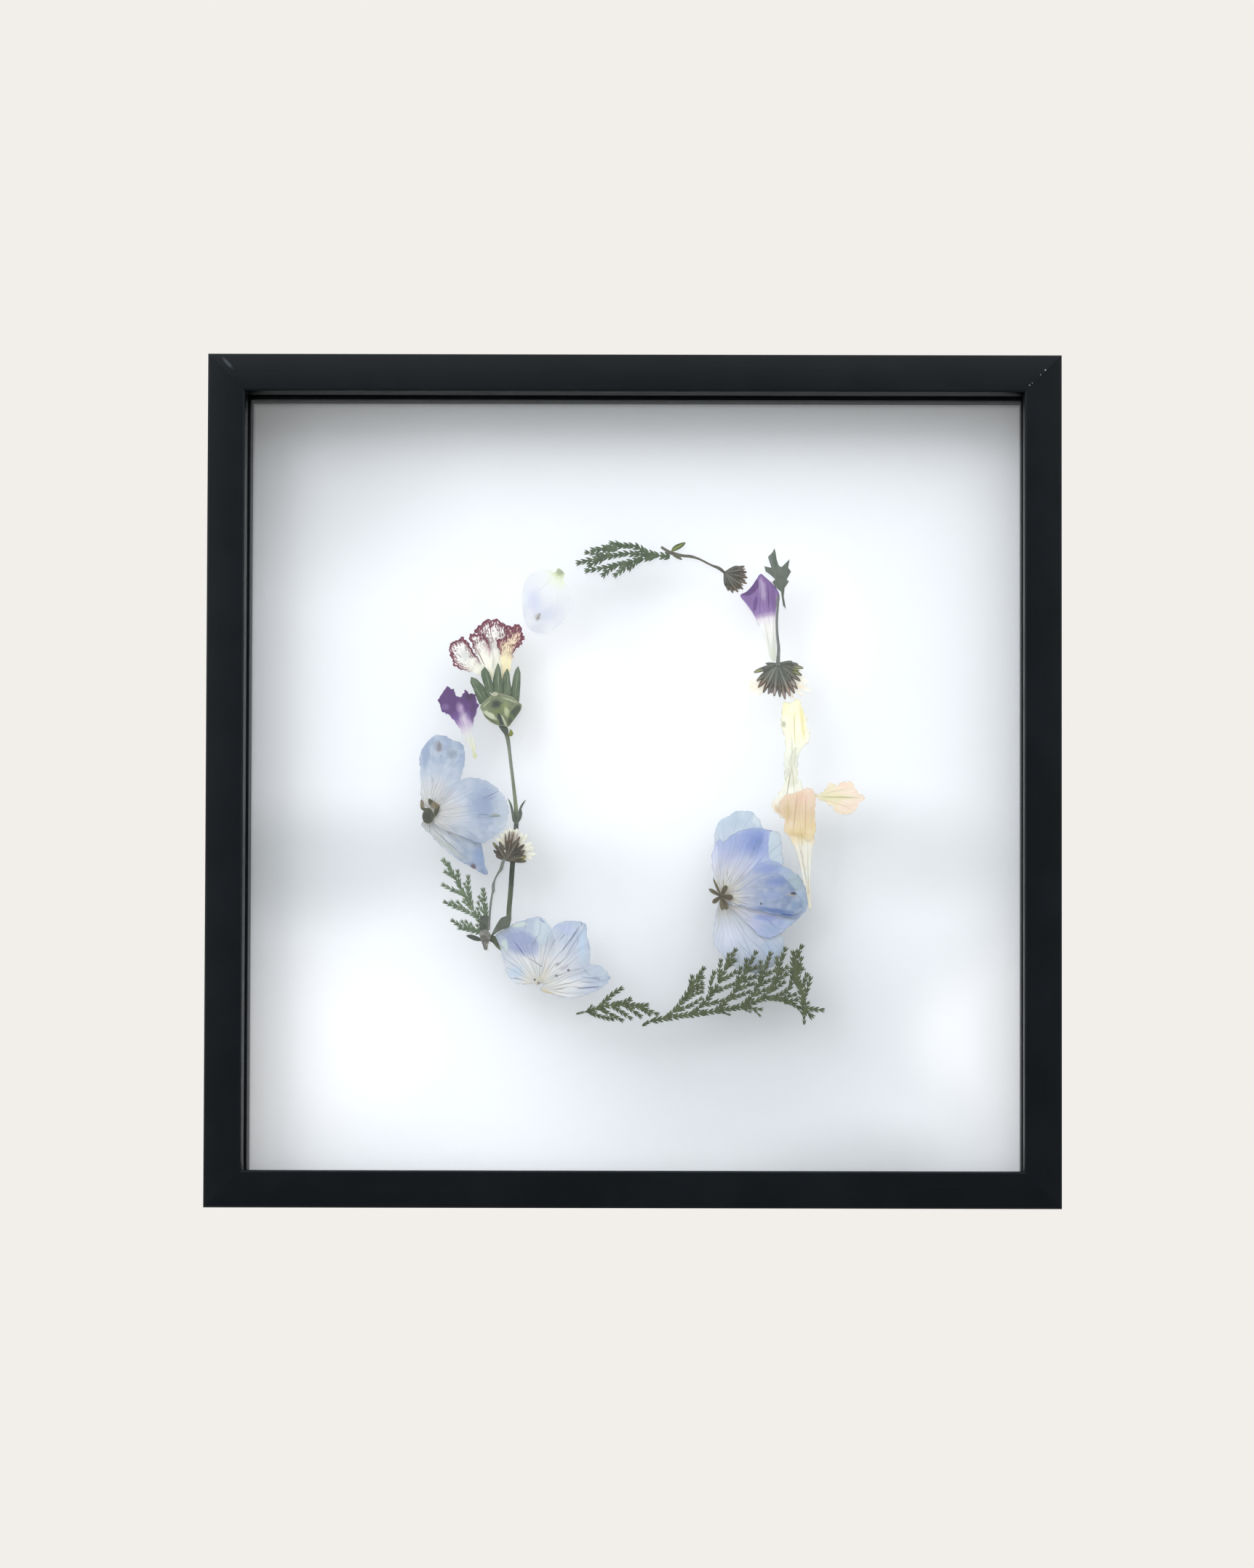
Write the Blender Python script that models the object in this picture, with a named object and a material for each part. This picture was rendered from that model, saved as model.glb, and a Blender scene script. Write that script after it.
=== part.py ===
"""Pressed flower frame: black rails round two glass panes, with dried flowers pressed between them.

Metres, +Z up, front towards -Y. The origin is at the middle of the underside.
The flowers lie flat in thin layers behind the front pane. Each one's outline is
traced in picture pixels (x right, y down) and turned into metres by on_glass.
"""

import math

import bmesh
import bpy
from mathutils import Vector
from mathutils.geometry import delaunay_2d_cdt

# ---------------------------------------------------------------- driving dimensions

OUTER = 0.305  # outside of the square frame, 12 inches
RAIL_FACE = 0.0133  # width of the flat face of each rail
LIP_DEPTH = 0.006  # wood in front of the glass
BACK_DEPTH = 0.006  # wood behind the glass, which the wall pin carries at the top
GROOVE_DEPTH = 0.0045  # how far the groove is cut into the wood
PANE_THICK = 0.0015
PANE_BITE = 0.004  # how far a pane's edge reaches into the groove
GAP = 0.0003  # clearance between pieces that touch
LEAF_THICK = 0.0003  # one layer of pressed petal or leaf
LAYERS = 5
EDGE_ROUND = 0.0007  # eased front edges of the rails
EDGE_STEPS = 3
PANE_EDGE = 0.0002  # ground edge of the panes

PRESS_DEPTH = GAP + LAYERS * (LEAF_THICK + GAP)  # room between the panes
GROOVE_WIDTH = 2 * (GAP + PANE_THICK) + PRESS_DEPTH
RAIL_DEPTH = LIP_DEPTH + GROOVE_WIDTH + BACK_DEPTH
FRONT_Y = -RAIL_DEPTH / 2
BACK_Y = RAIL_DEPTH / 2
GROOVE_FRONT_Y = FRONT_Y + LIP_DEPTH
FRONT_PANE_Y = GROOVE_FRONT_Y + GAP  # front side of the front pane
PRESS_Y = FRONT_PANE_Y + PANE_THICK  # rear side of the front pane
BACK_PANE_Y = PRESS_Y + PRESS_DEPTH  # front side of the back pane

METRES_PER_PIXEL = 0.0002612  # on the plane of the flowers
CENTRE_PIXEL = (872.4, 1076.8)  # the picture pixel at the middle of the frame

JOIN_DISTANCE = 1e-6  # points of an outline closer than this are one
STRAIGHT_ANGLE = 0.01  # radians: an edge that bends less is dissolved
SMOOTH_ANGLE = math.radians(35)  # edges sharper than this stay sharp on the rails

# ---------------------------------------------------------------- colours

BLACK_PAINT = ((0.011, 0.013, 0.015), 0.45)
CLEAR_GLASS = ((0.93, 0.96, 0.96), 0.03)
PALE_LILAC = ((0.72, 0.74, 0.86), 0.6)
CEDAR_GREY = ((0.115, 0.15, 0.115), 0.7)
CEDAR_GREEN = ((0.12, 0.18, 0.105), 0.7)
CEDAR_OLIVE = ((0.075, 0.095, 0.045), 0.7)
TWIG_BROWN = ((0.10, 0.095, 0.08), 0.75)
LEAF_GREEN = ((0.10, 0.13, 0.06), 0.65)
LEAF_DARK = ((0.07, 0.085, 0.07), 0.65)
BUD_BROWN = ((0.09, 0.085, 0.065), 0.8)
PURPLE = ((0.22, 0.10, 0.33), 0.6)
DEEP_PURPLE = ((0.10, 0.045, 0.18), 0.6)
BRACT_BROWN = ((0.085, 0.075, 0.055), 0.8)
CREAM = ((0.80, 0.77, 0.60), 0.6)
BURGUNDY = ((0.42, 0.22, 0.24), 0.6)
SEPAL_GREEN = ((0.11, 0.17, 0.10), 0.65)
CUP_GREEN = ((0.17, 0.21, 0.10), 0.6)
STEM_GREEN = ((0.10, 0.13, 0.07), 0.7)
STEM_GREY = ((0.11, 0.11, 0.10), 0.75)
SKY_BLUE = ((0.42, 0.52, 0.72), 0.55)
LILAC_BLUE = ((0.35, 0.38, 0.66), 0.55)
HEART_DARK = ((0.035, 0.04, 0.03), 0.8)
PALE_YELLOW = ((0.80, 0.78, 0.50), 0.6)
PEACH = ((0.75, 0.55, 0.38), 0.6)

# ---------------------------------------------------------------- outlines, in picture pixels

LILAC_PETAL = [
    (767, 781), (775, 788), (774, 797), (779, 806), (783, 816), (788, 829), (781, 842),
    (772, 855), (760, 866), (745, 871), (731, 868), (722, 857), (718, 840), (717, 820),
    (720, 803), (728, 790), (740, 783), (753, 783), (762, 787),
]
BUD_LEAF = [(922, 757), (925, 751), (932, 747), (941, 745), (940, 749), (934, 754), (926, 757.5)]
BUD_STEM_LEAF = [(921, 759), (928, 760), (934, 764), (937, 769), (930, 767), (924, 763)]
CLOSED_BUD = [
    (994, 785), (1002, 783), (1008, 778), (1016, 776), (1023, 779), (1022, 782), (1026, 785),
    (1024, 790), (1027, 796), (1023, 799), (1024, 803), (1019, 803), (1022, 808), (1016, 807),
    (1017, 811), (1011, 809), (1010, 814), (1003, 812), (999, 807), (996, 799), (997, 791),
]
PURPLE_BELL_MOUTH = [
    (1045, 788), (1052, 793), (1060, 800), (1067, 808), (1071, 817), (1071, 825), (1067, 832),
    (1066, 842), (1066, 850), (1059, 846), (1055, 850), (1050, 846), (1046, 853), (1043, 860),
    (1039, 851), (1033, 840), (1025, 829), (1017, 818), (1025, 813), (1033, 805), (1039, 796),
]
PURPLE_BELL_TUBE = [
    (1047, 845), (1065, 845), (1067, 865), (1067, 885), (1066, 907), (1060, 907), (1055, 892),
    (1049, 870),
]
LOBED_LEAF = [
    (1064, 753), (1066, 760), (1067, 768), (1070, 777), (1074, 779), (1079, 774), (1085, 768),
    (1083, 780), (1087, 785), (1081, 796), (1084, 799), (1078, 808), (1077, 820), (1080, 837),
    (1076, 832), (1073, 813), (1066, 807), (1061, 800), (1065, 796), (1060, 791), (1052, 785),
    (1050, 778), (1060, 780), (1055, 765), (1061, 759),
]
TOP_DAISY_BRACTS = [
    (1052, 913), (1060, 910.5), (1069, 911.5), (1078, 909), (1088, 910), (1103, 918), (1099, 923),
    (1102, 930), (1096, 935), (1098, 943), (1092, 944), (1095, 952), (1088, 950), (1089, 958),
    (1083, 956), (1080, 962), (1075, 957), (1072, 961), (1066, 956), (1062, 956), (1058, 952),
    (1054, 954), (1050, 948), (1045, 951), (1048, 941), (1042, 943), (1046, 935), (1040, 933),
    (1044, 926), (1036, 925), (1045, 919),
]
PURPLE_HEART = [
    (616, 945), (623, 949), (626, 955), (631, 960), (636, 953), (640, 950), (645, 955),
    (654, 957), (655, 966), (658, 973), (653, 985), (650, 996), (648, 1003), (651, 1018),
    (654, 1032), (656, 1043), (652, 1044), (648, 1033), (642, 1022), (635, 1010), (629, 998),
    (619, 987), (609, 980), (604, 972), (602, 965), (606, 955), (610, 950),
]
LEFT_BLUE_TOP = [
    (577, 1038), (582, 1028), (587, 1020), (595, 1013), (604, 1011), (613, 1013), (623, 1018),
    (633, 1021), (638, 1031), (638, 1046), (635, 1062), (628, 1082), (616, 1100), (601, 1112),
    (590, 1112), (580, 1106), (578, 1085), (577, 1060),
]
LEFT_BLUE_SIDE = [
    (590, 1112), (606, 1092), (624, 1079), (642, 1071), (658, 1071), (672, 1076), (684, 1085),
    (693, 1096), (699, 1110), (699, 1124), (694, 1137), (684, 1147), (672, 1155), (660, 1160),
    (638, 1152), (614, 1142), (596, 1132),
]
LEFT_BLUE_LOW = [
    (589, 1126), (602, 1134), (622, 1133), (642, 1138), (656, 1150), (663, 1165), (665, 1181),
    (670, 1203), (659, 1199), (646, 1192), (632, 1184), (618, 1174), (605, 1163), (594, 1150),
    (584, 1141), (580, 1133),
]
LEFT_BLUE_HEART = [
    [(590, 1112), (595, 1116), (598, 1124), (595, 1131), (589, 1134), (583, 1131), (581, 1123),
     (584, 1115)],
    [(579, 1101), (583, 1104), (584, 1111), (590, 1113), (586, 1117), (579, 1113)],
    [(590, 1099), (597, 1103), (605, 1110), (602, 1121), (596, 1125), (597, 1113), (590, 1107)],
]
SIDE_DAISY_BRACTS = [
    (678, 1159), (683, 1163), (684, 1158), (689, 1161), (691, 1154), (696, 1159), (700, 1151),
    (705, 1157), (709, 1152), (712, 1157), (716, 1149), (718, 1158), (723, 1161), (721, 1167),
    (725, 1169), (722, 1175), (726, 1180), (724, 1186), (715, 1187), (706, 1185), (698, 1182),
    (690, 1181), (684, 1175), (680, 1167),
]
SIDE_DAISY_TIPS = [
    (683, 1153), (689, 1146), (695, 1142), (701, 1139), (706, 1141), (711, 1140), (718, 1146),
    (725, 1148), (731, 1159), (735, 1166), (737, 1175), (732, 1181),
]
SIDE_DAISY_BASE = (704, 1173)
DAISY_PETAL_WIDTH = 7
PETAL_WIDE_AT = 0.7  # a daisy petal is widest this share of the way to its tip
PETAL_FOOT = 0.6  # widths at its foot and tip, as shares of the widest
PETAL_TIP = 0.25
TOP_DAISY_TIPS = [(1025, 941), (1029, 948), (1034, 953), (1109, 935), (1111, 944), (1108, 953)]
TOP_DAISY_BASE = (1069, 930)
CARNATION_LEFT = [
    (616, 888), (622, 882), (629, 878), (635, 875), (640, 881), (645, 888), (651, 897),
    (658, 908), (666, 920), (672, 934), (664, 928), (655, 926), (645, 923), (635, 920),
    (625, 916), (621, 908), (618, 900),
]
CARNATION_FRONT = [
    (644, 873), (650, 871), (657, 872), (664, 876), (669, 882), (673, 890), (675, 902),
    (677, 917), (680, 936), (672, 930), (665, 917), (658, 905), (652, 894), (647, 884),
]
CARNATION_TOP = [
    (651, 868), (655, 862), (662, 856), (668, 850), (674, 851), (681, 850), (688, 853),
    (694, 858), (698, 864), (698, 878), (694, 893), (690, 908), (687, 924), (684, 938),
    (679, 924), (676, 908), (673, 894), (668, 882), (660, 874),
]
CARNATION_RIGHT = [
    (697, 861), (704, 860), (711, 859), (716, 863), (718, 870), (720, 876), (716, 884),
    (710, 892), (704, 901), (702, 913), (699, 926), (692, 939), (688, 926), (688, 910),
    (687, 897), (683, 888), (681, 879), (688, 879), (694, 875),
]
CARNATION_SEPALS = [
    [(647, 931), (655, 934), (662, 941), (668, 947), (676, 957), (664, 969), (659, 969),
     (654, 958), (650, 947), (646, 939)],
    [(666, 917), (672, 925), (675, 933), (678, 944), (680, 957), (668, 949), (664, 940),
     (661, 930), (661, 923)],
    [(684, 911), (687, 919), (689, 930), (690, 942), (692, 958), (676, 956), (677, 936),
     (680, 922)],
    [(697, 919), (700, 927), (701, 938), (705, 957), (690, 958), (689, 942), (692, 927)],
    [(712, 916), (715, 925), (715, 940), (714, 956), (713, 966), (701, 960), (703, 944),
     (705, 931), (708, 921)],
]
CARNATION_CUP = [
    (660, 972), (667, 964), (673, 959), (677, 953), (682, 952), (687, 957), (694, 960),
    (704, 962), (714, 967), (717, 970), (716, 977), (710, 986), (704, 994), (699, 1000),
    (692, 999), (684, 998), (675, 994), (667, 987), (663, 980),
]
CARNATION_BRACT = [
    (685, 982), (690, 988), (696, 998), (699, 1005), (696, 1012), (689, 1005), (684, 995),
]
CARNATION_SIDE_BUD = [(702, 1003), (705.5, 1009), (702, 1013), (699, 1011), (700, 1006)]
CARNATION_LEAF_LEFT = [
    (698, 1098), (703, 1105), (706, 1115), (710, 1132), (705, 1130), (703, 1119), (701, 1108),
]
CARNATION_LEAF_RIGHT = [
    (723, 1100), (719, 1108), (717, 1113), (718, 1119), (716, 1127), (710, 1134), (712, 1124),
    (713, 1115), (717, 1106),
]
STUB_STEM = [
    (660, 1283), (666, 1279), (673, 1281), (677, 1287), (675, 1296), (672, 1302), (670, 1307),
    (666, 1307), (663, 1300), (661, 1293),
]
STUB_LEAF_TOP = [
    (661, 1263), (667, 1259), (672, 1260), (674, 1268), (673, 1279), (670, 1285), (663, 1283),
    (660, 1275),
]
STUB_LEAF_LEFT = [
    (642, 1288), (647, 1286), (653, 1287), (660, 1290), (666, 1294), (658, 1295), (650, 1293),
]
STUB_LEAF_RIGHT = [
    (676, 1288), (682, 1275), (686, 1268), (690, 1263), (695, 1261), (703, 1257), (703, 1268),
    (700, 1276), (692, 1279), (686, 1282),
]
STUB_LEAF_LOW = [
    (674, 1287), (681, 1288), (685, 1295), (689, 1307), (683, 1303), (678, 1297), (673, 1294),
]
LOW_BLUE_LEFT = [
    (682, 1288), (690, 1280), (700, 1274), (712, 1268), (725, 1264), (738, 1261), (748, 1264),
    (756, 1275), (762, 1288), (764, 1302), (759, 1320), (751, 1338), (742, 1354), (734, 1352),
    (724, 1354), (712, 1353), (703, 1347), (697, 1335), (692, 1320), (688, 1306),
]
LOW_BLUE_TOP = [
    (744, 1352), (745, 1334), (748, 1314), (752, 1295), (757, 1282), (764, 1273), (774, 1268),
    (787, 1267), (800, 1268), (806, 1273), (808, 1286), (811, 1302), (812, 1320), (810, 1334),
    (798, 1341), (780, 1346), (760, 1352),
]
LOW_BLUE_RIGHT = [
    (743, 1362), (752, 1353), (770, 1343), (790, 1335), (808, 1329), (822, 1327), (833, 1334),
    (839, 1344), (835, 1353), (825, 1360), (813, 1365), (800, 1370), (784, 1372), (765, 1370),
]
RIGHT_BLUE_TOP = [
    (1010, 1116), (1022, 1114), (1034, 1116), (1043, 1124), (1048, 1134), (1050, 1146),
    (1042, 1172), (1022, 1202), (1002, 1228), (990, 1230), (985, 1212), (985, 1190), (987, 1170),
    (983, 1156), (983, 1142), (988, 1131), (999, 1122),
]
RIGHT_BLUE_UPPER = [
    (988, 1228), (982, 1210), (979, 1190), (979, 1174), (984, 1160), (989, 1154), (996, 1158),
    (1004, 1149), (1016, 1143), (1030, 1140), (1044, 1138), (1058, 1141), (1071, 1145),
    (1075, 1158), (1075, 1172), (1077, 1187), (1066, 1203), (1038, 1220), (1006, 1232),
]
RIGHT_BLUE_WIDE = [
    (1000, 1236), (1016, 1212), (1034, 1196), (1050, 1185), (1065, 1184), (1077, 1191),
    (1091, 1198), (1101, 1207), (1107, 1221), (1111, 1238), (1108, 1252), (1097, 1262),
    (1084, 1262), (1060, 1256), (1030, 1249), (1006, 1242),
]
RIGHT_BLUE_INNER = [
    (1003, 1238), (1020, 1222), (1036, 1211), (1052, 1204), (1066, 1201), (1077, 1206),
    (1086, 1216), (1096, 1229), (1103, 1241), (1102, 1251), (1093, 1259), (1080, 1260),
    (1058, 1255), (1032, 1249),
]
RIGHT_BLUE_LOWER = [
    (1001, 1244), (1020, 1247), (1045, 1250), (1070, 1255), (1090, 1256), (1101, 1257),
    (1096, 1265), (1086, 1273), (1076, 1281), (1066, 1287), (1055, 1289), (1043, 1284),
    (1032, 1274), (1018, 1260),
]
RIGHT_BLUE_BOTTOM = [
    (991, 1238), (1004, 1242), (1024, 1252), (1050, 1262), (1070, 1274), (1077, 1292),
    (1076, 1310), (1066, 1325), (1050, 1336), (1030, 1338), (1011, 1330), (998, 1318),
    (988, 1306), (982, 1294), (982, 1274), (985, 1254),
]
YELLOW_BELL = [
    (922, 1091), (935, 1087), (948, 1083), (960, 1080), (972, 1077), (981, 1079), (986, 1086),
    (998, 1090), (1012, 1094), (1026, 1095), (1040, 1093), (1042, 1108), (1030, 1111),
    (1014, 1112), (1000, 1111), (988, 1109), (972, 1112), (957, 1117), (944, 1115), (929, 1113),
    (926, 1102),
]
CREAM_BELL = [
    (990, 1096), (1006, 1097), (1020, 1095), (1034, 1092), (1043, 1086), (1052, 1084),
    (1066, 1087), (1080, 1092), (1087, 1101), (1087, 1115), (1078, 1125), (1070, 1129),
    (1061, 1125), (1052, 1118), (1042, 1114), (1032, 1109), (1018, 1105), (1004, 1104),
]
PEACH_BELL_MOUTH = [
    (1098, 1088), (1108, 1084), (1116, 1085), (1120, 1091), (1122, 1105), (1120, 1120),
    (1121, 1135), (1120, 1149), (1113, 1157), (1104, 1152), (1092, 1149), (1080, 1146),
    (1078, 1138), (1080, 1128), (1075, 1120), (1072, 1110), (1074, 1100), (1081, 1094),
]
PEACH_BELL_TUBES = [
    [(1084, 1145), (1102, 1148), (1102, 1165), (1104, 1181), (1107, 1200), (1113, 1225),
     (1109, 1227), (1103, 1206), (1100, 1187), (1093, 1165)],
    [(1099, 1147), (1119, 1149), (1117, 1170), (1115, 1190), (1114, 1215), (1116, 1246),
     (1112, 1248), (1109, 1222), (1107, 1196), (1103, 1174)],
]
PEACH_PETALS = [
    (1119, 1091), (1130, 1090), (1137, 1081), (1143, 1075), (1151, 1078), (1160, 1075),
    (1171, 1076), (1176, 1083), (1181, 1091), (1191, 1097), (1181, 1103), (1179, 1110),
    (1172, 1116), (1160, 1119), (1150, 1116), (1146, 1109), (1135, 1103), (1126, 1100),
]

# the two pale bells stand upright, and close the ring between the daisy and the peach bell
BELL_TURN = math.radians(90)
BELL_PIVOT = (1082, 1108)
BELL_DROP = 12

# stems: points along the middle, with the width at each
BUD_STEM = [
    (908, 751, 3.5), (914, 755, 4), (921, 759, 5), (937, 763, 4), (948, 764, 4.2),
    (960, 767.5, 3), (977, 776, 3), (988, 780.5, 4.5), (996, 787, 3.5),
]
TOP_DAISY_STEM = [
    (1069.5, 819, 4), (1068.5, 835, 3.5), (1067.5, 853, 3.4), (1068, 870, 3.4),
    (1070, 890, 4.2), (1069.5, 903, 5), (1069, 915, 6.5),
]
CARNATION_STEM = [
    (693, 1002, 7), (697, 1014, 6), (700, 1035, 4.6), (703, 1060, 4.4), (706.5, 1088, 4.4),
    (709, 1112, 5.5), (709.5, 1132, 6.5), (707.5, 1160, 6), (704.5, 1190, 6),
    (702, 1228, 6), (700, 1252, 6), (700, 1266, 6.5),
]
SIDE_DAISY_STEM = [
    (694, 1180, 3.5), (690, 1192, 4.5), (687, 1198, 3.6), (682, 1207, 2.8), (679, 1218, 3.6),
    (678.5, 1227, 3.6), (676.5, 1241, 2.8), (674.5, 1258, 3), (673, 1276, 3),
]

# centre of the right-hand blue flower: sepal stubs from its middle, each to a tip with a width
STAR_MIDDLE = (992, 1233)
STAR_ARMS = [
    (975, 1223, 5), (981, 1209, 3), (999, 1218, 7), (1008, 1235, 8), (1000, 1251, 8),
    (994, 1252, 6), (980, 1242, 6),
]
STAR_WIDE_AT = 0.6
STAR_FOOT_WIDTH = 6
STAR_TIP_WIDTH = 1.5

# cedar: every branch is its width, then points from foot to tip
BLADE_FOOT = 0.75  # shares of that width at the foot, at the fullest and just short of the tip
BLADE_FULL = 1.25
BLADE_END = 0.85
BLADE_END_AT = 0.7  # where that last one is, as a share of the last stretch
CEDAR_TOP = [
    (8, (920, 765), (902, 763), (888, 759), (872, 751), (852, 750), (834, 753), (810, 757)),
    (6, (900, 765), (880, 762), (860, 761), (838, 765), (815, 769), (790, 775)),
    (6, (898, 766), (880, 769), (860, 774), (832, 780), (803, 785)),
    (5, (842, 764), (822, 762), (803, 759)),
    (5, (828, 768), (816, 774), (806, 779)),
    (5, (846, 776), (836, 784), (826, 793)),
    (5, (868, 772), (856, 782), (842, 793)),
    (5, (848, 755), (836, 755), (826, 757)),
]
CEDAR_LEFT = [
    (6.5, (666, 1282), (657, 1262), (644, 1242), (632, 1219), (621, 1199), (608, 1181)),
    (6, (658, 1262), (640, 1253), (622, 1246), (610, 1240)),
    (5.5, (638, 1231), (622, 1224), (607, 1216)),
    (5, (626, 1208), (618, 1203), (610, 1198)),
    (5, (632, 1220), (631, 1208), (629, 1196)),
    (6, (649, 1246), (645, 1226), (644, 1203)),
    (6.5, (667, 1280), (668, 1252), (664, 1220)),
    (6, (667, 1283), (650, 1281), (634, 1274), (620, 1265)),
    (4, (642, 1254), (634, 1246), (628, 1239)),
    (4, (650, 1250), (642, 1244), (636, 1239)),
    (4, (630, 1248), (624, 1243), (620, 1238)),
    (4, (645, 1228), (641, 1220), (638, 1214)),
    (4, (645, 1240), (639, 1230), (636, 1222)),
    (4, (667, 1246), (662, 1239), (658, 1232)),
    (4, (667, 1258), (661, 1249), (657, 1240)),
    (4, (666, 1268), (660, 1258), (656, 1248)),
    (4, (646, 1279), (639, 1272), (634, 1266)),
    (4, (652, 1282), (645, 1273), (640, 1266)),
    (4, (658, 1284), (651, 1276), (647, 1269)),
    (4, (664, 1284), (659, 1277), (655, 1271)),
    (4, (644, 1279), (637, 1278), (630, 1277)),
    (4, (620, 1198), (618, 1191), (618, 1186)),
]
CEDAR_SMALL = [
    (6.5, (793, 1395), (812, 1391), (830, 1385), (848, 1382), (866, 1382), (882, 1386),
     (907, 1396)),
    (5, (824, 1387), (833, 1377), (843, 1368), (858, 1358)),
    (5, (846, 1382), (858, 1379), (870, 1373)),
    (5, (868, 1383), (880, 1383), (894, 1382)),
    (4, (881, 1386), (888, 1391), (896, 1397)),
    (5, (860, 1383), (872, 1391), (884, 1400)),
    (5, (842, 1384), (857, 1393), (870, 1402)),
    (5, (826, 1388), (842, 1396), (859, 1405)),
    (5, (810, 1392), (826, 1398), (847, 1403)),
    (3, (808, 1392), (812, 1387), (815, 1382)),
]
CEDAR_LARGE = [
    (9, (884, 1411), (893, 1404), (918, 1400), (945, 1396), (975, 1392), (1005, 1387),
     (1028, 1382), (1048, 1374), (1066, 1373), (1086, 1378), (1102, 1388)),
    (6, (916, 1400), (932, 1386), (945, 1367), (957, 1348), (970, 1329)),
    (6, (952, 1394), (968, 1380), (984, 1360), (997, 1334), (1014, 1302)),
    (6, (984, 1390), (1000, 1377), (1014, 1358), (1027, 1334), (1041, 1307)),
    (6, (1020, 1384), (1034, 1370), (1045, 1350), (1053, 1330), (1061, 1307)),
    (6, (1046, 1375), (1060, 1360), (1069, 1342), (1074, 1322), (1081, 1302)),
    (6, (1060, 1374), (1076, 1366), (1086, 1358), (1090, 1340)),
    (4.5, (951, 1360), (951, 1350), (953, 1340)),
    (4.5, (978, 1370), (978, 1352), (984, 1334)),
    (4.5, (990, 1350), (990, 1334), (992, 1318)),
    (4.5, (1000, 1332), (1001, 1320), (1003, 1310)),
    (4.5, (1014, 1360), (1016, 1342), (1020, 1328)),
    (4.5, (1026, 1340), (1026, 1327), (1027, 1317)),
    (4.5, (1046, 1352), (1046, 1336), (1046, 1320)),
    (4.5, (1070, 1342), (1069, 1327), (1068, 1314)),
    (4.5, (958, 1350), (963, 1346), (969, 1342)),
    (4.5, (951, 1359), (960, 1355), (969, 1351)),
    (4.5, (946, 1367), (957, 1361), (969, 1357)),
    (4.5, (941, 1376), (954, 1368), (969, 1363)),
    (4.5, (930, 1390), (950, 1383), (967, 1372)),
    (4.5, (1001, 1330), (1007, 1324), (1014, 1321)),
    (4.5, (993, 1348), (1004, 1342), (1014, 1335)),
    (4.5, (984, 1364), (998, 1358), (1013, 1352)),
    (4.5, (970, 1382), (990, 1377), (1012, 1369)),
    (4.5, (1029, 1336), (1036, 1332), (1043, 1331)),
    (4.5, (1022, 1350), (1032, 1345), (1042, 1342)),
    (4.5, (1015, 1361), (1028, 1355), (1040, 1352)),
    (4.5, (1006, 1373), (1020, 1368), (1033, 1363)),
    (4.5, (1052, 1342), (1060, 1337), (1068, 1334)),
    (4.5, (1045, 1355), (1056, 1349), (1067, 1345)),
    (4.5, (1037, 1369), (1048, 1363), (1060, 1358)),
    (4.5, (1072, 1340), (1078, 1333), (1085, 1329)),
    (4.5, (1066, 1351), (1075, 1344), (1085, 1337)),
    (4.5, (1060, 1363), (1070, 1356), (1081, 1349)),
    (4.5, (1072, 1376), (1084, 1370), (1096, 1367)),
    (4.5, (1078, 1379), (1090, 1376), (1099, 1374)),
    (5, (1022, 1385), (1036, 1387), (1049, 1388)),
    (3, (1036, 1388), (1041, 1392), (1046, 1398)),
    (3, (1018, 1385), (1026, 1389), (1034, 1392)),
    (3, (986, 1391), (996, 1393), (1005, 1396)),
]
CEDAR_UPRIGHT = [
    (7, (1106, 1409), (1106, 1392), (1103, 1372), (1098, 1350), (1095, 1328), (1096, 1314),
     (1104, 1299)),
    (8, (1099, 1356), (1093, 1340), (1091, 1324), (1091, 1307)),
    (5, (1103, 1378), (1110, 1360), (1115, 1342)),
    (5, (1101, 1366), (1105, 1352), (1111, 1337)),
    (5, (1096, 1340), (1101, 1334), (1107, 1332)),
    (5, (1095, 1335), (1100, 1325), (1102, 1315)),
    (5, (1106, 1386), (1120, 1388), (1134, 1389)),
    (5, (1106, 1388), (1112, 1394), (1119, 1399)),
    (4, (1105, 1382), (1109, 1380), (1114, 1379)),
    (5, (1097, 1352), (1091, 1342), (1087, 1332)),
]

# ---------------------------------------------------------------- helpers


def clear_scene():
    for obj in list(bpy.data.objects):
        bpy.data.objects.remove(obj, do_unlink=True)


def finish_of(name, paint):
    """A plain material from a (linear colour, roughness) pair."""
    colour, roughness = paint
    material = bpy.data.materials.new(name)
    material.use_nodes = True
    shader = material.node_tree.nodes["Principled BSDF"]
    shader.inputs["Base Color"].default_value = (*colour, 1.0)
    shader.inputs["Roughness"].default_value = roughness
    material.diffuse_color = (*colour, 1.0)
    return material


def add_object(name, bm, paint):
    """Turns a bmesh into a named object with its own material."""
    bmesh.ops.recalc_face_normals(bm, faces=bm.faces)
    mesh = bpy.data.meshes.new(name)
    bm.to_mesh(mesh)
    bm.free()
    mesh.materials.append(finish_of(name, paint))
    obj = bpy.data.objects.new(name, mesh)
    bpy.context.scene.collection.objects.link(obj)
    return obj


def on_glass(pixel):
    """A picture pixel as (x, z) in metres across the frame."""
    across = (pixel[0] - CENTRE_PIXEL[0]) * METRES_PER_PIXEL
    up = OUTER / 2 + (CENTRE_PIXEL[1] - pixel[1]) * METRES_PER_PIXEL
    return across, up


def layer_y(layer):
    """The front side of a layer of pressed leaf, counted from the front pane."""
    return PRESS_Y + GAP + layer * (LEAF_THICK + GAP)


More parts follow.
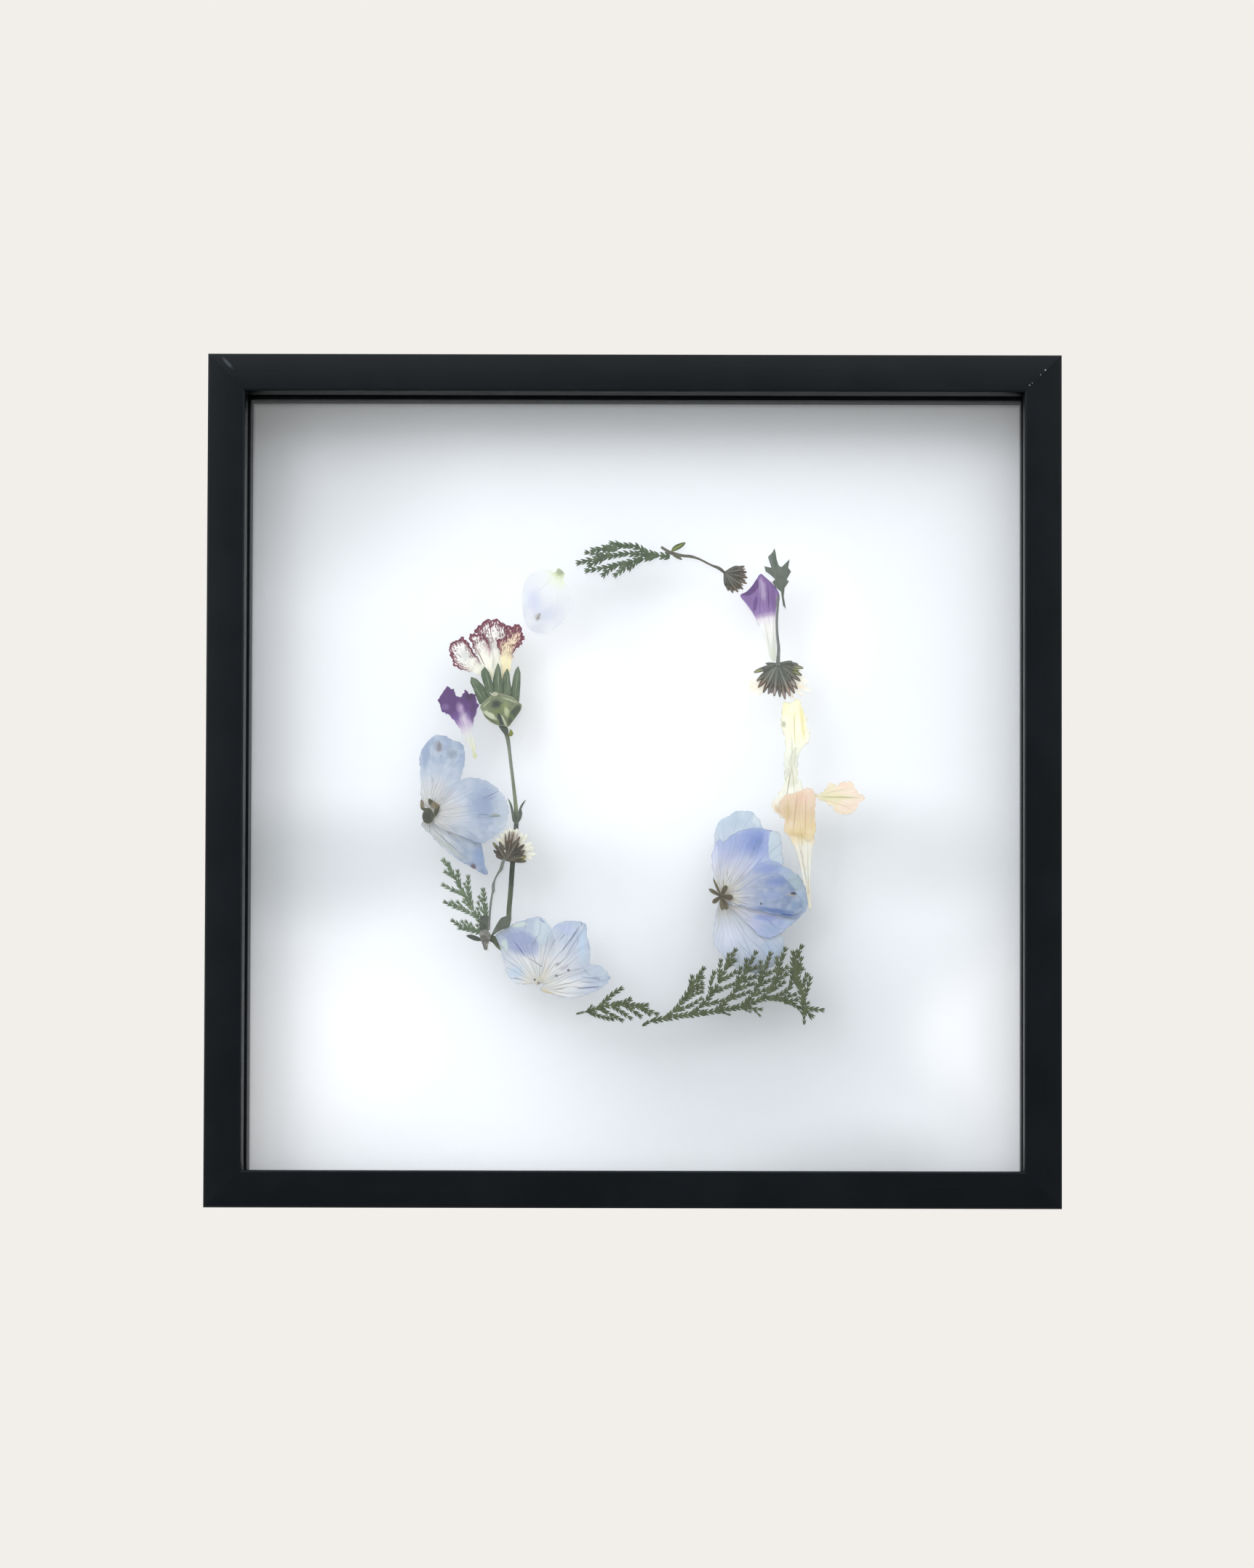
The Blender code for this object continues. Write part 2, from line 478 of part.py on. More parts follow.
def smooth_loop(points, steps=2):
    """A closed Catmull-Rom curve through the points."""
    loop = []
    count = len(points)
    for i in range(count):
        p0, p1, p2, p3 = (Vector(points[(i + k) % count]) for k in (-1, 0, 1, 2))
        for step in range(steps):
            t = step / steps
            loop.append(
                0.5 * (2 * p1 + (p2 - p0) * t + (2 * p0 - 5 * p1 + 4 * p2 - p3) * t * t
                       + (3 * p1 - p0 - 3 * p2 + p3) * t ** 3)
            )
    return loop


def strip(points, widths):
    """The outline of a strip along the points, as wide at each as widths says. 0 makes a point."""
    left, right = [], []
    for i, point in enumerate(points):
        before, after = points[max(i - 1, 0)], points[min(i + 1, len(points) - 1)]
        along = (Vector(after) - Vector(before)).normalized()
        side = Vector((-along.y, along.x)) * widths[i] / 2
        left.append(Vector(point) + side)
        if widths[i] > 0:
            right.append(Vector(point) - side)
    return left + right[::-1]


def stem_outline(stem):
    return strip([(x, y) for x, y, _ in stem], [width for _, _, width in stem])


def cedar_outlines(branches):
    """One blunt-pointed blade for each branch, fullest in the middle."""
    outlines = []
    for width, *points in branches:
        last = len(points) - 1
        shares = [BLADE_FOOT] + [BLADE_FULL] * (last - 1) + [BLADE_END, 0]
        near_tip = Vector(points[-2]).lerp(Vector(points[-1]), BLADE_END_AT)
        outlines.append(strip([*points[:-1], near_tip, points[-1]], [width * share for share in shares]))
    return outlines


def petal_fan(base, tips, width):
    """Narrow pointed petals from one base, each to its own tip."""
    outlines = []
    for tip in tips:
        middle = Vector(base).lerp(Vector(tip), PETAL_WIDE_AT)
        outlines.append(strip([base, middle, tip], [width * PETAL_FOOT, width, width * PETAL_TIP]))
    return outlines


def turned_bell(points):
    """Stands a bell's outline upright about the pivot."""
    turned = []
    for x, y in points:
        dx, dy = x - BELL_PIVOT[0], y - BELL_PIVOT[1]
        turned.append((
            BELL_PIVOT[0] + dx * math.cos(BELL_TURN) - dy * math.sin(BELL_TURN),
            BELL_PIVOT[1] + dx * math.sin(BELL_TURN) + dy * math.cos(BELL_TURN) + BELL_DROP,
        ))
    return turned


def star_outlines(middle, arms):
    """Pointed arms from one middle, each to its own tip."""
    outlines = []
    for x, y, width in arms:
        waist = Vector(middle).lerp(Vector((x, y)), STAR_WIDE_AT)
        outlines.append(strip([middle, waist, (x, y)], [STAR_FOOT_WIDTH, width, STAR_TIP_WIDTH]))
    return outlines


def counter_clockwise(loop):
    """The same loop, run so that its inside is on the left."""
    twice_area = sum(loop[i - 1].cross(point) for i, point in enumerate(loop))
    return loop if twice_area > 0 else loop[::-1]


def flat_piece(name, outlines, layer, paint, layers=1):
    """Joins overlapping outlines into one flat piece and gives it the thickness of its layers."""
    corners, loops = [], []
    for outline in outlines:
        loops.append(list(range(len(corners), len(corners) + len(outline))))
        corners += counter_clockwise([Vector(on_glass(point)) for point in outline])
    points, _, faces, _, _, inside = delaunay_2d_cdt(corners, [], loops, 1, JOIN_DISTANCE)
    front = layer_y(layer)
    bm = bmesh.new()
    verts = [bm.verts.new((x, front, z)) for x, z in points]
    for face, sources in zip(faces, inside):
        if sources:
            bm.faces.new([verts[i] for i in face])
    bmesh.ops.delete(bm, geom=[v for v in bm.verts if not v.link_faces], context="VERTS")
    bmesh.ops.dissolve_limit(bm, angle_limit=STRAIGHT_ANGLE, verts=bm.verts, edges=bm.edges)
    swept = bmesh.ops.extrude_face_region(bm, geom=bm.faces[:])["geom"]
    back_verts = [item for item in swept if isinstance(item, bmesh.types.BMVert)]
    depth = layers * LEAF_THICK + (layers - 1) * GAP
    bmesh.ops.translate(bm, vec=(0, depth, 0), verts=back_verts)
    add_object(name, bm, paint)


# ---------------------------------------------------------------- frame and glass


def rail_profile():
    """The rail's section as (distance in from the outer edge, y), with the groove open inwards."""
    section = []
    for centre, start in ((EDGE_ROUND, 180), (RAIL_FACE - EDGE_ROUND, 270)):
        for step in range(EDGE_STEPS + 1):
            angle = math.radians(start + 90 * step / EDGE_STEPS)
            section.append((
                centre + EDGE_ROUND * math.cos(angle),
                FRONT_Y + EDGE_ROUND + EDGE_ROUND * math.sin(angle),
            ))
    groove_in = RAIL_FACE - GROOVE_DEPTH
    groove_back_y = GROOVE_FRONT_Y + GROOVE_WIDTH
    section += [
        (RAIL_FACE, GROOVE_FRONT_Y), (groove_in, GROOVE_FRONT_Y), (groove_in, groove_back_y),
        (RAIL_FACE, groove_back_y), (RAIL_FACE, BACK_Y), (0, BACK_Y),
    ]
    return section


def add_rail(name, turn):
    """One rail with mitred ends, made at the top of the frame and turned about its middle."""
    bm = bmesh.new()
    ends = []
    for side in (-1, 1):
        ends.append([
            bm.verts.new((side * (OUTER / 2 - inset - GAP / 2), y, OUTER / 2 - inset))
            for inset, y in rail_profile()
        ])
    count = len(ends[0])
    for i in range(count):
        j = (i + 1) % count
        bm.faces.new((ends[0][i], ends[0][j], ends[1][j], ends[1][i]))
    for end in ends:
        bm.faces.new(end)
    cosine, sine = math.cos(turn), math.sin(turn)
    for vert in bm.verts:
        x, y, z = vert.co
        vert.co = (x * cosine + z * sine, y, z * cosine - x * sine + OUTER / 2)
    rail = add_object(name, bm, BLACK_PAINT)
    rail.data.shade_smooth()
    rail.data.set_sharp_from_angle(angle=SMOOTH_ANGLE)


def add_pane(name, front_y):
    """A square pane with a ground edge."""
    half = OUTER / 2 - RAIL_FACE + PANE_BITE
    bm = bmesh.new()
    bmesh.ops.create_cube(bm, size=1.0)
    for vert in bm.verts:
        vert.co = (
            2 * half * vert.co.x,
            front_y + PANE_THICK * (vert.co.y + 0.5),
            OUTER / 2 + 2 * half * vert.co.z,
        )
    bmesh.ops.bevel(bm, geom=bm.edges[:], offset=PANE_EDGE, segments=1, affect="EDGES")
    add_object(name, bm, CLEAR_GLASS)


def build_frame():
    for name, degrees in (("rail_top", 0), ("rail_right", 90), ("rail_bottom", 180), ("rail_left", 270)):
        add_rail(name, math.radians(degrees))
    add_pane("front_pane", FRONT_PANE_Y)
    add_pane("back_pane", BACK_PANE_Y)


# ---------------------------------------------------------------- pressed flowers


def build_top():
    flat_piece("lilac_petal", [smooth_loop(LILAC_PETAL)], 0, PALE_LILAC)
    flat_piece("cedar_top", cedar_outlines(CEDAR_TOP), 0, CEDAR_GREY)
    flat_piece("bud_stem", [stem_outline(BUD_STEM), smooth_loop(BUD_STEM_LEAF)], 1, TWIG_BROWN)
    flat_piece("bud_leaf", [smooth_loop(BUD_LEAF)], 0, LEAF_GREEN)
    flat_piece("closed_bud", [CLOSED_BUD], 2, BUD_BROWN)
    flat_piece("lobed_leaf", [LOBED_LEAF], 0, LEAF_DARK)
    flat_piece("purple_bell", [smooth_loop(PURPLE_BELL_MOUTH), PURPLE_BELL_TUBE], 1, PURPLE)
    flat_piece("top_daisy_stem", [stem_outline(TOP_DAISY_STEM)], 0, STEM_GREY)
    flat_piece("top_daisy_bracts", [TOP_DAISY_BRACTS], 1, BRACT_BROWN)
    petals = petal_fan(TOP_DAISY_BASE, TOP_DAISY_TIPS, DAISY_PETAL_WIDTH)
    flat_piece("top_daisy_petals", petals, 2, CREAM)


def build_carnation():
    flat_piece("carnation_cup", [smooth_loop(CARNATION_CUP)], 0, CUP_GREEN)
    flat_piece("carnation_sepals", CARNATION_SEPALS, 1, SEPAL_GREEN)
    flat_piece("carnation_petal_front", [smooth_loop(CARNATION_FRONT)], 2, CREAM)
    flat_piece("carnation_petal_right", [smooth_loop(CARNATION_RIGHT)], 2, BURGUNDY)
    flat_piece("carnation_petal_left", [smooth_loop(CARNATION_LEFT)], 3, CREAM)
    flat_piece("carnation_petal_top", [smooth_loop(CARNATION_TOP)], 3, CREAM)
    flat_piece("carnation_bract", [smooth_loop(CARNATION_BRACT)], 1, LEAF_DARK)
    flat_piece("carnation_side_bud", [smooth_loop(CARNATION_SIDE_BUD)], 1, LEAF_GREEN)
    flat_piece("carnation_stem", [stem_outline(CARNATION_STEM)], 3, STEM_GREEN, layers=2)
    flat_piece("carnation_leaf_left", [smooth_loop(CARNATION_LEAF_LEFT)], 2, LEAF_DARK)
    flat_piece("carnation_leaf_right", [smooth_loop(CARNATION_LEAF_RIGHT)], 2, LEAF_DARK)


def build_left():
    flat_piece("purple_heart_petal", [PURPLE_HEART], 0, DEEP_PURPLE)
    flat_piece("left_blue_heart", LEFT_BLUE_HEART, 0, HEART_DARK)
    flat_piece("left_blue_side", [smooth_loop(LEFT_BLUE_SIDE)], 1, SKY_BLUE)
    flat_piece("left_blue_top", [smooth_loop(LEFT_BLUE_TOP)], 2, SKY_BLUE)
    flat_piece("left_blue_low", [smooth_loop(LEFT_BLUE_LOW)], 3, SKY_BLUE)
    flat_piece("side_daisy_stem", [stem_outline(SIDE_DAISY_STEM)], 0, STEM_GREY)
    flat_piece("side_daisy_bracts", [SIDE_DAISY_BRACTS], 1, BRACT_BROWN)
    petals = petal_fan(SIDE_DAISY_BASE, SIDE_DAISY_TIPS, DAISY_PETAL_WIDTH)
    flat_piece("side_daisy_petals", petals, 2, CREAM)
    flat_piece("cedar_left", cedar_outlines(CEDAR_LEFT), 2, CEDAR_GREEN)
    flat_piece("stub_stem", [smooth_loop(STUB_STEM)], 0, STEM_GREY)
    flat_piece("stub_leaf_top", [smooth_loop(STUB_LEAF_TOP)], 1, LEAF_DARK)
    flat_piece("stub_leaf_left", [smooth_loop(STUB_LEAF_LEFT)], 1, LEAF_DARK)
    flat_piece("stub_leaf_right", [smooth_loop(STUB_LEAF_RIGHT)], 1, LEAF_DARK)
    flat_piece("stub_leaf_low", [smooth_loop(STUB_LEAF_LOW)], 2, LEAF_DARK)


def build_bottom():
    flat_piece("low_blue_right", [smooth_loop(LOW_BLUE_RIGHT)], 1, SKY_BLUE)
    flat_piece("low_blue_top", [smooth_loop(LOW_BLUE_TOP)], 2, SKY_BLUE)
    flat_piece("low_blue_left", [smooth_loop(LOW_BLUE_LEFT)], 3, LILAC_BLUE)
    flat_piece("cedar_small", cedar_outlines(CEDAR_SMALL), 0, CEDAR_OLIVE)
    flat_piece("cedar_large", cedar_outlines(CEDAR_LARGE), 1, CEDAR_OLIVE)
    flat_piece("cedar_upright", cedar_outlines(CEDAR_UPRIGHT), 0, CEDAR_OLIVE)


def build_right():
    flat_piece("right_blue_heart", star_outlines(STAR_MIDDLE, STAR_ARMS), 0, HEART_DARK)
    flat_piece("right_blue_inner", [smooth_loop(RIGHT_BLUE_INNER)], 1, LILAC_BLUE)
    flat_piece("right_blue_wide", [smooth_loop(RIGHT_BLUE_WIDE)], 2, SKY_BLUE)
    flat_piece("right_blue_upper", [smooth_loop(RIGHT_BLUE_UPPER)], 3, LILAC_BLUE)
    flat_piece("right_blue_lower", [smooth_loop(RIGHT_BLUE_LOWER)], 3, SKY_BLUE)
    flat_piece("right_blue_top", [smooth_loop(RIGHT_BLUE_TOP)], 4, SKY_BLUE)
    flat_piece("right_blue_bottom", [smooth_loop(RIGHT_BLUE_BOTTOM)], 4, SKY_BLUE)
    flat_piece("peach_bell", [smooth_loop(PEACH_BELL_MOUTH), *PEACH_BELL_TUBES], 0, PEACH)
    flat_piece("peach_petals", [smooth_loop(PEACH_PETALS)], 1, PEACH)
    flat_piece("cream_bell", [smooth_loop(turned_bell(CREAM_BELL))], 1, CREAM)
    flat_piece("yellow_bell", [smooth_loop(turned_bell(YELLOW_BELL))], 2, PALE_YELLOW)


clear_scene()
build_frame()
build_top()
build_carnation()
build_left()
build_bottom()
build_right()
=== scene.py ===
# %% [markdown]
# # Pressed flower frame
#
# A square floating frame: four black rails hold two panes of glass, and dried flowers are pressed
# between them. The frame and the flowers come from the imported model, at their real size. This lesson
# gives every piece its finish, and remakes the flat flower solids as petals, leaves and sprigs.

import math
import random

import bpy
import numpy as np
from mathutils import Matrix, Vector, noise


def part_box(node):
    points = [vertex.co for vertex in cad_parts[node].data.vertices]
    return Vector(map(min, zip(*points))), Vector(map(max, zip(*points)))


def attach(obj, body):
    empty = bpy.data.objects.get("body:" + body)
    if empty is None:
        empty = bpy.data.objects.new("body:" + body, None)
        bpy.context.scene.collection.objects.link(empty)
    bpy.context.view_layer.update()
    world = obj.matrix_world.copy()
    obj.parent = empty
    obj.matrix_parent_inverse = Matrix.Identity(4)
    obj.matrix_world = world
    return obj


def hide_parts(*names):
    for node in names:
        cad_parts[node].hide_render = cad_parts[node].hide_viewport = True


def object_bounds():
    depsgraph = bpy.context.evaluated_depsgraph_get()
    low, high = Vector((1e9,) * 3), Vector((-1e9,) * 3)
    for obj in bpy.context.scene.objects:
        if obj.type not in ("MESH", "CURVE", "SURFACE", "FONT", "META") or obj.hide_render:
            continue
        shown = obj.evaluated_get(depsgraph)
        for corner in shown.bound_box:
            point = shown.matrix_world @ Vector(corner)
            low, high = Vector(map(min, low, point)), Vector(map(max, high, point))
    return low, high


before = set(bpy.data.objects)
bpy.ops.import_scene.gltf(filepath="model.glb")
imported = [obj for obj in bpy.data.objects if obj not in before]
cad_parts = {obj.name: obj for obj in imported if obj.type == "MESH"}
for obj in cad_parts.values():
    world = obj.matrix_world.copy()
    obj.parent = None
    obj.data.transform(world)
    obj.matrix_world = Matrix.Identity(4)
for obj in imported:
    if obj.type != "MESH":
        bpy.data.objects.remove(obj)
CAD_BOX = [[float(value) for value in corner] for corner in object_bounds()]
(LEFT, FRONT, BOTTOM), (RIGHT, BACK, TOP) = CAD_BOX
MIDDLE_Z = (BOTTOM + TOP) / 2
HALF = (RIGHT - LEFT) / 2
MM = 0.001
print("nodes", len(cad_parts), "outside", [round((b - a) / MM, 1) for a, b in zip(*CAD_BOX)], "mm")

# %% [markdown]
# ## Where things are
#
# The flowers were traced from a picture, in pixels (x to the right, y down). One scale and one centre
# turn a pixel into metres on the plane of the flowers. The depth of each piece comes from the box of
# its own solid, so a petal always lies in its own layer between the panes.

# %% Picture pixels to metres
METRES_PER_PIXEL = 0.0002612
CENTRE_PIXEL = (872.4, 1076.8)  # the picture pixel at the middle of the frame


def on_glass(pixel):
    """A picture pixel as (x, z) in metres."""
    across = (pixel[0] - CENTRE_PIXEL[0]) * METRES_PER_PIXEL
    up = MIDDLE_Z + (CENTRE_PIXEL[1] - pixel[1]) * METRES_PER_PIXEL
    return across, up


def trace(*numbers):
    """Picture points from a run of x, y, x, y numbers."""
    return list(zip(numbers[::2], numbers[1::2]))


def layer_of(node):
    """The middle of a node's layer and half its thickness, in metres along Y."""
    low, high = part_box(node)
    return (low[1] + high[1]) / 2, (high[1] - low[1]) / 2


# %% [markdown]
# ## Camera
#
# The picture was taken from about a metre away and from well below the middle, so the underside of
# the top rail shows and the two sides lean in slightly. A small tilt gives the lean, and the camera
# was held a touch crooked. The rest of the offset is lens shift, as on a view camera, worked out so
# that the middle of the frame lands on its pixel.

# %% Camera
PICTURE = (1724, 2156)
CAMERA_PLACE = Vector((0.038, FRONT - 1.0, 0.0187))
CAMERA_TILT = math.radians(1.2)
CAMERA_ROLL = math.radians(-0.12)
LENS = 64.65
SENSOR = 36.0
FRAME_MIDDLE_PIXEL = (871.2, 1072.2)

camera_data = bpy.data.cameras.new("camera")
camera = bpy.data.objects.new("camera", camera_data)
bpy.context.scene.collection.objects.link(camera)
camera.location = CAMERA_PLACE
camera.rotation_euler = (math.radians(90) + CAMERA_TILT, CAMERA_ROLL, 0)
camera_data.lens = LENS
camera_data.sensor_width = SENSOR
bpy.context.scene.camera = camera

seen = camera.rotation_euler.to_matrix().transposed() @ (Vector((0, FRONT, MIDDLE_Z)) - CAMERA_PLACE)
plain_right = LENS * seen.x / -seen.z / SENSOR
plain_up = LENS * seen.y / -seen.z / SENSOR
camera_data.shift_x = plain_right - (FRAME_MIDDLE_PIXEL[0] - PICTURE[0] / 2) / PICTURE[1]
camera_data.shift_y = plain_up - (PICTURE[1] / 2 - FRAME_MIDDLE_PIXEL[1]) / PICTURE[1]
print("shift", round(camera_data.shift_x, 4), round(camera_data.shift_y, 4))

# %% [markdown]
# ## A node at a time
#
# A material is a small graph of nodes. One function adds a node of any kind with its settings and
# its links, and another turns a paint maker's hex colour into the linear numbers that Blender uses.
# Three short ones make what repeats: a tint over a colour, a product, and an ellipse for a spot. With
# those, each finish below reads like its own recipe.

# %% Helpers for materials


def add_node(tree, kind, inputs=None, **settings):
    """Adds a shader node. Inputs are numbers, colours or the outputs of other nodes."""
    node = tree.nodes.new("ShaderNode" + kind)
    for name, value in settings.items():
        setattr(node, name, value)
    for name, value in (inputs or {}).items():
        if isinstance(value, bpy.types.NodeSocket):
            tree.links.new(value, node.inputs[name])
        else:
            node.inputs[name].default_value = value
    return node


def mixed(tree, colour, amount, tint):
    """A tint laid over a colour, by an amount from 0 to 1."""
    return add_node(tree, "Mix", {0: amount, 6: colour, 7: tint}, data_type="RGBA").outputs[2]


def product(tree, first, second):
    """The product of two values."""
    return add_node(tree, "Math", {0: first, 1: second}, operation="MULTIPLY").outputs[0]


def ellipse(tree, vector, middle, half_sizes, degrees):
    """How far a point is from the middle of a turned ellipse, 1 at its edge."""
    within = add_node(
        tree, "Mapping",
        {"Vector": vector, "Location": middle, "Rotation": (0, -math.radians(degrees), 0),
         "Scale": half_sizes},
        vector_type="TEXTURE",
    )
    return add_node(tree, "VectorMath", {0: within.outputs[0]}, operation="LENGTH").outputs["Value"]


def linear(colour):
    """An sRGB colour such as "#F2EFEB" as linear red, green, blue and 1."""
    shares = [int(colour[i:i + 2], 16) / 255 for i in (1, 3, 5)]
    return (*[s / 12.92 if s <= 0.04045 else ((s + 0.055) / 1.055) ** 2.4 for s in shares], 1.0)


def new_material(name):
    """A material, its node tree and its Principled shader."""
    material = bpy.data.materials.new(name)
    material.use_nodes = True
    return material, material.node_tree, material.node_tree.nodes["Principled BSDF"]


# %% [markdown]
# ## Light and backdrop
#
# The frame hangs on a white wall in daylight: a wide soft skylight from above and in front, a window
# on each side, weak light from low in the room, and one behind for the views from the back. An even
# sky fills the rest. The top rail cuts off the light from high up, which is why the wall is darker
# under it and gets brighter going down. The wall inside the frame is a card behind the glass, seen
# only from the front, so that the back of the frame shows in other views. Its colour carries painted
# shade and painted light: soft greyer patches where shadows fall, and brighter pools of light.

# %% World, lights, wall and floor
PAGE_COLOUR = "#F2EFEB"
WALL_COLOUR = "#EFF2F5"
FLOOR_COLOUR = "#E9E6E1"
WALL_PAINTED_SHADE_AND_LIGHT = (  # painted shade and painted light on the wall, soft shadows and brighter pools: x, y and half sizes in pixels, colour
    (1020, 1420, 330, 270, "#D2D6D9"), (430, 1185, 240, 95, "#D5D9DC"), (1240, 1175, 180, 85, "#DCE0E2"),
    (430, 660, 200, 150, "#DFE2E5"), (1180, 1600, 170, 70, "#D0D4D7"), (450, 1430, 160, 140, "#FCFDFF"),
    (1360, 1420, 110, 110, "#FCFDFF"), (790, 1215, 150, 90, "#DFE2E5"), (345, 1480, 60, 200, "#FDFEFF"),
    (1395, 1430, 70, 170, "#FDFEFF"), (1050, 870, 160, 160, "#FDFEFF"), (745, 930, 110, 140, "#FDFEFF"),
)
PAINTED_LIGHT_BEGINS = 1.25  # where such a painted patch of shade or light begins to show and where it is full, as shares of its half size
PAINTED_LIGHT_FULL = 0.2
PLASTER_GRIT = 9 * MM
WALL_GAP = 1.0 * MM  # between the back of the frame and the wall
FLOOR_DROP = 1.2  # how far below the frame the floor is
FLOOR_SIZE = 6.0
AMBIENT = 0.18  # strength of the even sky,
BLUER = 1.03  # which is a little bluer than white
DIM_ROOM = 0.03  # what the glass and the paint mirror: the darker room in front of the frame

scene = bpy.context.scene
scene.view_settings.view_transform = "Standard"
scene.cycles.transparent_max_bounces = 32
scene.cycles.transmission_bounces = 16
scene.cycles.max_bounces = 16

world = bpy.data.worlds.new("daylight")
scene.world = world
world.use_nodes = True
sky = world.node_tree
path = add_node(sky, "LightPath").outputs
straight = add_node(
    sky, "Math", {0: path["Is Camera Ray"], 1: path["Is Transmission Ray"]}, operation="MAXIMUM",
)
unlit = add_node(sky, "Math", {0: path["Diffuse Depth"], 1: 0.5}, operation="LESS_THAN")
page = product(sky, straight.outputs[0], unlit.outputs[0])
around = mixed(
    sky, (AMBIENT, AMBIENT, AMBIENT * BLUER, 1), path["Is Glossy Ray"], (DIM_ROOM, DIM_ROOM, DIM_ROOM, 1),
)
sky_colour = mixed(sky, around, page, linear(PAGE_COLOUR))
sky.links.new(sky_colour, sky.nodes["Background"].inputs["Color"])


def soft_light(name, azimuth, elevation, distance, width, height, watts, colour, mirrored=True):
    """A rectangular soft light that faces the middle of the frame."""
    light = bpy.data.lights.new(name, "AREA")
    light.shape = "RECTANGLE"
    light.size = width
    light.size_y = height
    light.energy = watts
    light.color = linear(colour)[:3]
    lamp = bpy.data.objects.new(name, light)
    scene.collection.objects.link(lamp)
    away = Vector((
        math.sin(math.radians(azimuth)) * math.cos(math.radians(elevation)),
        -math.cos(math.radians(azimuth)) * math.cos(math.radians(elevation)),
        math.sin(math.radians(elevation)),
    ))
    lamp.location = Vector((0, 0, MIDDLE_Z)) + distance * away
    lamp.rotation_euler = away.to_track_quat("Z", "Y").to_euler()
    lamp.visible_camera = False
    lamp.visible_transmission = False
    lamp.visible_glossy = mirrored


soft_light("skylight", 0, 58, 1.5, 3.0, 1.6, 34, "#FBFBFF")
soft_light("left_window", -62, 22, 1.6, 1.6, 1.8, 25, "#FBFBFF")
soft_light("right_window", 62, 22, 1.6, 1.6, 1.8, 17, "#FBFBFF")
soft_light("room", 0, -4, 1.6, 1.6, 1.0, 4.5, "#FFFDFA", mirrored=False)
soft_light("behind", 180, 35, 2.0, 2.0, 2.0, 12, "#FFFFFF")


def flat_stage(name, size, place, turn, material):
    """A flat square that stands in for a wall or the floor."""
    bpy.ops.object.select_all(action="DESELECT")
    bpy.ops.mesh.primitive_plane_add(size=size, location=place, rotation=turn)
    card = bpy.context.object
    card.name = name
    bpy.ops.object.transform_apply(location=True, rotation=True, scale=True)
    card.data.materials.append(material)
    return card


plaster, tree, shader = new_material("wall_plaster")
shader.inputs["Roughness"].default_value = 1.0
shader.inputs["Specular IOR Level"].default_value = 0.0
place = add_node(tree, "TexCoord").outputs["Object"]
tone = linear(WALL_COLOUR)
# Painted shade and painted light: each patch lays a greyer shadow or a brighter pool of light over the wall's
# plain colour.
for tone_x, tone_y, half_wide, half_high, tint in WALL_PAINTED_SHADE_AND_LIGHT:
    middle_x, middle_z = on_glass((tone_x, tone_y))
    halves = (half_wide * METRES_PER_PIXEL, 1, half_high * METRES_PER_PIXEL)
    out = ellipse(tree, place, (middle_x, 0, middle_z), halves, 0)
    amount = add_node(
        tree, "MapRange", {"Value": out, "From Min": PAINTED_LIGHT_BEGINS, "From Max": PAINTED_LIGHT_FULL},
        interpolation_type="SMOOTHSTEP",
    )
    tone = mixed(tree, tone, amount.outputs[0], linear(tint))
tree.links.new(tone, shader.inputs["Base Color"])
grit = add_node(
    tree, "TexNoise", {"Vector": place, "Scale": 1 / PLASTER_GRIT, "Detail": 6.0, "Roughness": 0.6},
)
grit_bump = add_node(tree, "Bump", {"Height": grit.outputs["Fac"], "Strength": 0.25, "Distance": 0.6 * MM})
tree.links.new(grit_bump.outputs["Normal"], shader.inputs["Normal"])
from_behind = add_node(tree, "NewGeometry").outputs["Backfacing"]
clear = add_node(tree, "BsdfTransparent")
either = add_node(tree, "MixShader", {0: from_behind, 1: shader.outputs[0], 2: clear.outputs[0]})
tree.links.new(either.outputs[0], tree.nodes["Material Output"].inputs["Surface"])
wall = flat_stage(
    "wall", 2 * HALF - 2 * MM, (0, BACK + WALL_GAP, MIDDLE_Z), (math.radians(90), 0, 0), plaster,
)
wall.visible_shadow = False

floor_plaster, tree, shader = new_material("floor_plaster")
shader.inputs["Base Color"].default_value = linear(FLOOR_COLOUR)
shader.inputs["Roughness"].default_value = 0.9
flat_stage("floor", FLOOR_SIZE, (0, 0, BOTTOM - FLOOR_DROP), (0, 0, 0), floor_plaster)
print("wall normal", wall.data.polygons[0].normal)

# %% [markdown]
# ## Glass
#
# Two sheets of clear float glass. Glass in Cycles casts a full shadow unless the light rays that make
# shadows are let straight through, so the shader is glass for the eye and clear for those rays. The
# two panes keep their solids, which have ground edges already.

# %% Glass panes
GLASS_TINT = "#FEFFFF"

glass, tree, shader = new_material("float_glass")
shader.inputs["Base Color"].default_value = linear(GLASS_TINT)
shader.inputs["Roughness"].default_value = 0.0
shader.inputs["IOR"].default_value = 1.5
shader.inputs["Transmission Weight"].default_value = 1.0
shadow_ray = add_node(tree, "LightPath").outputs["Is Shadow Ray"]
clear = add_node(tree, "BsdfTransparent")
either = add_node(tree, "MixShader", {0: shadow_ray, 1: shader.outputs[0], 2: clear.outputs[0]})
tree.links.new(either.outputs[0], tree.nodes["Material Output"].inputs["Surface"])
for node in ("front_pane", "back_pane"):
    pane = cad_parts[node]
    pane.data.materials.clear()
    pane.data.materials.append(glass)

# %% [markdown]
# ## Rails
#
# Each rail is a length of wood with a groove for the glass, cut at 45 degrees at both ends and painted
# black. It could be one turned profile for the whole frame, but real rails are four separate pieces,
# so one is shaped from a bar: the long front edges are rounded, the groove is pushed into the inner
# side, the ends are sliced off at an angle, and three copies are turned round the middle. The mitre
# edges get a hair-fine bevel, which is what draws the line at each corner.

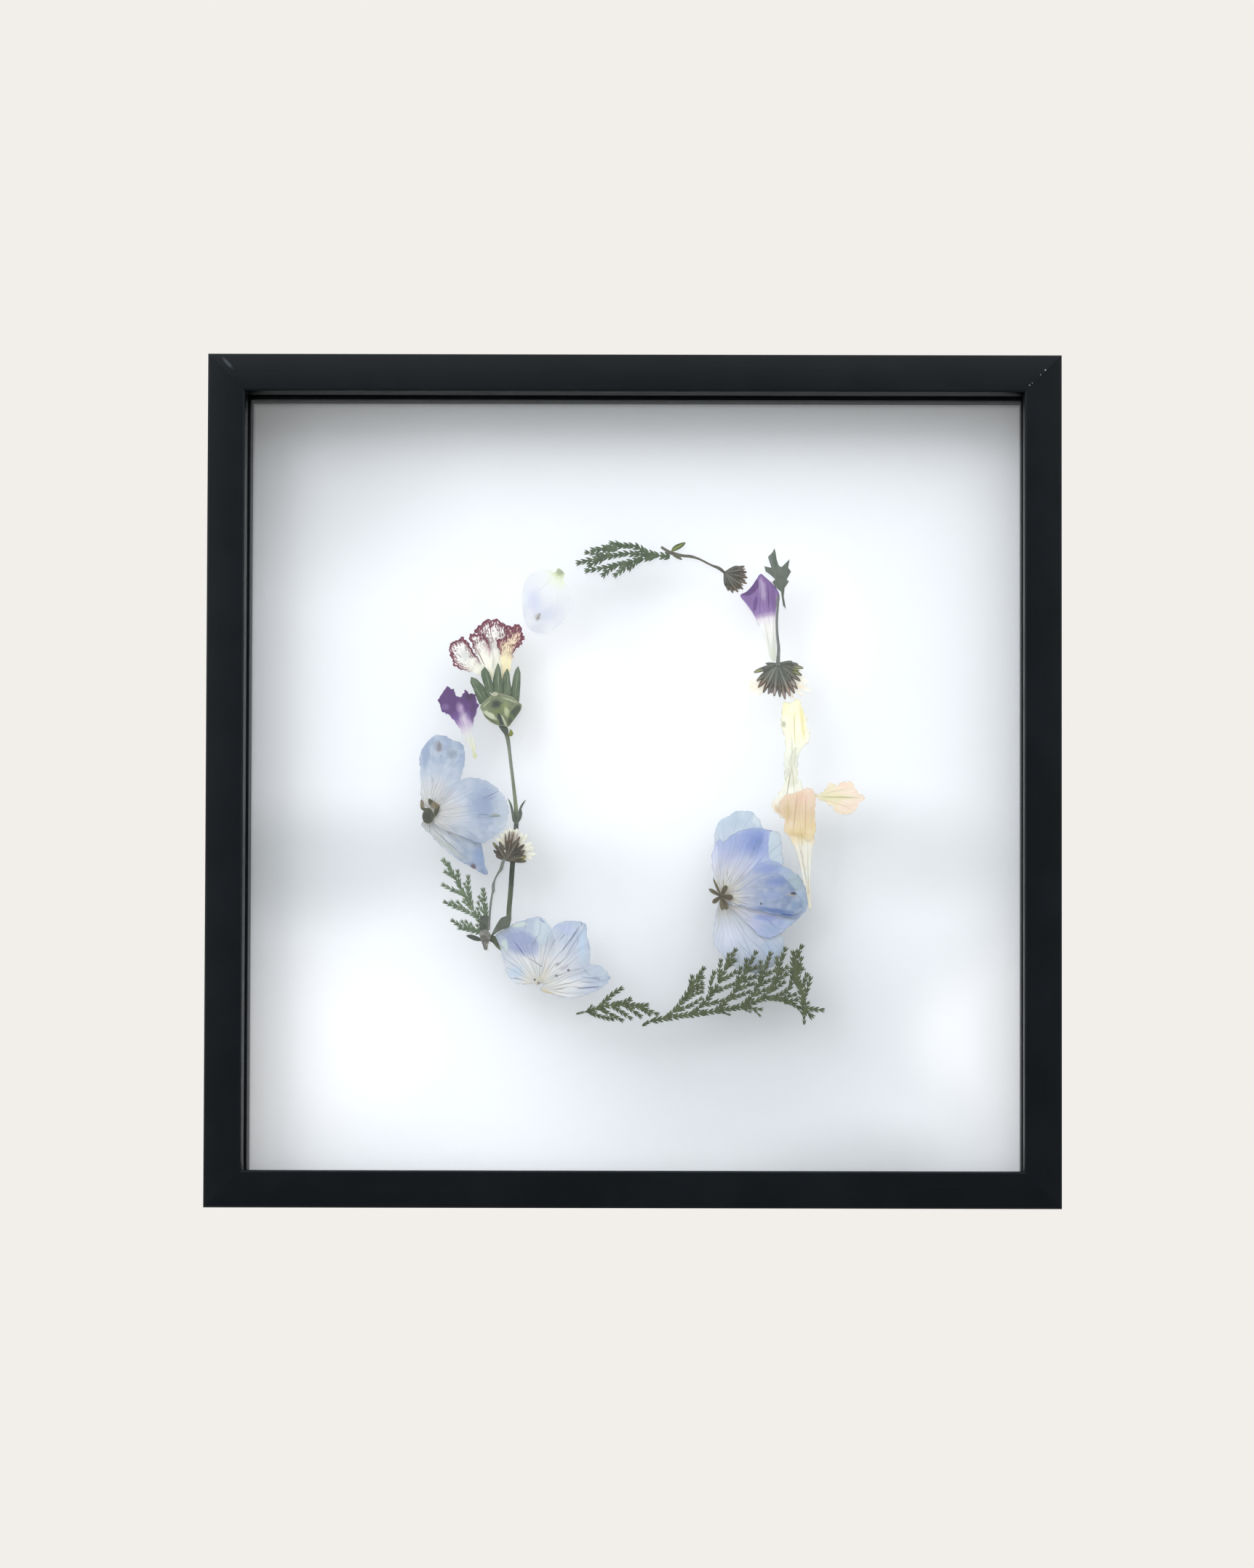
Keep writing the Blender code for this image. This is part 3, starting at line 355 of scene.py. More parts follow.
# %% Shape one rail from a bar
RAIL_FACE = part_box("rail_top")[1][2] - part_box("rail_top")[0][2]
EDGE_ROUND = 0.7 * MM
MITRE_EDGE = 0.12 * MM
MITRE_PLAY = 0.02 * MM  # a joint closed with glue
GROOVE_DEPTH = 4.5 * MM
GROOVE_PLAY = 0.3 * MM  # the groove is this much wider than the glass, each side
GROOVE_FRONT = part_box("front_pane")[0][1] - GROOVE_PLAY
GROOVE_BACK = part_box("back_pane")[1][1] + GROOVE_PLAY
NEAR = 0.01 * MM


def edit_mesh(piece):
    """Opens a piece in edit mode with nothing selected."""
    bpy.ops.object.select_all(action="DESELECT")
    piece.select_set(True)
    bpy.context.view_layer.objects.active = piece
    bpy.ops.object.mode_set(mode="EDIT")
    bpy.ops.mesh.select_all(action="DESELECT")
    bpy.ops.object.mode_set(mode="OBJECT")


def pick_edges(piece, wanted):
    """Selects the edges whose two ends both pass the test, and opens edit mode on them."""
    edit_mesh(piece)
    for edge in piece.data.edges:
        ends = [piece.data.vertices[i].co for i in edge.vertices]
        edge.select = all(wanted(co) for co in ends)
    bpy.ops.object.mode_set(mode="EDIT")
    bpy.ops.mesh.select_mode(type="EDGE")


bpy.ops.object.select_all(action="DESELECT")
bpy.ops.mesh.primitive_cube_add(size=1, location=(0, (FRONT + BACK) / 2, TOP - RAIL_FACE / 2))
rail = bpy.context.object
rail.name = "rail_top_wood"
rail.scale = (2 * HALF, BACK - FRONT, RAIL_FACE)
bpy.ops.object.transform_apply(location=True, rotation=True, scale=True)

pick_edges(rail, lambda co: abs(co.y - FRONT) < NEAR)
bpy.ops.object.mode_set(mode="OBJECT")
for edge in rail.data.edges:
    a, b = (rail.data.vertices[i].co for i in edge.vertices)
    edge.select = edge.select and abs(a.x - b.x) > HALF
bpy.ops.object.mode_set(mode="EDIT")
bpy.ops.mesh.bevel(offset=EDGE_ROUND, segments=6, affect="EDGES")
for cut in (GROOVE_FRONT, GROOVE_BACK):
    bpy.ops.mesh.select_all(action="SELECT")
    bpy.ops.mesh.bisect(plane_co=(0, cut, 0), plane_no=(0, 1, 0))
bpy.ops.object.mode_set(mode="OBJECT")
edit_mesh(rail)
for face in rail.data.polygons:
    face.select = face.normal.z < -0.9 and GROOVE_FRONT < face.center.y < GROOVE_BACK
bpy.ops.object.mode_set(mode="EDIT")
bpy.ops.mesh.extrude_region_move(TRANSFORM_OT_translate={"value": (0, 0, GROOVE_DEPTH)})
for side in (-1, 1):
    bpy.ops.mesh.select_all(action="SELECT")
    bpy.ops.mesh.bisect(
        plane_co=(side * (HALF - MITRE_PLAY), 0, TOP), plane_no=(side, 0, -1), clear_outer=True,
        use_fill=True,
    )
bpy.ops.object.mode_set(mode="OBJECT")


def on_mitre(co):
    """True for a point on the front of either slanted end."""
    return abs(abs(co.x) - (HALF - MITRE_PLAY) + (TOP - co.z)) < NEAR and co.y < FRONT + EDGE_ROUND + NEAR


pick_edges(rail, on_mitre)
bpy.ops.mesh.bevel(offset=MITRE_EDGE, segments=2, affect="EDGES")
bpy.ops.object.mode_set(mode="OBJECT")
for vert in rail.data.vertices:
    vert.co.y = max(vert.co.y, FRONT)
print("rail faces", len(rail.data.polygons))

# %% [markdown]
# The paint is a soft black on a close-grained wood, and it hardly shines. The grain runs along each
# rail and only just shows through as fine shallow lines, so the same recipe is made twice, along and
# upright. Handling has left one grey scuff at the top left corner and a few pale specks along the
# mitre at the top right, and those are placed where they are on the real frame.

# %% Soft black paint on wood, and the other rails
PAINT_BLACK = "#0E1215"
PAINT_GREYER = "#13181B"
PAINT_SCUFF = "#3A3F42"
PAINT_CHIP = "#8F918F"
GRAIN_WIDTH = 0.9 * MM
GRAIN_LENGTH = 30 * MM
PAINT_CLOUD = 22 * MM  # size of the greyer clouds in the paint
FRAY = 1.2 * MM  # how coarse the edge of a scuff or chip is
SCUFF = (-145.5, 149.0, 3.0, 0.75, -48)  # mm from the middle of the frame, half sizes in mm, degrees
CHIPS = (
    (146.6, 147.0, 0.35, 0.3, 20), (144.9, 145.3, 0.22, 0.2, 0), (141.0, 141.6, 0.32, 0.2, 45),
    (141.9, 142.3, 0.2, 0.16, 0),
)


def painted_wood(name, along):
    """Soft black paint with the wood's grain running along X or along Z."""
    material, tree, shader = new_material(name)
    shader.inputs["Roughness"].default_value = 0.35
    shader.inputs["Specular IOR Level"].default_value = 0.12
    place = add_node(tree, "TexCoord").outputs["Object"]
    stretch = [1 / GRAIN_WIDTH] * 3
    stretch[along] = 1 / GRAIN_LENGTH
    laid = add_node(tree, "Mapping", {"Vector": place, "Scale": stretch})
    grain = add_node(
        tree, "TexNoise", {"Vector": laid.outputs[0], "Scale": 1.0, "Detail": 5.0, "Roughness": 0.65},
    )
    cloud = add_node(tree, "TexNoise", {"Vector": place, "Scale": 1 / PAINT_CLOUD, "Detail": 3.0})
    mottled = add_node(
        tree, "MapRange", {"Value": cloud.outputs["Fac"], "From Min": 0.4, "From Max": 0.7, "To Max": 0.6},
    )
    lines = add_node(
        tree, "MapRange", {"Value": grain.outputs["Fac"], "From Min": 0.55, "From Max": 0.75, "To Max": 0.7},
    )
    colour = linear(PAINT_BLACK)
    for amount in (mottled, lines):
        colour = mixed(tree, colour, amount.outputs[0], linear(PAINT_GREYER))
    fray = add_node(tree, "TexNoise", {"Vector": place, "Scale": 1 / FRAY, "Detail": 3.0})
    for mark, tint, strength in ((SCUFF, PAINT_SCUFF, 0.8), *((chip, PAINT_CHIP, 0.9) for chip in CHIPS)):
        x, z, half_wide, half_high, degrees = mark
        middle = (x * MM, FRONT, MIDDLE_Z + z * MM)
        out = ellipse(tree, place, middle, (half_wide * MM, 2 * MM, half_high * MM), degrees)
        uneven = add_node(tree, "Math", {0: fray.outputs["Fac"], 1: 0.7, 2: out}, operation="MULTIPLY_ADD")
        worn = add_node(
            tree, "MapRange",
            {"Value": uneven.outputs[0], "From Min": 1.4, "From Max": 0.8, "To Max": strength},
        )
        colour = mixed(tree, colour, worn.outputs[0], linear(tint))
    tree.links.new(colour, shader.inputs["Base Color"])
    raised = add_node(
        tree, "Bump", {"Height": grain.outputs["Fac"], "Strength": 0.3, "Distance": 0.04 * MM},
    )
    tree.links.new(raised.outputs["Normal"], shader.inputs["Normal"])
    return material


wood_along = painted_wood("black_painted_wood_along", 0)
wood_upright = painted_wood("black_painted_wood_upright", 2)
for node, turns, finish in (
    ("rail_top", 0, wood_along), ("rail_right", 1, wood_upright),
    ("rail_bottom", 2, wood_along), ("rail_left", 3, wood_upright),
):
    turned = rail
    if turns:
        turned = rail.copy()
        turned.data = rail.data.copy()
        turned.name = node + "_wood"
        scene.collection.objects.link(turned)
        middle = Matrix.Translation((0, 0, MIDDLE_Z))
        turned.data.transform(middle @ Matrix.Rotation(math.radians(90 * turns), 4, "Y") @ middle.inverted())
    turned.data.materials.clear()
    turned.data.materials.append(finish)
    bpy.ops.object.select_all(action="DESELECT")
    turned.select_set(True)
    bpy.context.view_layer.objects.active = turned
    bpy.ops.object.shade_smooth_by_angle(angle=math.radians(35))
    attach(turned, "root")
    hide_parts(node)
    print(turned.name, len(turned.data.polygons), "faces")

# %% [markdown]
# ## Cutting a petal
#
# A pressed petal is a thin sheet with an edge that was never straight, and low ribs that fan out from
# its foot. It could be a textured card, but then it would have no thickness and no relief. Here a
# filled circle has its points moved onto the traced outline, the sheet is cut into small squares, and
# Solidify gives it its thickness. The small squares then rise and fall with the ribs. The distance
# from each point to the edge is kept as an attribute called rim, for the colours that follow an edge.

# %% Helpers that cut a petal or leaf
SHEET = 0.12 * MM  # thickness of a pressed petal
CELL = 0.7 * MM  # side of the squares a petal is cut into
FINE_CELL = 0.4 * MM
SHARP_STEP = 1.6  # pixels between the cuts of a straight side
SMOOTH_ANGLE = 60  # degrees: flatter bends than this are shaded smooth


def smooth_loop(points, steps=6):
    """A closed Catmull-Rom curve through the points."""
    loop = []
    count = len(points)
    for i in range(count):
        p0, p1, p2, p3 = (Vector(points[(i + k) % count]) for k in (-1, 0, 1, 2))
        for step in range(steps):
            t = step / steps
            loop.append(
                0.5 * (2 * p1 + (p2 - p0) * t + (2 * p0 - 5 * p1 + 4 * p2 - p3) * t * t
                       + (3 * p1 - p0 - 3 * p2 + p3) * t ** 3)
            )
    return loop


def nicked(loop, depth, pitch, seed=0.0):
    """The same loop with an edge nicked in and out; depth and pitch are in pixels."""
    uneven = []
    walked = 0.0
    for before, here, after in zip(loop[-1:] + loop[:-1], loop, loop[1:] + loop[:1]):
        along = (after - before).normalized()
        nick = noise.noise((walked / pitch, seed, 0.5))
        uneven.append(here + depth * nick * Vector((along.y, -along.x)))
        walked += (after - here).length
    return uneven


def sharp_loop(points):
    """A loop with straight sides and sharp tips, cut every few pixels."""
    loop = []
    for here, after in zip(points, points[1:] + points[:1]):
        side = Vector(after) - Vector(here)
        count = max(round(side.length / SHARP_STEP), 1)
        loop += [Vector(here) + side * part / count for part in range(count)]
    return loop


def rim_distance(places, loop):
    """How far each place is from the nearest side of the outline, in metres."""
    starts = np.array([on_glass(point) for point in loop])
    sides = np.roll(starts, -1, axis=0) - starts
    gap = places[:, None, :] - starts[None, :, :]
    share = (gap * sides).sum(axis=2) / np.maximum((sides ** 2).sum(axis=1), 1e-18)
    nearest = gap - np.clip(share, 0, 1)[:, :, None] * sides[None, :, :]
    return np.sqrt((nearest ** 2).sum(axis=2)).min(axis=1)


def cut_sheet(name, loop, cell):
    """A flat sheet with this outline, cut into squares, with its rim attribute."""
    bpy.ops.object.select_all(action="DESELECT")
    bpy.ops.mesh.primitive_circle_add(vertices=len(loop), fill_type="NGON")
    piece = bpy.context.object
    piece.name = name
    corners = [on_glass(point) for point in loop]
    for vert, (x, z) in zip(piece.data.vertices, corners):
        vert.co = (x, 0, z)
    bpy.ops.object.mode_set(mode="EDIT")
    for axis, part in ((0, 0), (2, 1)):
        low = min(corner[part] for corner in corners)
        high = max(corner[part] for corner in corners)
        across = [0, 0, 0]
        across[axis] = 1
        for step in range(1, math.ceil((high - low) / cell)):
            bpy.ops.mesh.select_all(action="SELECT")
            at = [0, 0, 0]
            at[axis] = low + step * cell
            bpy.ops.mesh.bisect(plane_co=at, plane_no=across)
    bpy.ops.object.mode_set(mode="OBJECT")
    places = np.array([(vert.co.x, vert.co.z) for vert in piece.data.vertices])
    rim = piece.data.attributes.new("rim", "FLOAT", "POINT")
    rim.data.foreach_set("value", rim_distance(places, loop).astype(np.float32))
    return piece


def apply_modifier(piece, kind, **settings):
    """Adds one modifier to a piece and applies it."""
    bpy.context.view_layer.objects.active = piece
    modifier = piece.modifiers.new(kind.title(), kind)
    for name, value in settings.items():
        setattr(modifier, name, value)
    bpy.ops.object.modifier_apply(modifier=modifier.name)


def join_pieces(name, pieces):
    """Makes one object of several."""
    bpy.ops.object.select_all(action="DESELECT")
    for piece in pieces:
        piece.select_set(True)
    bpy.context.view_layer.objects.active = pieces[0]
    if len(pieces) > 1:
        bpy.ops.object.join()
    joined = bpy.context.view_layer.objects.active
    joined.name = name
    return joined


def close_and_smooth(piece):
    """Points the faces outwards and shades the gentle bends smooth."""
    edit_mesh(piece)
    bpy.ops.object.mode_set(mode="EDIT")
    bpy.ops.mesh.select_all(action="SELECT")
    bpy.ops.mesh.normals_make_consistent(inside=False)
    bpy.ops.object.mode_set(mode="OBJECT")
    bpy.ops.object.shade_smooth_by_angle(angle=math.radians(SMOOTH_ANGLE))


def press(node, outlines, relief, cell=CELL, thick=SHEET, swell=0.0, swell_reach=1.0 * MM, stack=0.0):
    """Cuts each outline from a sheet and lays the sheets in the node's layer.

    relief(x, z) raises the sheet, swell thickens its middle, and stack parts one sheet from the next.
    """
    middle = layer_of(node)[0]
    sheets = []
    for index, loop in enumerate(outlines):
        sheet = cut_sheet(node, loop, cell)
        apply_modifier(sheet, "SOLIDIFY", thickness=thick, offset=0.0)
        depth = middle + (index - (len(outlines) - 1) / 2) * stack
        rim = sheet.data.attributes["rim"].data
        for vert in sheet.data.vertices:
            side = -1 if vert.co.y < 0 else 1
            inward = min(rim[vert.index].value / swell_reach, 1)
            fat = swell * math.sqrt(1 - (1 - inward) ** 2)
            vert.co.y += depth + side * fat + relief(vert.co.x, vert.co.z)
        sheets.append(sheet)
    piece = join_pieces(node + "_pressed", sheets)
    close_and_smooth(piece)
    return piece


def settle(piece, material, slot, node):
    """Gives a piece its finish, hangs it on the root body and hides the solid it stands for."""
    piece.data.materials.clear()
    piece.data.materials.append(material)
    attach(piece, "root")
    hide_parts(node)
    print(piece.name, len(piece.data.polygons), "faces")


# %% [markdown]
# Ribs and veins both run out from the foot of a petal. So one small record holds where the foot is
# and which way the petal points, and both the relief of the mesh and the lines of the finish use it.

# %% Growth of a petal: its foot, its direction and its ribs
RIB_LENGTH = 12 * MM  # a rib changes its height about this often
RIB_BEGINS = 3 * MM  # the ribs reach their full height this far from the foot
SWAY = 0.9  # height of the gentle waves, as a share of the ribs


def growth(foot, outline):
    """The foot of a petal in metres, and its direction in radians."""
    x, z = on_glass(foot)
    places = [on_glass(point) for point in outline]
    mean_x = sum(place[0] for place in places) / len(places)
    mean_z = sum(place[1] for place in places) / len(places)
    return x, z, math.atan2(mean_z - z, mean_x - x)


def ribs(grown, count, depth, wave=5 * MM, seed=0):
    """A relief of ribs that fan out from the foot, on a sheet that waves gently."""
    foot_x, foot_z, direction = grown

    def relief(x, z):
        dx, dz = x - foot_x, z - foot_z
        away = math.hypot(dx, dz)
        angle = math.atan2(dz, dx) - direction
        angle = math.atan2(math.sin(angle), math.cos(angle))
        fan = noise.noise((angle * count, away / RIB_LENGTH, seed)) * min(away / RIB_BEGINS, 1)
        sway = noise.noise((x / wave, z / wave, seed + 7.3))
        return depth * (fan + SWAY * sway)

    return relief


# %% [markdown]
# ## What a dried petal looks like
#
# The colour changes from the foot to the edge. Fine streaks and darker veins follow the ribs, there
# are cloudy patches where the dye has gone, and single spots and creases that are this petal's own.
# Some petals are edged in a second colour, which runs inwards in short dashes. Where petals overlap
# the colour doubles, because each lets some of the wall through. A petal's own dye is therefore
# deeper than the colour it shows, and dye() works that out.

# %% Finish of a pressed petal or leaf
WALL_SEEN = 0.8  # brightness of the wall behind the flowers, in their own soft shadow
DAYLIGHT = 1.09  # brightness of a white card laid among them
SOFT = 0.7  # how softly a spot fades, from 0, cut out, to 1
FINE_SPOT = 2.6  # a spot narrower than this, in pixels, has a clean edge
DASH_AT_EDGE = 0.34  # noise above this is a dash, at the very edge and
DASH_INSIDE = 0.66  # where the dashes end
EDGE_BEGINS_OVER = 0.2  # an edge colour sets in over this share of the reach
EDGE_GRIT = 1.6 * MM  # how coarse the ragged edge of a spot is, and
RAGGED_PUSH = 1.1 * MM  # how far it is pushed in and out
CLEAN_PUSH = 0.3 * MM  # the same for veins and fine lines
STREAK_LENGTH = 14 * MM
VEIN_BEND = 26 * MM  # a vein bends about this often, by
VEIN_SWAY = 4.0  # this many of the spaces between two


def dye(seen, cover):
    """The linear colour of a petal that covers this share and looks like seen over the wall."""
    through = (1 - cover) * WALL_SEEN
    shares = [min(max((value - through) / (cover * DAYLIGHT), 0.006), 0.95) for value in linear(seen)[:3]]
    return (*shares, 1.0)


def stroke(x0, y0, x1, y1, width, tint, strength, soft=SOFT):
    """A spot drawn out to a line from one pixel to another."""
    turn = math.degrees(math.atan2(y0 - y1, x1 - x0))
    half_long = math.hypot(x1 - x0, y1 - y0) / 2
    return (x0 + x1) / 2, (y0 + y1) / 2, half_long, width / 2, turn, tint, strength, soft


def lay_spots(tree, lay, colour, clean, ragged, spots):
    """Single spots and lines: ellipses that fade at a ragged edge, or at a clean one where they are fine."""
    for x, y, half_wide, half_high, degrees, tint, strength, *given in spots:
        soft = given[0] if given else SOFT
        spot_x, spot_z = on_glass((x, y))
        vector = clean if min(half_wide, half_high) < FINE_SPOT else ragged
        halves = (half_wide * METRES_PER_PIXEL, 1, half_high * METRES_PER_PIXEL)
        out = ellipse(tree, vector, (spot_x, 0, spot_z), halves, degrees)
        amount = add_node(
            tree, "MapRange",
            {"Value": out, "From Min": 1 + soft / 4, "From Max": 1 - soft, "To Max": strength},
            interpolation_type="SMOOTHSTEP",
        )
        colour = lay(colour, amount.outputs[0], tint)
    return colour


def lay_veins(tree, lay, fan, colour, height, angle, share, veins):
    """Thin lines that fan out from the foot and sway a little, in the colour and in the height."""
    for per_radian, width, tint, strength, fades, ends in veins:
        swayed = add_node(
            tree, "Math",
            {0: fan(per_radian / 3, VEIN_BEND, 2.0), 1: VEIN_SWAY, 2: product(tree, angle, per_radian)},
            operation="MULTIPLY_ADD",
        )
        apart = add_node(tree, "Math", {0: swayed.outputs[0], 1: 0.5}, operation="PINGPONG")
        drawn = add_node(
            tree, "MapRange",
            {"Value": apart.outputs[0], "From Min": width / 2, "From Max": width / 6, "To Max": strength},
        )
        held = add_node(tree, "MapRange", {"Value": share, "From Min": ends, "From Max": fades})
        amount = product(tree, drawn.outputs[0], held.outputs[0])
        colour = lay(colour, amount, tint)
        height = add_node(tree, "Math", {0: amount, 1: 0.5, 2: height}, operation="MULTIPLY_ADD").outputs[0]
    return colour, height


def lay_rims(tree, lay, colour, begun, streak, rims):
    """Coloured edges, wider and narrower with the streaks."""
    to_edge = add_node(tree, "Attribute", attribute_name="rim").outputs["Fac"]
    uneven = add_node(
        tree, "MapRange", {"Value": streak, "From Min": 0.35, "From Max": 0.7, "To Min": 0.5, "To Max": 1.6},
    )
    for width, tint, strength in rims:
        wide = product(tree, uneven.outputs[0], width)
        amount = add_node(
            tree, "MapRange", {"Value": to_edge, "From Max": wide, "To Min": strength, "To Max": 0.0},
        )
        colour = lay(colour, product(tree, amount.outputs[0], begun), tint)
    return colour


def lay_dashes(tree, lay, fan, colour, begun, dashes):
    """Short dashes that run inwards from the edge, fewer and fewer."""
    per_radian, length, inward, tint, strength = dashes
    to_edge = add_node(tree, "Attribute", attribute_name="rim").outputs["Fac"]
    needed = add_node(
        tree, "MapRange",
        {"Value": to_edge, "From Max": inward, "To Min": DASH_AT_EDGE, "To Max": DASH_INSIDE},
    )
    over = add_node(
        tree, "Math", {0: fan(per_radian, length, 1.0), 1: needed.outputs[0]}, operation="SUBTRACT",
    )
    amount = add_node(tree, "MapRange", {"Value": over.outputs[0], "From Max": 0.05, "To Max": strength})
    return lay(colour, product(tree, amount.outputs[0], begun), tint)


def from_the_foot(tree, place, grown):
    """How far a point is from the foot of a petal, and at what angle to the way it grows."""
    foot_x, foot_z, direction = grown
    from_foot = add_node(
        tree, "Mapping", {"Vector": place, "Location": (foot_x, 0, foot_z), "Rotation": (0, -direction, 0)},
        vector_type="TEXTURE",
    )
    ways = add_node(tree, "SeparateXYZ", {0: from_foot.outputs[0]})
    flat = add_node(tree, "CombineXYZ", {0: ways.outputs[0], 1: ways.outputs[2]})
    away = add_node(tree, "VectorMath", {0: flat.outputs[0]}, operation="LENGTH").outputs["Value"]
    angle = add_node(tree, "Math", {0: ways.outputs[2], 1: ways.outputs[0]}, operation="ARCTAN2").outputs[0]
    return away, angle


def tint_ramp(tree, share, tints, cover):
    """The main colours, from the foot to the reach."""
    ramp = add_node(tree, "ValToRGB", {"Fac": share})
    stops = ramp.color_ramp.elements
    while len(stops) < len(tints):
        stops.new(1.0)
    for stop, (position, tint) in zip(stops, tints):
        stop.position = position
        stop.color = dye(tint, cover)
    return ramp.outputs["Color"]


# %% [markdown]
# The whole finish puts these together, in the order in which they lie on a real petal: main colours,
# clouds, spots, streaks, veins and the edge. A leaf, a bract and a stem use the same recipe without
# the see-through part, with coarser streaks and a rougher surface.

# %% The whole finish


def pressed_finish(
    name, grown, reach, tints, cover=1.0, streaks=(14, 0.2), veins=(), clouds=None, dashes=None, rims=(),
    edge_from=-0.2, spots=(), feather=0.0, blades=0.0, rough=0.6, seed=0.0,
):
    """Tints run from the foot to the reach; the rest is laid over them in turn.

    tints: (share of the reach, colour). feather: how far the streaks push the tints, as such a share.
    streaks: (how many a radian, strength). clouds: (size, colour, strength).
    spots: (x, y, half width, half height, degrees, colour, strength) and, if not SOFT, how soft.
    veins: (how many a radian, width as a share of the space between two, colour, strength, share of the
    reach where they fade, share where they end).
    rims: (width, colour, strength). dashes: (how many a radian, length, reach from the edge, colour,
    strength). edge_from: the share of the reach where the rims and the dashes begin.
    blades: how much one blade differs from the next in brightness.
    """
    material, tree, shader = new_material(name)
    shader.inputs["Roughness"].default_value = rough
    shader.inputs["Specular IOR Level"].default_value = 0.2
    shader.inputs["Alpha"].default_value = 1 - math.sqrt(1 - cover) if cover < 1 else 1.0
    place = add_node(tree, "TexCoord").outputs["Object"]
    grit = add_node(tree, "TexNoise", {"Vector": place, "Scale": 1 / EDGE_GRIT, "Detail": 3.0})
    centred = add_node(
        tree, "VectorMath", {0: grit.outputs["Color"], 1: (0.5, 0.5, 0.5)}, operation="SUBTRACT",
    )
    ragged, clean = (
        add_node(
            tree, "VectorMath", {0: centred.outputs[0], 1: (push, 0, push), 2: place},
            operation="MULTIPLY_ADD",
        ).outputs[0]
        for push in (RAGGED_PUSH, CLEAN_PUSH)
    )
    away, angle = from_the_foot(tree, clean, grown)

    def lay(colour, amount, tint):
        """A second colour over the first, by an amount from 0 to 1."""
        return mixed(tree, colour, amount, dye(tint, cover))

    def fan(per_radian, length, detail):
        """Noise that is drawn out along the ribs."""
        run = add_node(tree, "Math", {0: away, 1: length}, operation="DIVIDE")
        drawn = add_node(
            tree, "CombineXYZ", {0: product(tree, angle, per_radian), 1: run.outputs[0], 2: seed},
        )
        return add_node(
            tree, "TexNoise", {"Vector": drawn.outputs[0], "Scale": 1.0, "Detail": detail, "Roughness": 0.6},
        ).outputs["Fac"]

    def shaded(colour, value, strength):
        """The colour made darker and lighter by a value, by this share either way."""
        shade = add_node(tree, "MapRange", {**value, "To Min": 1 - strength, "To Max": 1 + strength})
        return add_node(
            tree, "Mix", {0: 1.0, 6: colour, 7: shade.outputs[0]}, data_type="RGBA", blend_type="MULTIPLY",
        ).outputs[2]

    streak = fan(streaks[0], STREAK_LENGTH, 4.0)
    share = add_node(tree, "MapRange", {"Value": away, "From Max": reach}).outputs[0]
    pushed = add_node(tree, "Math", {0: streak, 1: feather, 2: share}, operation="MULTIPLY_ADD")
    settled = add_node(tree, "Math", {0: pushed.outputs[0], 1: feather / 2}, operation="SUBTRACT")
    colour = tint_ramp(tree, settled.outputs[0], tints, cover)
    if clouds:
        size, tint, strength = clouds
        cloud = add_node(tree, "TexNoise", {"Vector": ragged, "Scale": 1 / size, "Detail": 4.0})
        amount = add_node(
            tree, "MapRange",
            {"Value": cloud.outputs["Fac"], "From Min": 0.42, "From Max": 0.66, "To Max": strength},
        )
        colour = lay(colour, amount.outputs[0], tint)
    colour = lay_spots(tree, lay, colour, clean, ragged, spots)
    colour = shaded(colour, {"Value": streak, "From Min": 0.25, "From Max": 0.75}, streaks[1])
    colour, height = lay_veins(tree, lay, fan, colour, streak, angle, share, veins)
    if blades:
        own = add_node(tree, "Attribute", attribute_name="tone").outputs["Fac"]
        colour = shaded(colour, {"Value": own}, blades)
    begun = add_node(
        tree, "MapRange", {"Value": share, "From Min": edge_from, "From Max": edge_from + EDGE_BEGINS_OVER},
    ).outputs[0]
    colour = lay_rims(tree, lay, colour, begun, streak, rims)
    if dashes:
        colour = lay_dashes(tree, lay, fan, colour, begun, dashes)
    tree.links.new(colour, shader.inputs["Base Color"])
    raised = add_node(tree, "Bump", {"Height": height, "Strength": 0.5, "Distance": 0.12 * MM})
    tree.links.new(raised.outputs["Normal"], shader.inputs["Normal"])
    return material


# %% [markdown]
# ## Stems
#
# A pressed stem is a thin tube, flattened, thicker at its joints, with fine ridges. A curve with a
# round section does this well: its points carry the width, and once it is a mesh it is squeezed flat
# into its layer.

# %% Helper that lays a stem
STEM_PLAY = 0.02 * MM  # room a stem keeps in its layer
STEM_RIDGE = 0.06  # height of its ridges, as a share of its thickness
STEM_RIDGE_PITCH = 0.4 * MM


def smooth_path(stations, steps=5):
    """An open Catmull-Rom curve through the stations, whatever numbers each one holds."""
    ends = [stations[0], *stations, stations[-1]]
    path = []
    for i in range(1, len(ends) - 2):
        p0, p1, p2, p3 = (np.array(ends[i + k], dtype=float) for k in (-1, 0, 1, 2))
        for step in range(steps):
            t = step / steps
            path.append(
                0.5 * (2 * p1 + (p2 - p0) * t + (2 * p0 - 5 * p1 + 4 * p2 - p3) * t * t
                       + (3 * p1 - p0 - 3 * p2 + p3) * t ** 3)
            )
    path.append(np.array(stations[-1], dtype=float))
    return path


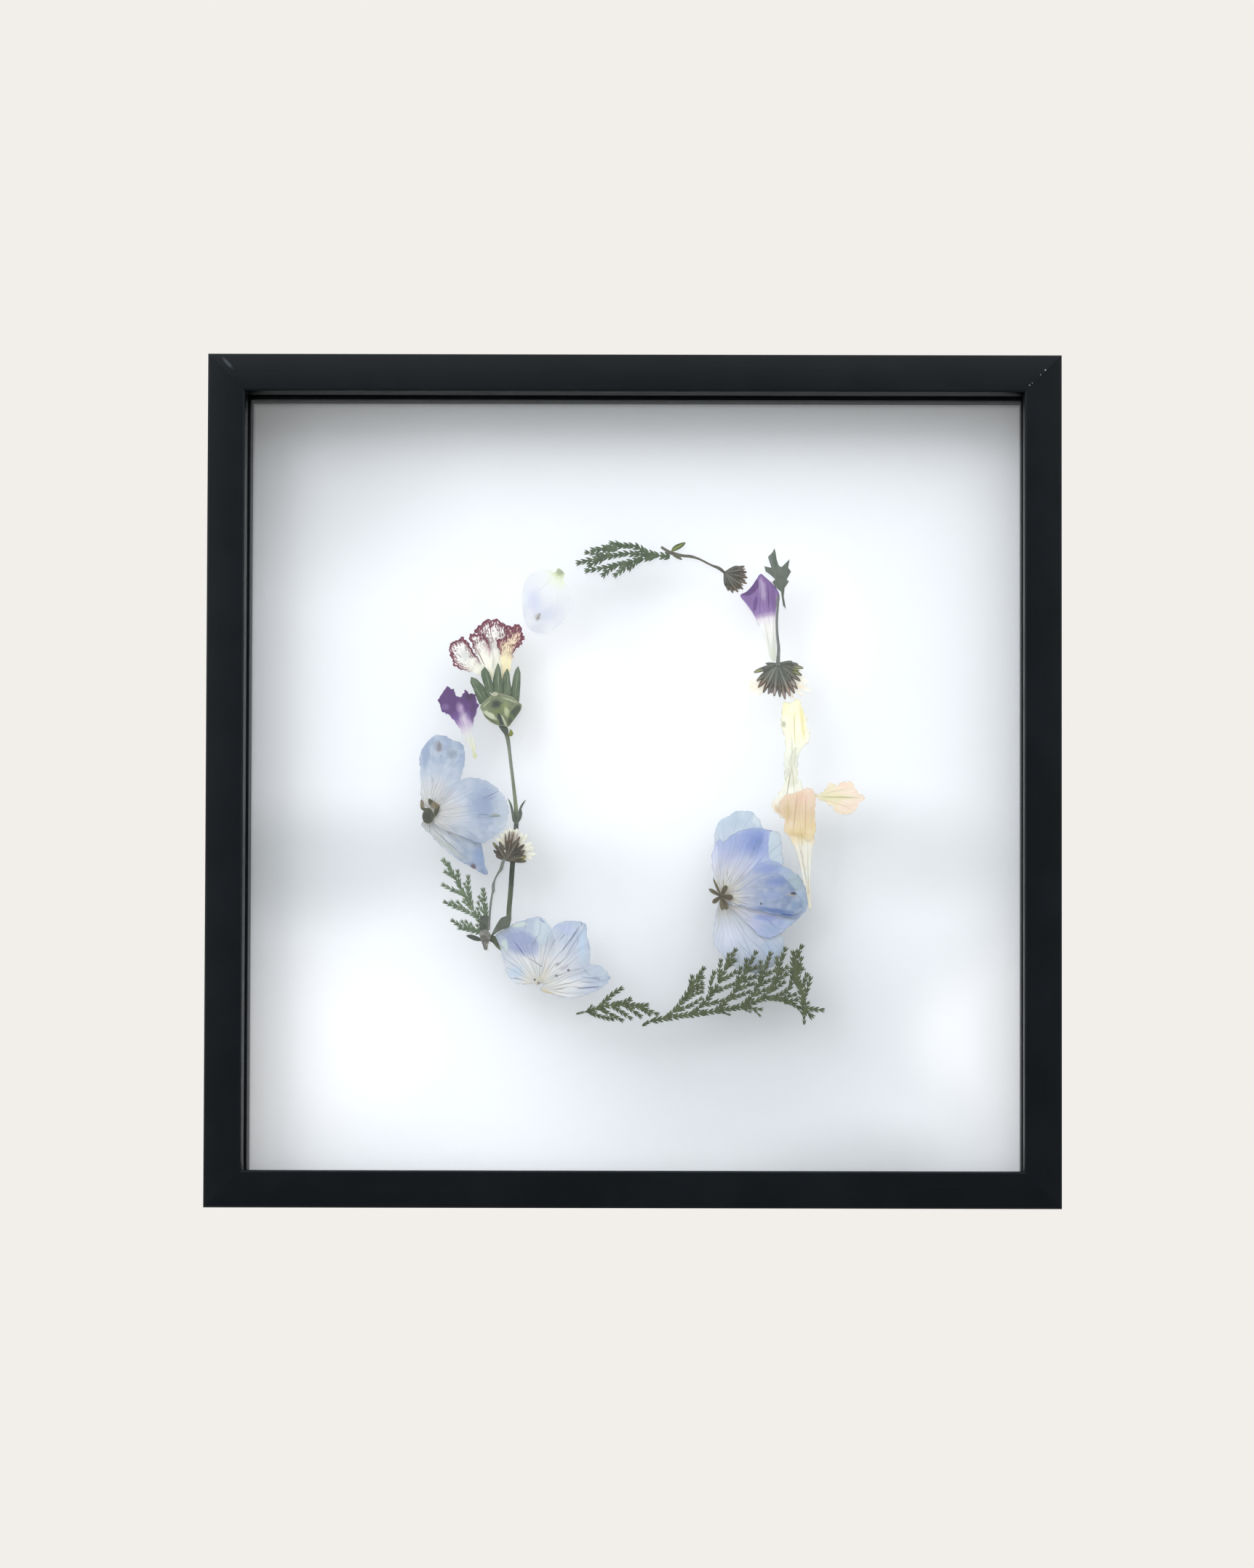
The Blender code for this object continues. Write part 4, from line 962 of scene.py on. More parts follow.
def lay_stem(node, stations):
    """A flattened stem through (x, y, width) stations, in the node's layer."""
    middle, half = layer_of(node)
    path = smooth_path(stations)
    bpy.ops.object.select_all(action="DESELECT")
    bpy.ops.curve.primitive_nurbs_path_add()
    curve = bpy.context.object.data
    curve.splines.clear()
    spline = curve.splines.new("POLY")
    spline.points.add(len(path) - 1)
    for point, (x, y, width) in zip(spline.points, path):
        across, up = on_glass((x, y))
        point.co = (across, 0, up, 1)
        point.radius = width * METRES_PER_PIXEL / 2
    curve.bevel_depth = 1.0
    curve.bevel_resolution = 4
    curve.use_fill_caps = True
    bpy.ops.object.convert(target="MESH")
    stem = bpy.context.object
    stem.name = node + "_pressed"
    widest = max(vert.co.y for vert in stem.data.vertices)
    flat = (half - STEM_PLAY) / widest / (1 + STEM_RIDGE)
    for vert in stem.data.vertices:
        lump = noise.noise((vert.co.x / MM, vert.co.y / STEM_RIDGE_PITCH, vert.co.z / MM))
        vert.co.y = middle + vert.co.y * flat * (1 + STEM_RIDGE * lump)
    rim = stem.data.attributes.new("rim", "FLOAT", "POINT")
    rim.data.foreach_set("value", np.full(len(stem.data.vertices), 0.5 * MM, dtype=np.float32))
    close_and_smooth(stem)
    return stem


# %% [markdown]
# ## Blades
#
# Bracts, daisy petals and the scales of the cedar are all small pointed blades with a fold down the
# middle. Each kind is modelled once, one unit long, from a grid that is narrowed to its outline,
# folded and given its thickness. Copies are then stretched from foot to tip, each with its own mesh.

# %% Helpers that model a blade and lay its copies
BLADE_DEPTHS = 3  # blades of a fan lie at so many depths,
BLADE_SPREAD = 0.16 * MM  # this far apart from the first to the last
FRONT_BLADE_WIDTH = 0.8  # width of a blade laid between two others, as a share of theirs,
FRONT_BLADE_LIFT = 0.3  # and how far it lies in front of them, as a share of the spread


def model_blade(name, rows, columns, fullest, foot, tip, fold, thick, blunt=0.8):
    """A blade one unit long and wide along X: fullest, foot and tip are shares of those."""
    bpy.ops.object.select_all(action="DESELECT")
    bpy.ops.mesh.primitive_grid_add(x_subdivisions=rows, y_subdivisions=columns, size=1)
    blade = bpy.context.object
    blade.name = name
    rim = blade.data.attributes.new("rim", "FLOAT", "POINT")
    for vert in blade.data.vertices:
        along, side = vert.co.x + 0.5, 2 * vert.co.y
        if along < fullest:
            width = foot + (1 - foot) * math.sin(math.pi / 2 * along / fullest)
        else:
            width = tip + (1 - tip) * math.cos(math.pi / 2 * (along - fullest) / (1 - fullest)) ** blunt
        rim.data[vert.index].value = (1 - abs(side)) * 0.5 * MM
        lift = math.sin(math.pi * (0.15 + 0.8 * along))
        vert.co = (along, -fold * (1 - abs(side)) * lift, side * width / 2)
    apply_modifier(blade, "SOLIDIFY", thickness=thick, offset=0.0)
    return blade


def lay_blades(node, master, placements):
    """Copies of a blade, each from a foot pixel to a tip pixel with a width in pixels and a depth."""
    middle = layer_of(node)[0]
    draw = random.Random(len(placements))
    copies = []
    for foot, tip, width, depth in placements:
        foot_x, foot_z = on_glass(foot)
        tip_x, tip_z = on_glass(tip)
        along = Vector((tip_x - foot_x, 0, tip_z - foot_z))
        way = along.normalized()
        wide = width * METRES_PER_PIXEL
        matrix = Matrix((
            (along.x, 0, -way.z * wide, foot_x),
            (0, 1, 0, middle + depth),
            (along.z, 0, way.x * wide, foot_z),
            (0, 0, 0, 1),
        ))
        copy = master.copy()
        copy.data = master.data.copy()
        copy.data.transform(matrix)
        tone = copy.data.attributes.new("tone", "FLOAT", "POINT")
        tone.data.foreach_set("value", np.full(len(copy.data.vertices), draw.random(), dtype=np.float32))
        scene.collection.objects.link(copy)
        copies.append(copy)
    return join_pieces(node + "_pressed", copies)


def fan_of_blades(middle, tips, width, between=0.0):
    """Placements from one middle to each tip, in a few depths so that they lie on each other.

    A tip may carry a width of its own. between: how long the blades in front are, laid between their
    neighbours, or 0 for none.
    """
    placements = []
    for index, (x, y, *own) in enumerate(tips):
        depth = ((index * 2) % BLADE_DEPTHS - (BLADE_DEPTHS - 1) / 2) * BLADE_SPREAD / (BLADE_DEPTHS - 1)
        placements.append((middle, (x, y), own[0] if own else width, depth))
    if between:
        for tip, following in zip(tips, tips[1:]):
            halfway = (Vector(tip[:2]) + Vector(following[:2])) / 2
            shorter = Vector(middle).lerp(halfway, between)
            lift = -FRONT_BLADE_LIFT * BLADE_SPREAD
            placements.append((middle, shorter, width * FRONT_BLADE_WIDTH, lift))
    return placements


# %% [markdown]
# ## Lilac petal
#
# One nearly white petal at the top left, with a yellow-green foot and a small brown spot. It is the
# thinnest of them all, so most of what is seen is the wall behind it. A single sheet with low ribs
# does it, and it shows the steps that every petal below repeats: outline, relief, finish.

# %% Lilac petal
LILAC_PETAL = trace(
    767, 781, 775, 788, 774, 797, 779, 806, 783, 816, 788, 829, 781, 842, 772, 855, 760, 866, 745, 871,
    731, 868, 722, 857, 718, 840, 717, 820, 720, 803, 728, 790, 740, 783, 753, 783, 762, 787,
)
grown = growth((770, 785), LILAC_PETAL)
lilac = press("lilac_petal", [smooth_loop(LILAC_PETAL)], ribs(grown, 9, 0.09 * MM, seed=1))
lilac_finish = pressed_finish(
    "petal_lilac_white", grown, 24 * MM,
    [(0.0, "#A9B46C"), (0.08, "#C6CF96"), (0.17, "#E4E9D2"), (0.3, "#E5E6E5"), (0.6, "#DADCE1"),
     (1.0, "#D2D5DB")],
    cover=0.68, streaks=(16, 0.03), veins=[(12, 0.1, "#CDD0DA", 0.4, 0.8, 1.3)], feather=0.12,
    clouds=(6 * MM, "#E6E8EA", 0.8), seed=1,
    spots=[
        (733, 826, 14, 22, 10, "#CBD0E0", 0.8, 0.95), (751, 845, 20, 14, 15, "#CCD0DC", 0.8, 0.95),
        (739, 849, 6, 7, -30, "#B4AC9B", 0.9, 1.0), stroke(737, 854, 743, 842, 4, "#857A62", 0.9),
        (739, 850, 2.4, 2.6, 0, "#75634A", 0.95), (768, 787, 4.5, 6, 30, "#9AA65E", 0.85, 0.9),
        stroke(765, 783, 776, 790, 2.4, "#8A9460", 0.8),
    ],
)
settle(lilac, lilac_finish, "lilac_petal", "lilac_petal")

# %% [markdown]
# ## Cedar
#
# A cedar sprig is a flat spray of branchlets, and each branchlet is clothed in small overlapping
# scales: a pair at its sides, whose tips make its saw-toothed edge, and one on its face. A flat strip
# with a drawn pattern would have a smooth edge, so the scales are real: one scale is modelled and
# copied along every branch.

# %% Cedar scale and the spray
CEDAR_PITCH = 6.8  # pixels from one pair of scales to the next
SCALE_OVERLAP = 1.2  # length of a scale, as a share of the way to the next one
SIDE_SCALE_WIDTH = 0.46  # widths of the scales, as shares of the branch's
FACE_SCALE_WIDTH = 0.56
SIDE_SCALE_OUT = 0.1  # a side scale is rooted this far from the middle, as such a share
SIDE_SCALE_BACK = 0.02 * MM  # depths at which they lie in the spray
FACE_SCALE_FRONT = 0.05 * MM

scale_leaf = model_blade("cedar_scale", 4, 2, 0.42, 0.75, 0.16, 0.07 * MM, 0.08 * MM)


def spray(branches, seed):
    """Placements of all the scales of a sprig."""
    draw = random.Random(seed)
    placements = []
    for width, *points in branches:
        path = smooth_path(trace(*points), steps=12)
        lengths = [0.0]
        for a, b in zip(path, path[1:]):
            lengths.append(lengths[-1] + float(np.linalg.norm(b - a)))
        pitch = CEDAR_PITCH * (0.75 + 0.25 * width / 6)
        count = max(round(lengths[-1] / pitch), 2)
        for step in range(count):
            at = lengths[-1] * step / count
            index = min(max(i for i, length in enumerate(lengths) if length <= at), len(path) - 2)
            place = Vector(path[index])
            ahead = Vector(path[index + 1] - path[index]).normalized()
            wide = width * (0.8 - 0.2 * (step / count) ** 3) * draw.uniform(0.92, 1.1)
            run = lengths[-1] / count
            for side in (-1, 1):
                lean = side * math.asin(min(0.5 * wide / run, 0.6)) * draw.uniform(0.85, 1.2)
                way = Vector((
                    ahead.x * math.cos(lean) - ahead.y * math.sin(lean),
                    ahead.x * math.sin(lean) + ahead.y * math.cos(lean),
                ))
                foot = place + Vector((-ahead.y, ahead.x)) * side * wide * SIDE_SCALE_OUT
                tip = foot + way * run * SCALE_OVERLAP
                placements.append((foot, tip, wide * SIDE_SCALE_WIDTH, SIDE_SCALE_BACK))
            tip = place + ahead * run * SCALE_OVERLAP
            placements.append((place, tip, wide * FACE_SCALE_WIDTH, -FACE_SCALE_FRONT))
    return placements


def cedar_finish(name, main, grey, brown, seed):
    """Dried scale leaves: a dull green with greyer and darker stretches and pale scale edges."""
    return pressed_finish(
        name, (0.0, 0.0, math.pi / 2), 400 * MM, [(0.0, main), (1.0, main)], streaks=(60, 0.2),
        clouds=(3 * MM, grey, 0.8), rims=[(0.2 * MM, brown, 0.7)], blades=0.2, rough=0.75, seed=seed,
    )


CEDAR_TOP = [
    (9, 920, 765, 902, 763, 888, 759, 872, 751, 852, 750, 834, 753, 810, 757),
    (8, 900, 765, 880, 762, 860, 761, 838, 765, 815, 769, 790, 775),
    (8, 898, 766, 880, 769, 860, 774, 832, 780, 803, 785), (7, 842, 764, 822, 762, 803, 759),
    (7, 828, 768, 816, 774, 806, 779), (7, 846, 776, 836, 784, 826, 793), (7, 868, 772, 856, 782, 842, 793),
    (7, 848, 755, 836, 755, 826, 757), (6, 858, 751, 846, 747, 836, 747), (6, 880, 768, 870, 777, 862, 784),
]
grey_cedar = cedar_finish("dried_cedar_grey", "#4F6148", "#66775C", "#3A4634", 2)
cedar_top = lay_blades("cedar_top", scale_leaf, spray(CEDAR_TOP, 11))
settle(cedar_top, grey_cedar, "cedar_scale", "cedar_top")

# %% [markdown]
# ## Closed bud and its stem
#
# A thin brown stem carries a closed flower head that has dried to folded brown bracts. Beside it are
# one leaf on the stem and a loose one.

# %% Bud stem and leaves


def small_leaf(node, outline, relief, swell, swell_reach):
    """A little sheet with a smooth edge that is thicker in its middle."""
    return press(
        node, [smooth_loop(outline)], relief, cell=FINE_CELL, swell=swell * MM,
        swell_reach=swell_reach * MM,
    )


BUD_LEAF = trace(922, 757, 925, 751, 932, 747, 941, 745, 940, 749, 934, 754, 926, 757.5)
BUD_STEM_LEAF = trace(921, 759, 928, 760, 934, 764, 937, 769, 930, 767, 924, 763)
BUD_STEM = [
    (908, 751, 3.5), (914, 755, 4), (921, 759, 5), (937, 763, 4), (948, 764, 4.2),
    (960, 767.5, 3), (977, 776, 3), (988, 780.5, 4.5), (996, 787, 3.5),
]

grown = growth((908, 751), BUD_STEM_LEAF)
twig = pressed_finish(
    "dried_twig", grown, 30 * MM, [(0.0, "#66665A"), (0.5, "#5B5B52"), (1.0, "#565449")],
    streaks=(40, 0.3), clouds=(1.5 * MM, "#77756A", 0.6), rough=0.7, seed=3,
    spots=[(929, 764, 6, 2, -20, "#5F6A4C", 0.8)],
)
leaf = small_leaf("bud_stem", BUD_STEM_LEAF, ribs(grown, 5, 0.03 * MM), 0.05, 0.6)
bud_stem = join_pieces("bud_stem_pressed", [lay_stem("bud_stem", BUD_STEM), leaf])
close_and_smooth(bud_stem)
settle(bud_stem, twig, "dried_stem", "bud_stem")

grown = growth((922, 757), BUD_LEAF)
olive_leaf = pressed_finish(
    "dried_leaf_olive", grown, 6 * MM, [(0.0, "#66723F"), (1.0, "#4D5A38")], streaks=(9, 0.2), rough=0.6,
    spots=[stroke(923, 756.5, 940, 746.5, 2.2, "#9CA466", 0.85, 0.4)], seed=4,
)
bud_leaf = small_leaf("bud_leaf", BUD_LEAF, ribs(grown, 5, 0.03 * MM), 0.06, 0.7)
settle(bud_leaf, olive_leaf, "dried_leaf", "bud_leaf")

# %% [markdown]
# ### Closed bud
#
# Folded bracts that point out and down from the stem's end. An outline with painted lines would look
# flat, so it is a fan of pointed blades, with shorter ones in front, which gives a ragged rim and gaps.

# %% Closed bud
BUD_BASE = (995, 786)
BUD_TIPS = [
    (1014, 777), (1019, 777, 4), (1023, 777), (1024, 781, 4), (1026, 785), (1025, 789, 4), (1027, 793),
    (1024, 797, 4), (1026, 801), (1021, 804, 4), (1021, 809), (1016, 809, 4), (1014, 813), (1009, 811, 4),
    (1007, 814), (1003, 810, 4), (1001, 811), (997, 805, 4),
]
bract = model_blade("bract", 8, 4, 0.7, 0.4, 0.35, 0.06 * MM, 0.06 * MM)
bud = lay_blades("closed_bud", bract, fan_of_blades(BUD_BASE, BUD_TIPS, 5, between=0.72))
close_and_smooth(bud)
bud_finish = pressed_finish(
    "dried_bud_brown", growth(BUD_BASE, BUD_TIPS), 9 * MM,
    [(0.0, "#6A6F68"), (0.45, "#666860"), (0.8, "#6C6355"), (1.0, "#8A765B")], streaks=(16, 0.25),
    clouds=(1.2 * MM, "#55534A", 0.5), rims=[(0.36 * MM, "#24231E", 1.0)], blades=0.5, rough=0.75, seed=5,
)
settle(bud, bud_finish, "bract_brown", "closed_bud")

# %% [markdown]
# ## Lobed leaf
#
# A small dark leaf with pointed lobes, which lies half over the purple floret. It is cut from one
# outline with straight sides and sharp tips, because a smoothed outline would lose the lobes.

# %% Lobed leaf
LOBED_LEAF = trace(
    1064, 753, 1066, 760, 1067, 768, 1070, 777, 1074, 779, 1079, 774, 1085, 768, 1083, 780, 1087, 785,
    1081, 796, 1084, 799, 1078, 808, 1077, 820, 1080, 837, 1076, 832, 1073, 813, 1066, 807, 1061, 800,
    1065, 796, 1060, 791, 1052, 785, 1050, 778, 1060, 780, 1055, 765, 1061, 759,
)
grown = growth((1079, 837), LOBED_LEAF)
lobed = press(
    "lobed_leaf", [sharp_loop(LOBED_LEAF)], ribs(grown, 8, 0.06 * MM, wave=2.5 * MM), cell=FINE_CELL,
    swell=0.05 * MM, swell_reach=0.8 * MM,
)
lobed_finish = pressed_finish(
    "dried_leaf_grey", grown, 22 * MM, [(0.0, "#5E675D"), (0.5, "#677168"), (1.0, "#707A71")],
    streaks=(16, 0.2), veins=[(6, 0.16, "#8B9587", 0.4, 0.9, 1.2)], clouds=(2 * MM, "#555E54", 0.6),
    rims=[(0.3 * MM, "#59625A", 0.5)], rough=0.65, seed=6,
)
settle(lobed, lobed_finish, "dried_leaf", "lobed_leaf")

# %% [markdown]
# ### Purple floret
#
# A narrow tube with a folded mouth. Its lobes lie over one another, dark where two or three meet and
# pale where there is one. Mouth and tube are two sheets, and soft lines draw the bands of the folds.

# %% Purple floret
PURPLE_BELL_MOUTH = trace(
    1045, 788, 1052, 793, 1060, 800, 1067, 808, 1071, 817, 1071, 825, 1067, 832, 1066, 842, 1066, 850,
    1059, 846, 1055, 850, 1050, 846, 1046, 853, 1043, 860, 1039, 851, 1033, 840, 1025, 829, 1017, 818,
    1025, 813, 1033, 805, 1039, 796,
)
PURPLE_BELL_TUBE = trace(
    1047, 845, 1065, 845, 1067, 865, 1067, 885, 1066, 907, 1060, 907, 1055, 892, 1049, 870,
)
grown = growth((1063, 908), PURPLE_BELL_MOUTH)
purple_floret = press(
    "purple_bell", [smooth_loop(PURPLE_BELL_MOUTH), smooth_loop(PURPLE_BELL_TUBE)],
    ribs(grown, 14, 0.08 * MM, seed=2), stack=0.06 * MM, cell=0.5 * MM,
)
purple_finish = pressed_finish(
    "petal_purple", grown, 30 * MM,
    [(0.0, "#EAF0DE"), (0.2, "#F7FAF0"), (0.42, "#FFFFFA"), (0.515, "#F7F2F8"), (0.555, "#C6B3D4"),
     (0.6, "#9D83B6"), (0.76, "#8D72A8"), (1.0, "#886CA4")],
    streaks=(26, 0.14), veins=[(13, 0.12, "#6C5388", 0.35, 0.7, 1.4)], feather=0.05, seed=7,
    spots=[
        stroke(1061, 800, 1063, 842, 14, "#80639C", 0.75), (1031, 807, 16, 9, 42, "#65497F", 0.95, 0.2),
        stroke(1042, 796, 1020, 817, 2, "#4C3068", 0.8),
        stroke(1040, 816, 1036, 842, 7, "#6B4F8B", 0.85, 0.4),
        stroke(1045, 791, 1050, 828, 11, "#B9A8C9", 0.85, 0.5),
        stroke(1055, 797, 1057, 845, 2, "#5F417B", 0.85), stroke(1045, 800, 1044, 850, 1.4, "#684C84", 0.7),
        stroke(1066, 812, 1069, 840, 3, "#B49FC4", 0.6), stroke(1061, 876, 1063, 905, 7, "#E3EBD8", 0.6),
        stroke(1051, 850, 1059, 903, 1.8, "#DADDCC", 0.7),
        stroke(1062, 851, 1064, 900, 1.4, "#D4D8C6", 0.8),
    ],
)
settle(purple_floret, purple_finish, "purple_petal", "purple_bell")

# %% [markdown]
# ## Daisy heads
#
# Two daisies hang in the wreath, seen from behind: a thin grey stem, a fan of dark bracts, and behind
# it what is left of the cream petals. Bracts and petals are copies of two blades.

# %% Upper daisy
TOP_DAISY_STEM = [
    (1069.5, 819, 4), (1068.5, 835, 3.5), (1067.5, 853, 3.4), (1068, 870, 3.4),
    (1070, 890, 4.2), (1069.5, 903, 5), (1069, 915, 6.5),
]
grey_stem = pressed_finish(
    "dried_stem_grey", growth((1070, 819), [(1070, 915)]), 30 * MM, [(0.0, "#797D7A"), (1.0, "#6D716B")],
    streaks=(60, 0.22), clouds=(1.5 * MM, "#8B8E8A", 0.6), rough=0.7, seed=8,
)
daisy_stem = lay_stem("top_daisy_stem", TOP_DAISY_STEM)
settle(daisy_stem, grey_stem, "dried_stem", "top_daisy_stem")

TOP_BRACT_BASE = (1069, 912)
TOP_BRACT_TIPS = [
    (1089, 909, 4), (1097, 913), (1104, 918), (1099, 922, 4), (1102, 928), (1096, 931, 4), (1100, 936),
    (1094, 940, 4), (1096, 947), (1089, 946, 4), (1092, 953), (1085, 950, 4), (1086, 957), (1080, 953, 4),
    (1079, 961), (1073, 953, 4), (1072, 958), (1067, 951, 4), (1064, 957), (1060, 953, 6), (1056, 954),
    (1052, 946, 4), (1049, 952), (1046, 943, 4), (1042, 945), (1045, 937, 4), (1040, 936), (1044, 930, 4),
    (1036, 924), (1045, 919, 4), (1052, 912, 3.5),
]
daisy_bracts = lay_blades(
    "top_daisy_bracts", bract, fan_of_blades(TOP_BRACT_BASE, TOP_BRACT_TIPS, 6, between=0.72),
)
close_and_smooth(daisy_bracts)
bract_finish = pressed_finish(
    "dried_bract", growth(TOP_BRACT_BASE, TOP_BRACT_TIPS), 13.5 * MM,
    [(0.0, "#686E66"), (0.4, "#73776F"), (0.7, "#7D7468"), (1.0, "#96857A")], streaks=(16, 0.25),
    clouds=(2 * MM, "#83867A", 0.5), rims=[(0.36 * MM, "#2A2B26", 1.0)], blades=0.5, rough=0.75, seed=9,
    spots=[
        (1048, 942, 9, 8, 20, "#7E664F", 0.8), (1062, 950, 9, 5, 10, "#A89E98", 0.9),
        (1076, 955, 5, 6, 10, "#A3938B", 0.8), (1088, 947, 8, 7, 40, "#A38C7C", 0.85),
        (1091, 939, 7, 4, 0, "#BBB1A8", 0.85), (1096, 922, 9, 7, 10, "#A3A873", 0.85),
        (1043, 924, 8, 5, 0, "#999E68", 0.85), (1072, 928, 11, 12, 0, "#5F655F", 0.6),
    ],
)
settle(daisy_bracts, bract_finish, "bract_brown", "top_daisy_bracts")

TOP_RAY_WIDTH = 6  # pixels
TOP_DAISY_TIPS = trace(
    1024, 938, 1028, 944, 1026, 949, 1033, 951, 1039, 956, 1107, 931, 1113, 938, 1108, 945, 1115, 950,
    1104, 955, 1092, 960,
)
TOP_DAISY_BASE = (1069, 930)
ray = model_blade("ray_petal", 10, 4, 0.7, 0.5, 0.35, 0.08 * MM, 0.07 * MM, blunt=0.5)
rays = lay_blades("top_daisy_petals", ray, fan_of_blades(TOP_DAISY_BASE, TOP_DAISY_TIPS, TOP_RAY_WIDTH))
close_and_smooth(rays)
ray_finish = pressed_finish(
    "petal_daisy_cream", growth(TOP_DAISY_BASE, TOP_DAISY_TIPS), 14 * MM,
    [(0.0, "#E6E1D2"), (1.0, "#F3EFE4")], cover=0.4, streaks=(30, 0.1), clouds=(1.6 * MM, "#E3DCCB", 0.5),
    seed=10,
)
settle(rays, ray_finish, "cream_petal", "top_daisy_petals")

# %% [markdown]
# ## Carnation
#
# A picotee carnation, pressed from the side: cream petals with a thin burgundy edge, green sepals
# with long points, a fat cup below them, and a jointed stem with two narrow leaves. The burgundy is
# drawn by the rim attribute, with a width that changes with the streaks, as the real edge does.

# %% Helper that adds creases to a relief


def creased(relief, lines, width=0.5 * MM):
    """Adds ridges along (x0, y0, x1, y1, height) lines to a relief."""
    ridges = []
    for x0, y0, x1, y1, height in lines:
        ridges.append((Vector(on_glass((x0, y0))), Vector(on_glass((x1, y1))), height))

    def with_creases(x, z):
        here = Vector((x, z))
        rise = relief(x, z)
        for start, end, height in ridges:
            side = end - start
            share = min(max((here - start).dot(side) / side.length_squared, 0), 1)
            away = (here - start - share * side).length
            rise -= height * math.exp(-((away / width) ** 2))
        return rise

    return with_creases


# %% [markdown]
# ### Carnation petals
#
# Four petals are in sight, each with a toothed edge and soft creases. Each is a sheet with its own
# outline, tints and creases. One loop makes them, so that they share the coloured edge.

# %% Carnation petals
CARNATION_LEFT = trace(
    616, 888, 622, 882, 629, 878, 635, 875, 640, 881, 645, 888, 651, 897, 658, 908, 666, 920, 672, 934,
    664, 928, 655, 926, 645, 923, 635, 920, 625, 916, 621, 908, 618, 900,
)
CARNATION_FRONT = trace(
    644, 873, 650, 871, 657, 872, 664, 876, 669, 882, 673, 890, 675, 902, 677, 917, 680, 936, 672, 930,
    665, 917, 658, 905, 652, 894, 647, 884,
)
CARNATION_TOP = trace(
    651, 868, 655, 862, 662, 856, 668, 850, 674, 851, 681, 850, 688, 853, 694, 858, 698, 864, 698, 878,
    694, 893, 690, 908, 687, 924, 684, 938, 679, 924, 676, 908, 673, 894, 668, 882, 660, 874,
)
CARNATION_RIGHT = trace(
    697, 861, 704, 860, 711, 859, 716, 863, 718, 870, 720, 876, 716, 884, 710, 892, 704, 901, 702, 913,
    699, 926, 692, 939, 688, 926, 688, 910, 687, 897, 683, 888, 681, 879, 688, 879, 694, 875,
)
CARNATION_FOOT = (682, 955)
WHITE_TINTS = [(0.0, "#D9DAB4"), (0.2, "#F4F3D2"), (0.4, "#FFFFEE"), (0.7, "#FFFFFA"), (1.0, "#FBF6F4")]
CREAM_TINTS = [
    (0.0, "#DFD4A2"), (0.2, "#F3E6B4"), (0.45, "#FFF6CC"), (0.6, "#FBECC6"), (0.75, "#F4DFC4"),
    (1.0, "#E6C3B8"),
]
CARNATION_PETALS = {
    "front": (CARNATION_FRONT, WHITE_TINTS, 0.54, 3.6, [(653, 892, 667, 918, 0.06 * MM)], [
        stroke(653, 889, 667, 918, 1.8, "#948678", 0.9, 0.4), stroke(671, 884, 673, 906, 4, "#C9A0A4", 0.7),
        (668, 893, 5, 12, 20, "#F1E4DA", 0.6),
    ]),
    "right": (CARNATION_RIGHT, CREAM_TINTS, 0.48, 4.0, [(700, 880, 692, 935, 0.07 * MM)], [
        stroke(683, 880, 688, 900, 6, "#C48F82", 0.9, 0.3),
        stroke(681, 880, 686, 898, 2, "#763A48", 0.9, 0.3), (706, 868, 8, 6, 10, "#6B3344", 0.95, 0.8),
        stroke(707, 878, 700, 900, 3, "#FBE9BE", 0.8), stroke(713, 876, 704, 898, 3, "#D79C93", 0.7),
    ]),
    "left": (CARNATION_LEFT, WHITE_TINTS, 0.42, 3.0, [(640, 880, 652, 898, 0.06 * MM)], [
        (638, 900, 11, 9, -40, "#E2E5E1", 0.9, 0.9), (640, 882, 6, 5, -50, "#7A3A4C", 0.85, 0.5),
        stroke(640, 880, 653, 899, 3, "#7A4250", 0.9, 0.3),
        stroke(627, 898, 634, 904, 1.4, "#8A5564", 0.8, 0.4), (619, 899, 3, 9, 10, "#DDA9B6", 0.6),
    ]),
    "top": (CARNATION_TOP, WHITE_TINTS, 0.57, 5.0, [(672, 865, 676, 890, 0.06 * MM)], [
        stroke(671, 853, 674, 868, 3, "#7A3A4C", 0.8, 0.5),
        stroke(673, 866, 676, 884, 3, "#C6B0AA", 0.7, 0.6), (685, 872, 7, 8, 0, "#E2E0DD", 0.85, 0.9),
        stroke(688, 862, 685, 915, 1.6, "#E6DFD2", 0.7, 0.5),
    ]),
}
for seed, (which, petal_parts) in enumerate(CARNATION_PETALS.items(), start=20):
    outline, tints, edge_from, speckled, creases, spots = petal_parts
    node = "carnation_petal_" + which
    grown = growth(CARNATION_FOOT, outline)
    relief = creased(ribs(grown, 16, 0.08 * MM, wave=3 * MM, seed=seed), creases)
    toothed = nicked(smooth_loop(outline), 3.0, 2.6, seed)
    petal = press(node, [toothed], relief, cell=FINE_CELL, thick=0.1 * MM)
    picotee = pressed_finish(
        "petal_picotee_" + which, grown, 28 * MM, tints, streaks=(28, 0.02), feather=0.08,
        dashes=(64, 1.6 * MM, speckled * MM, "#6E2F44", 0.95),
        rims=[(1.6 * MM, "#D9AEB9", 0.8), (0.6 * MM, "#5E2338", 2.0)], edge_from=edge_from, spots=spots,
        seed=seed,
    )
    settle(petal, picotee, "carnation_petal", node)

# %% [markdown]
# ### Sepals and cup
#
# The calyx: five long pointed sepals on a fat olive cup, with a bract and a tiny side bud below. The
# sepals are one piece with sharp tips, stacked a little so that each shows its edge.

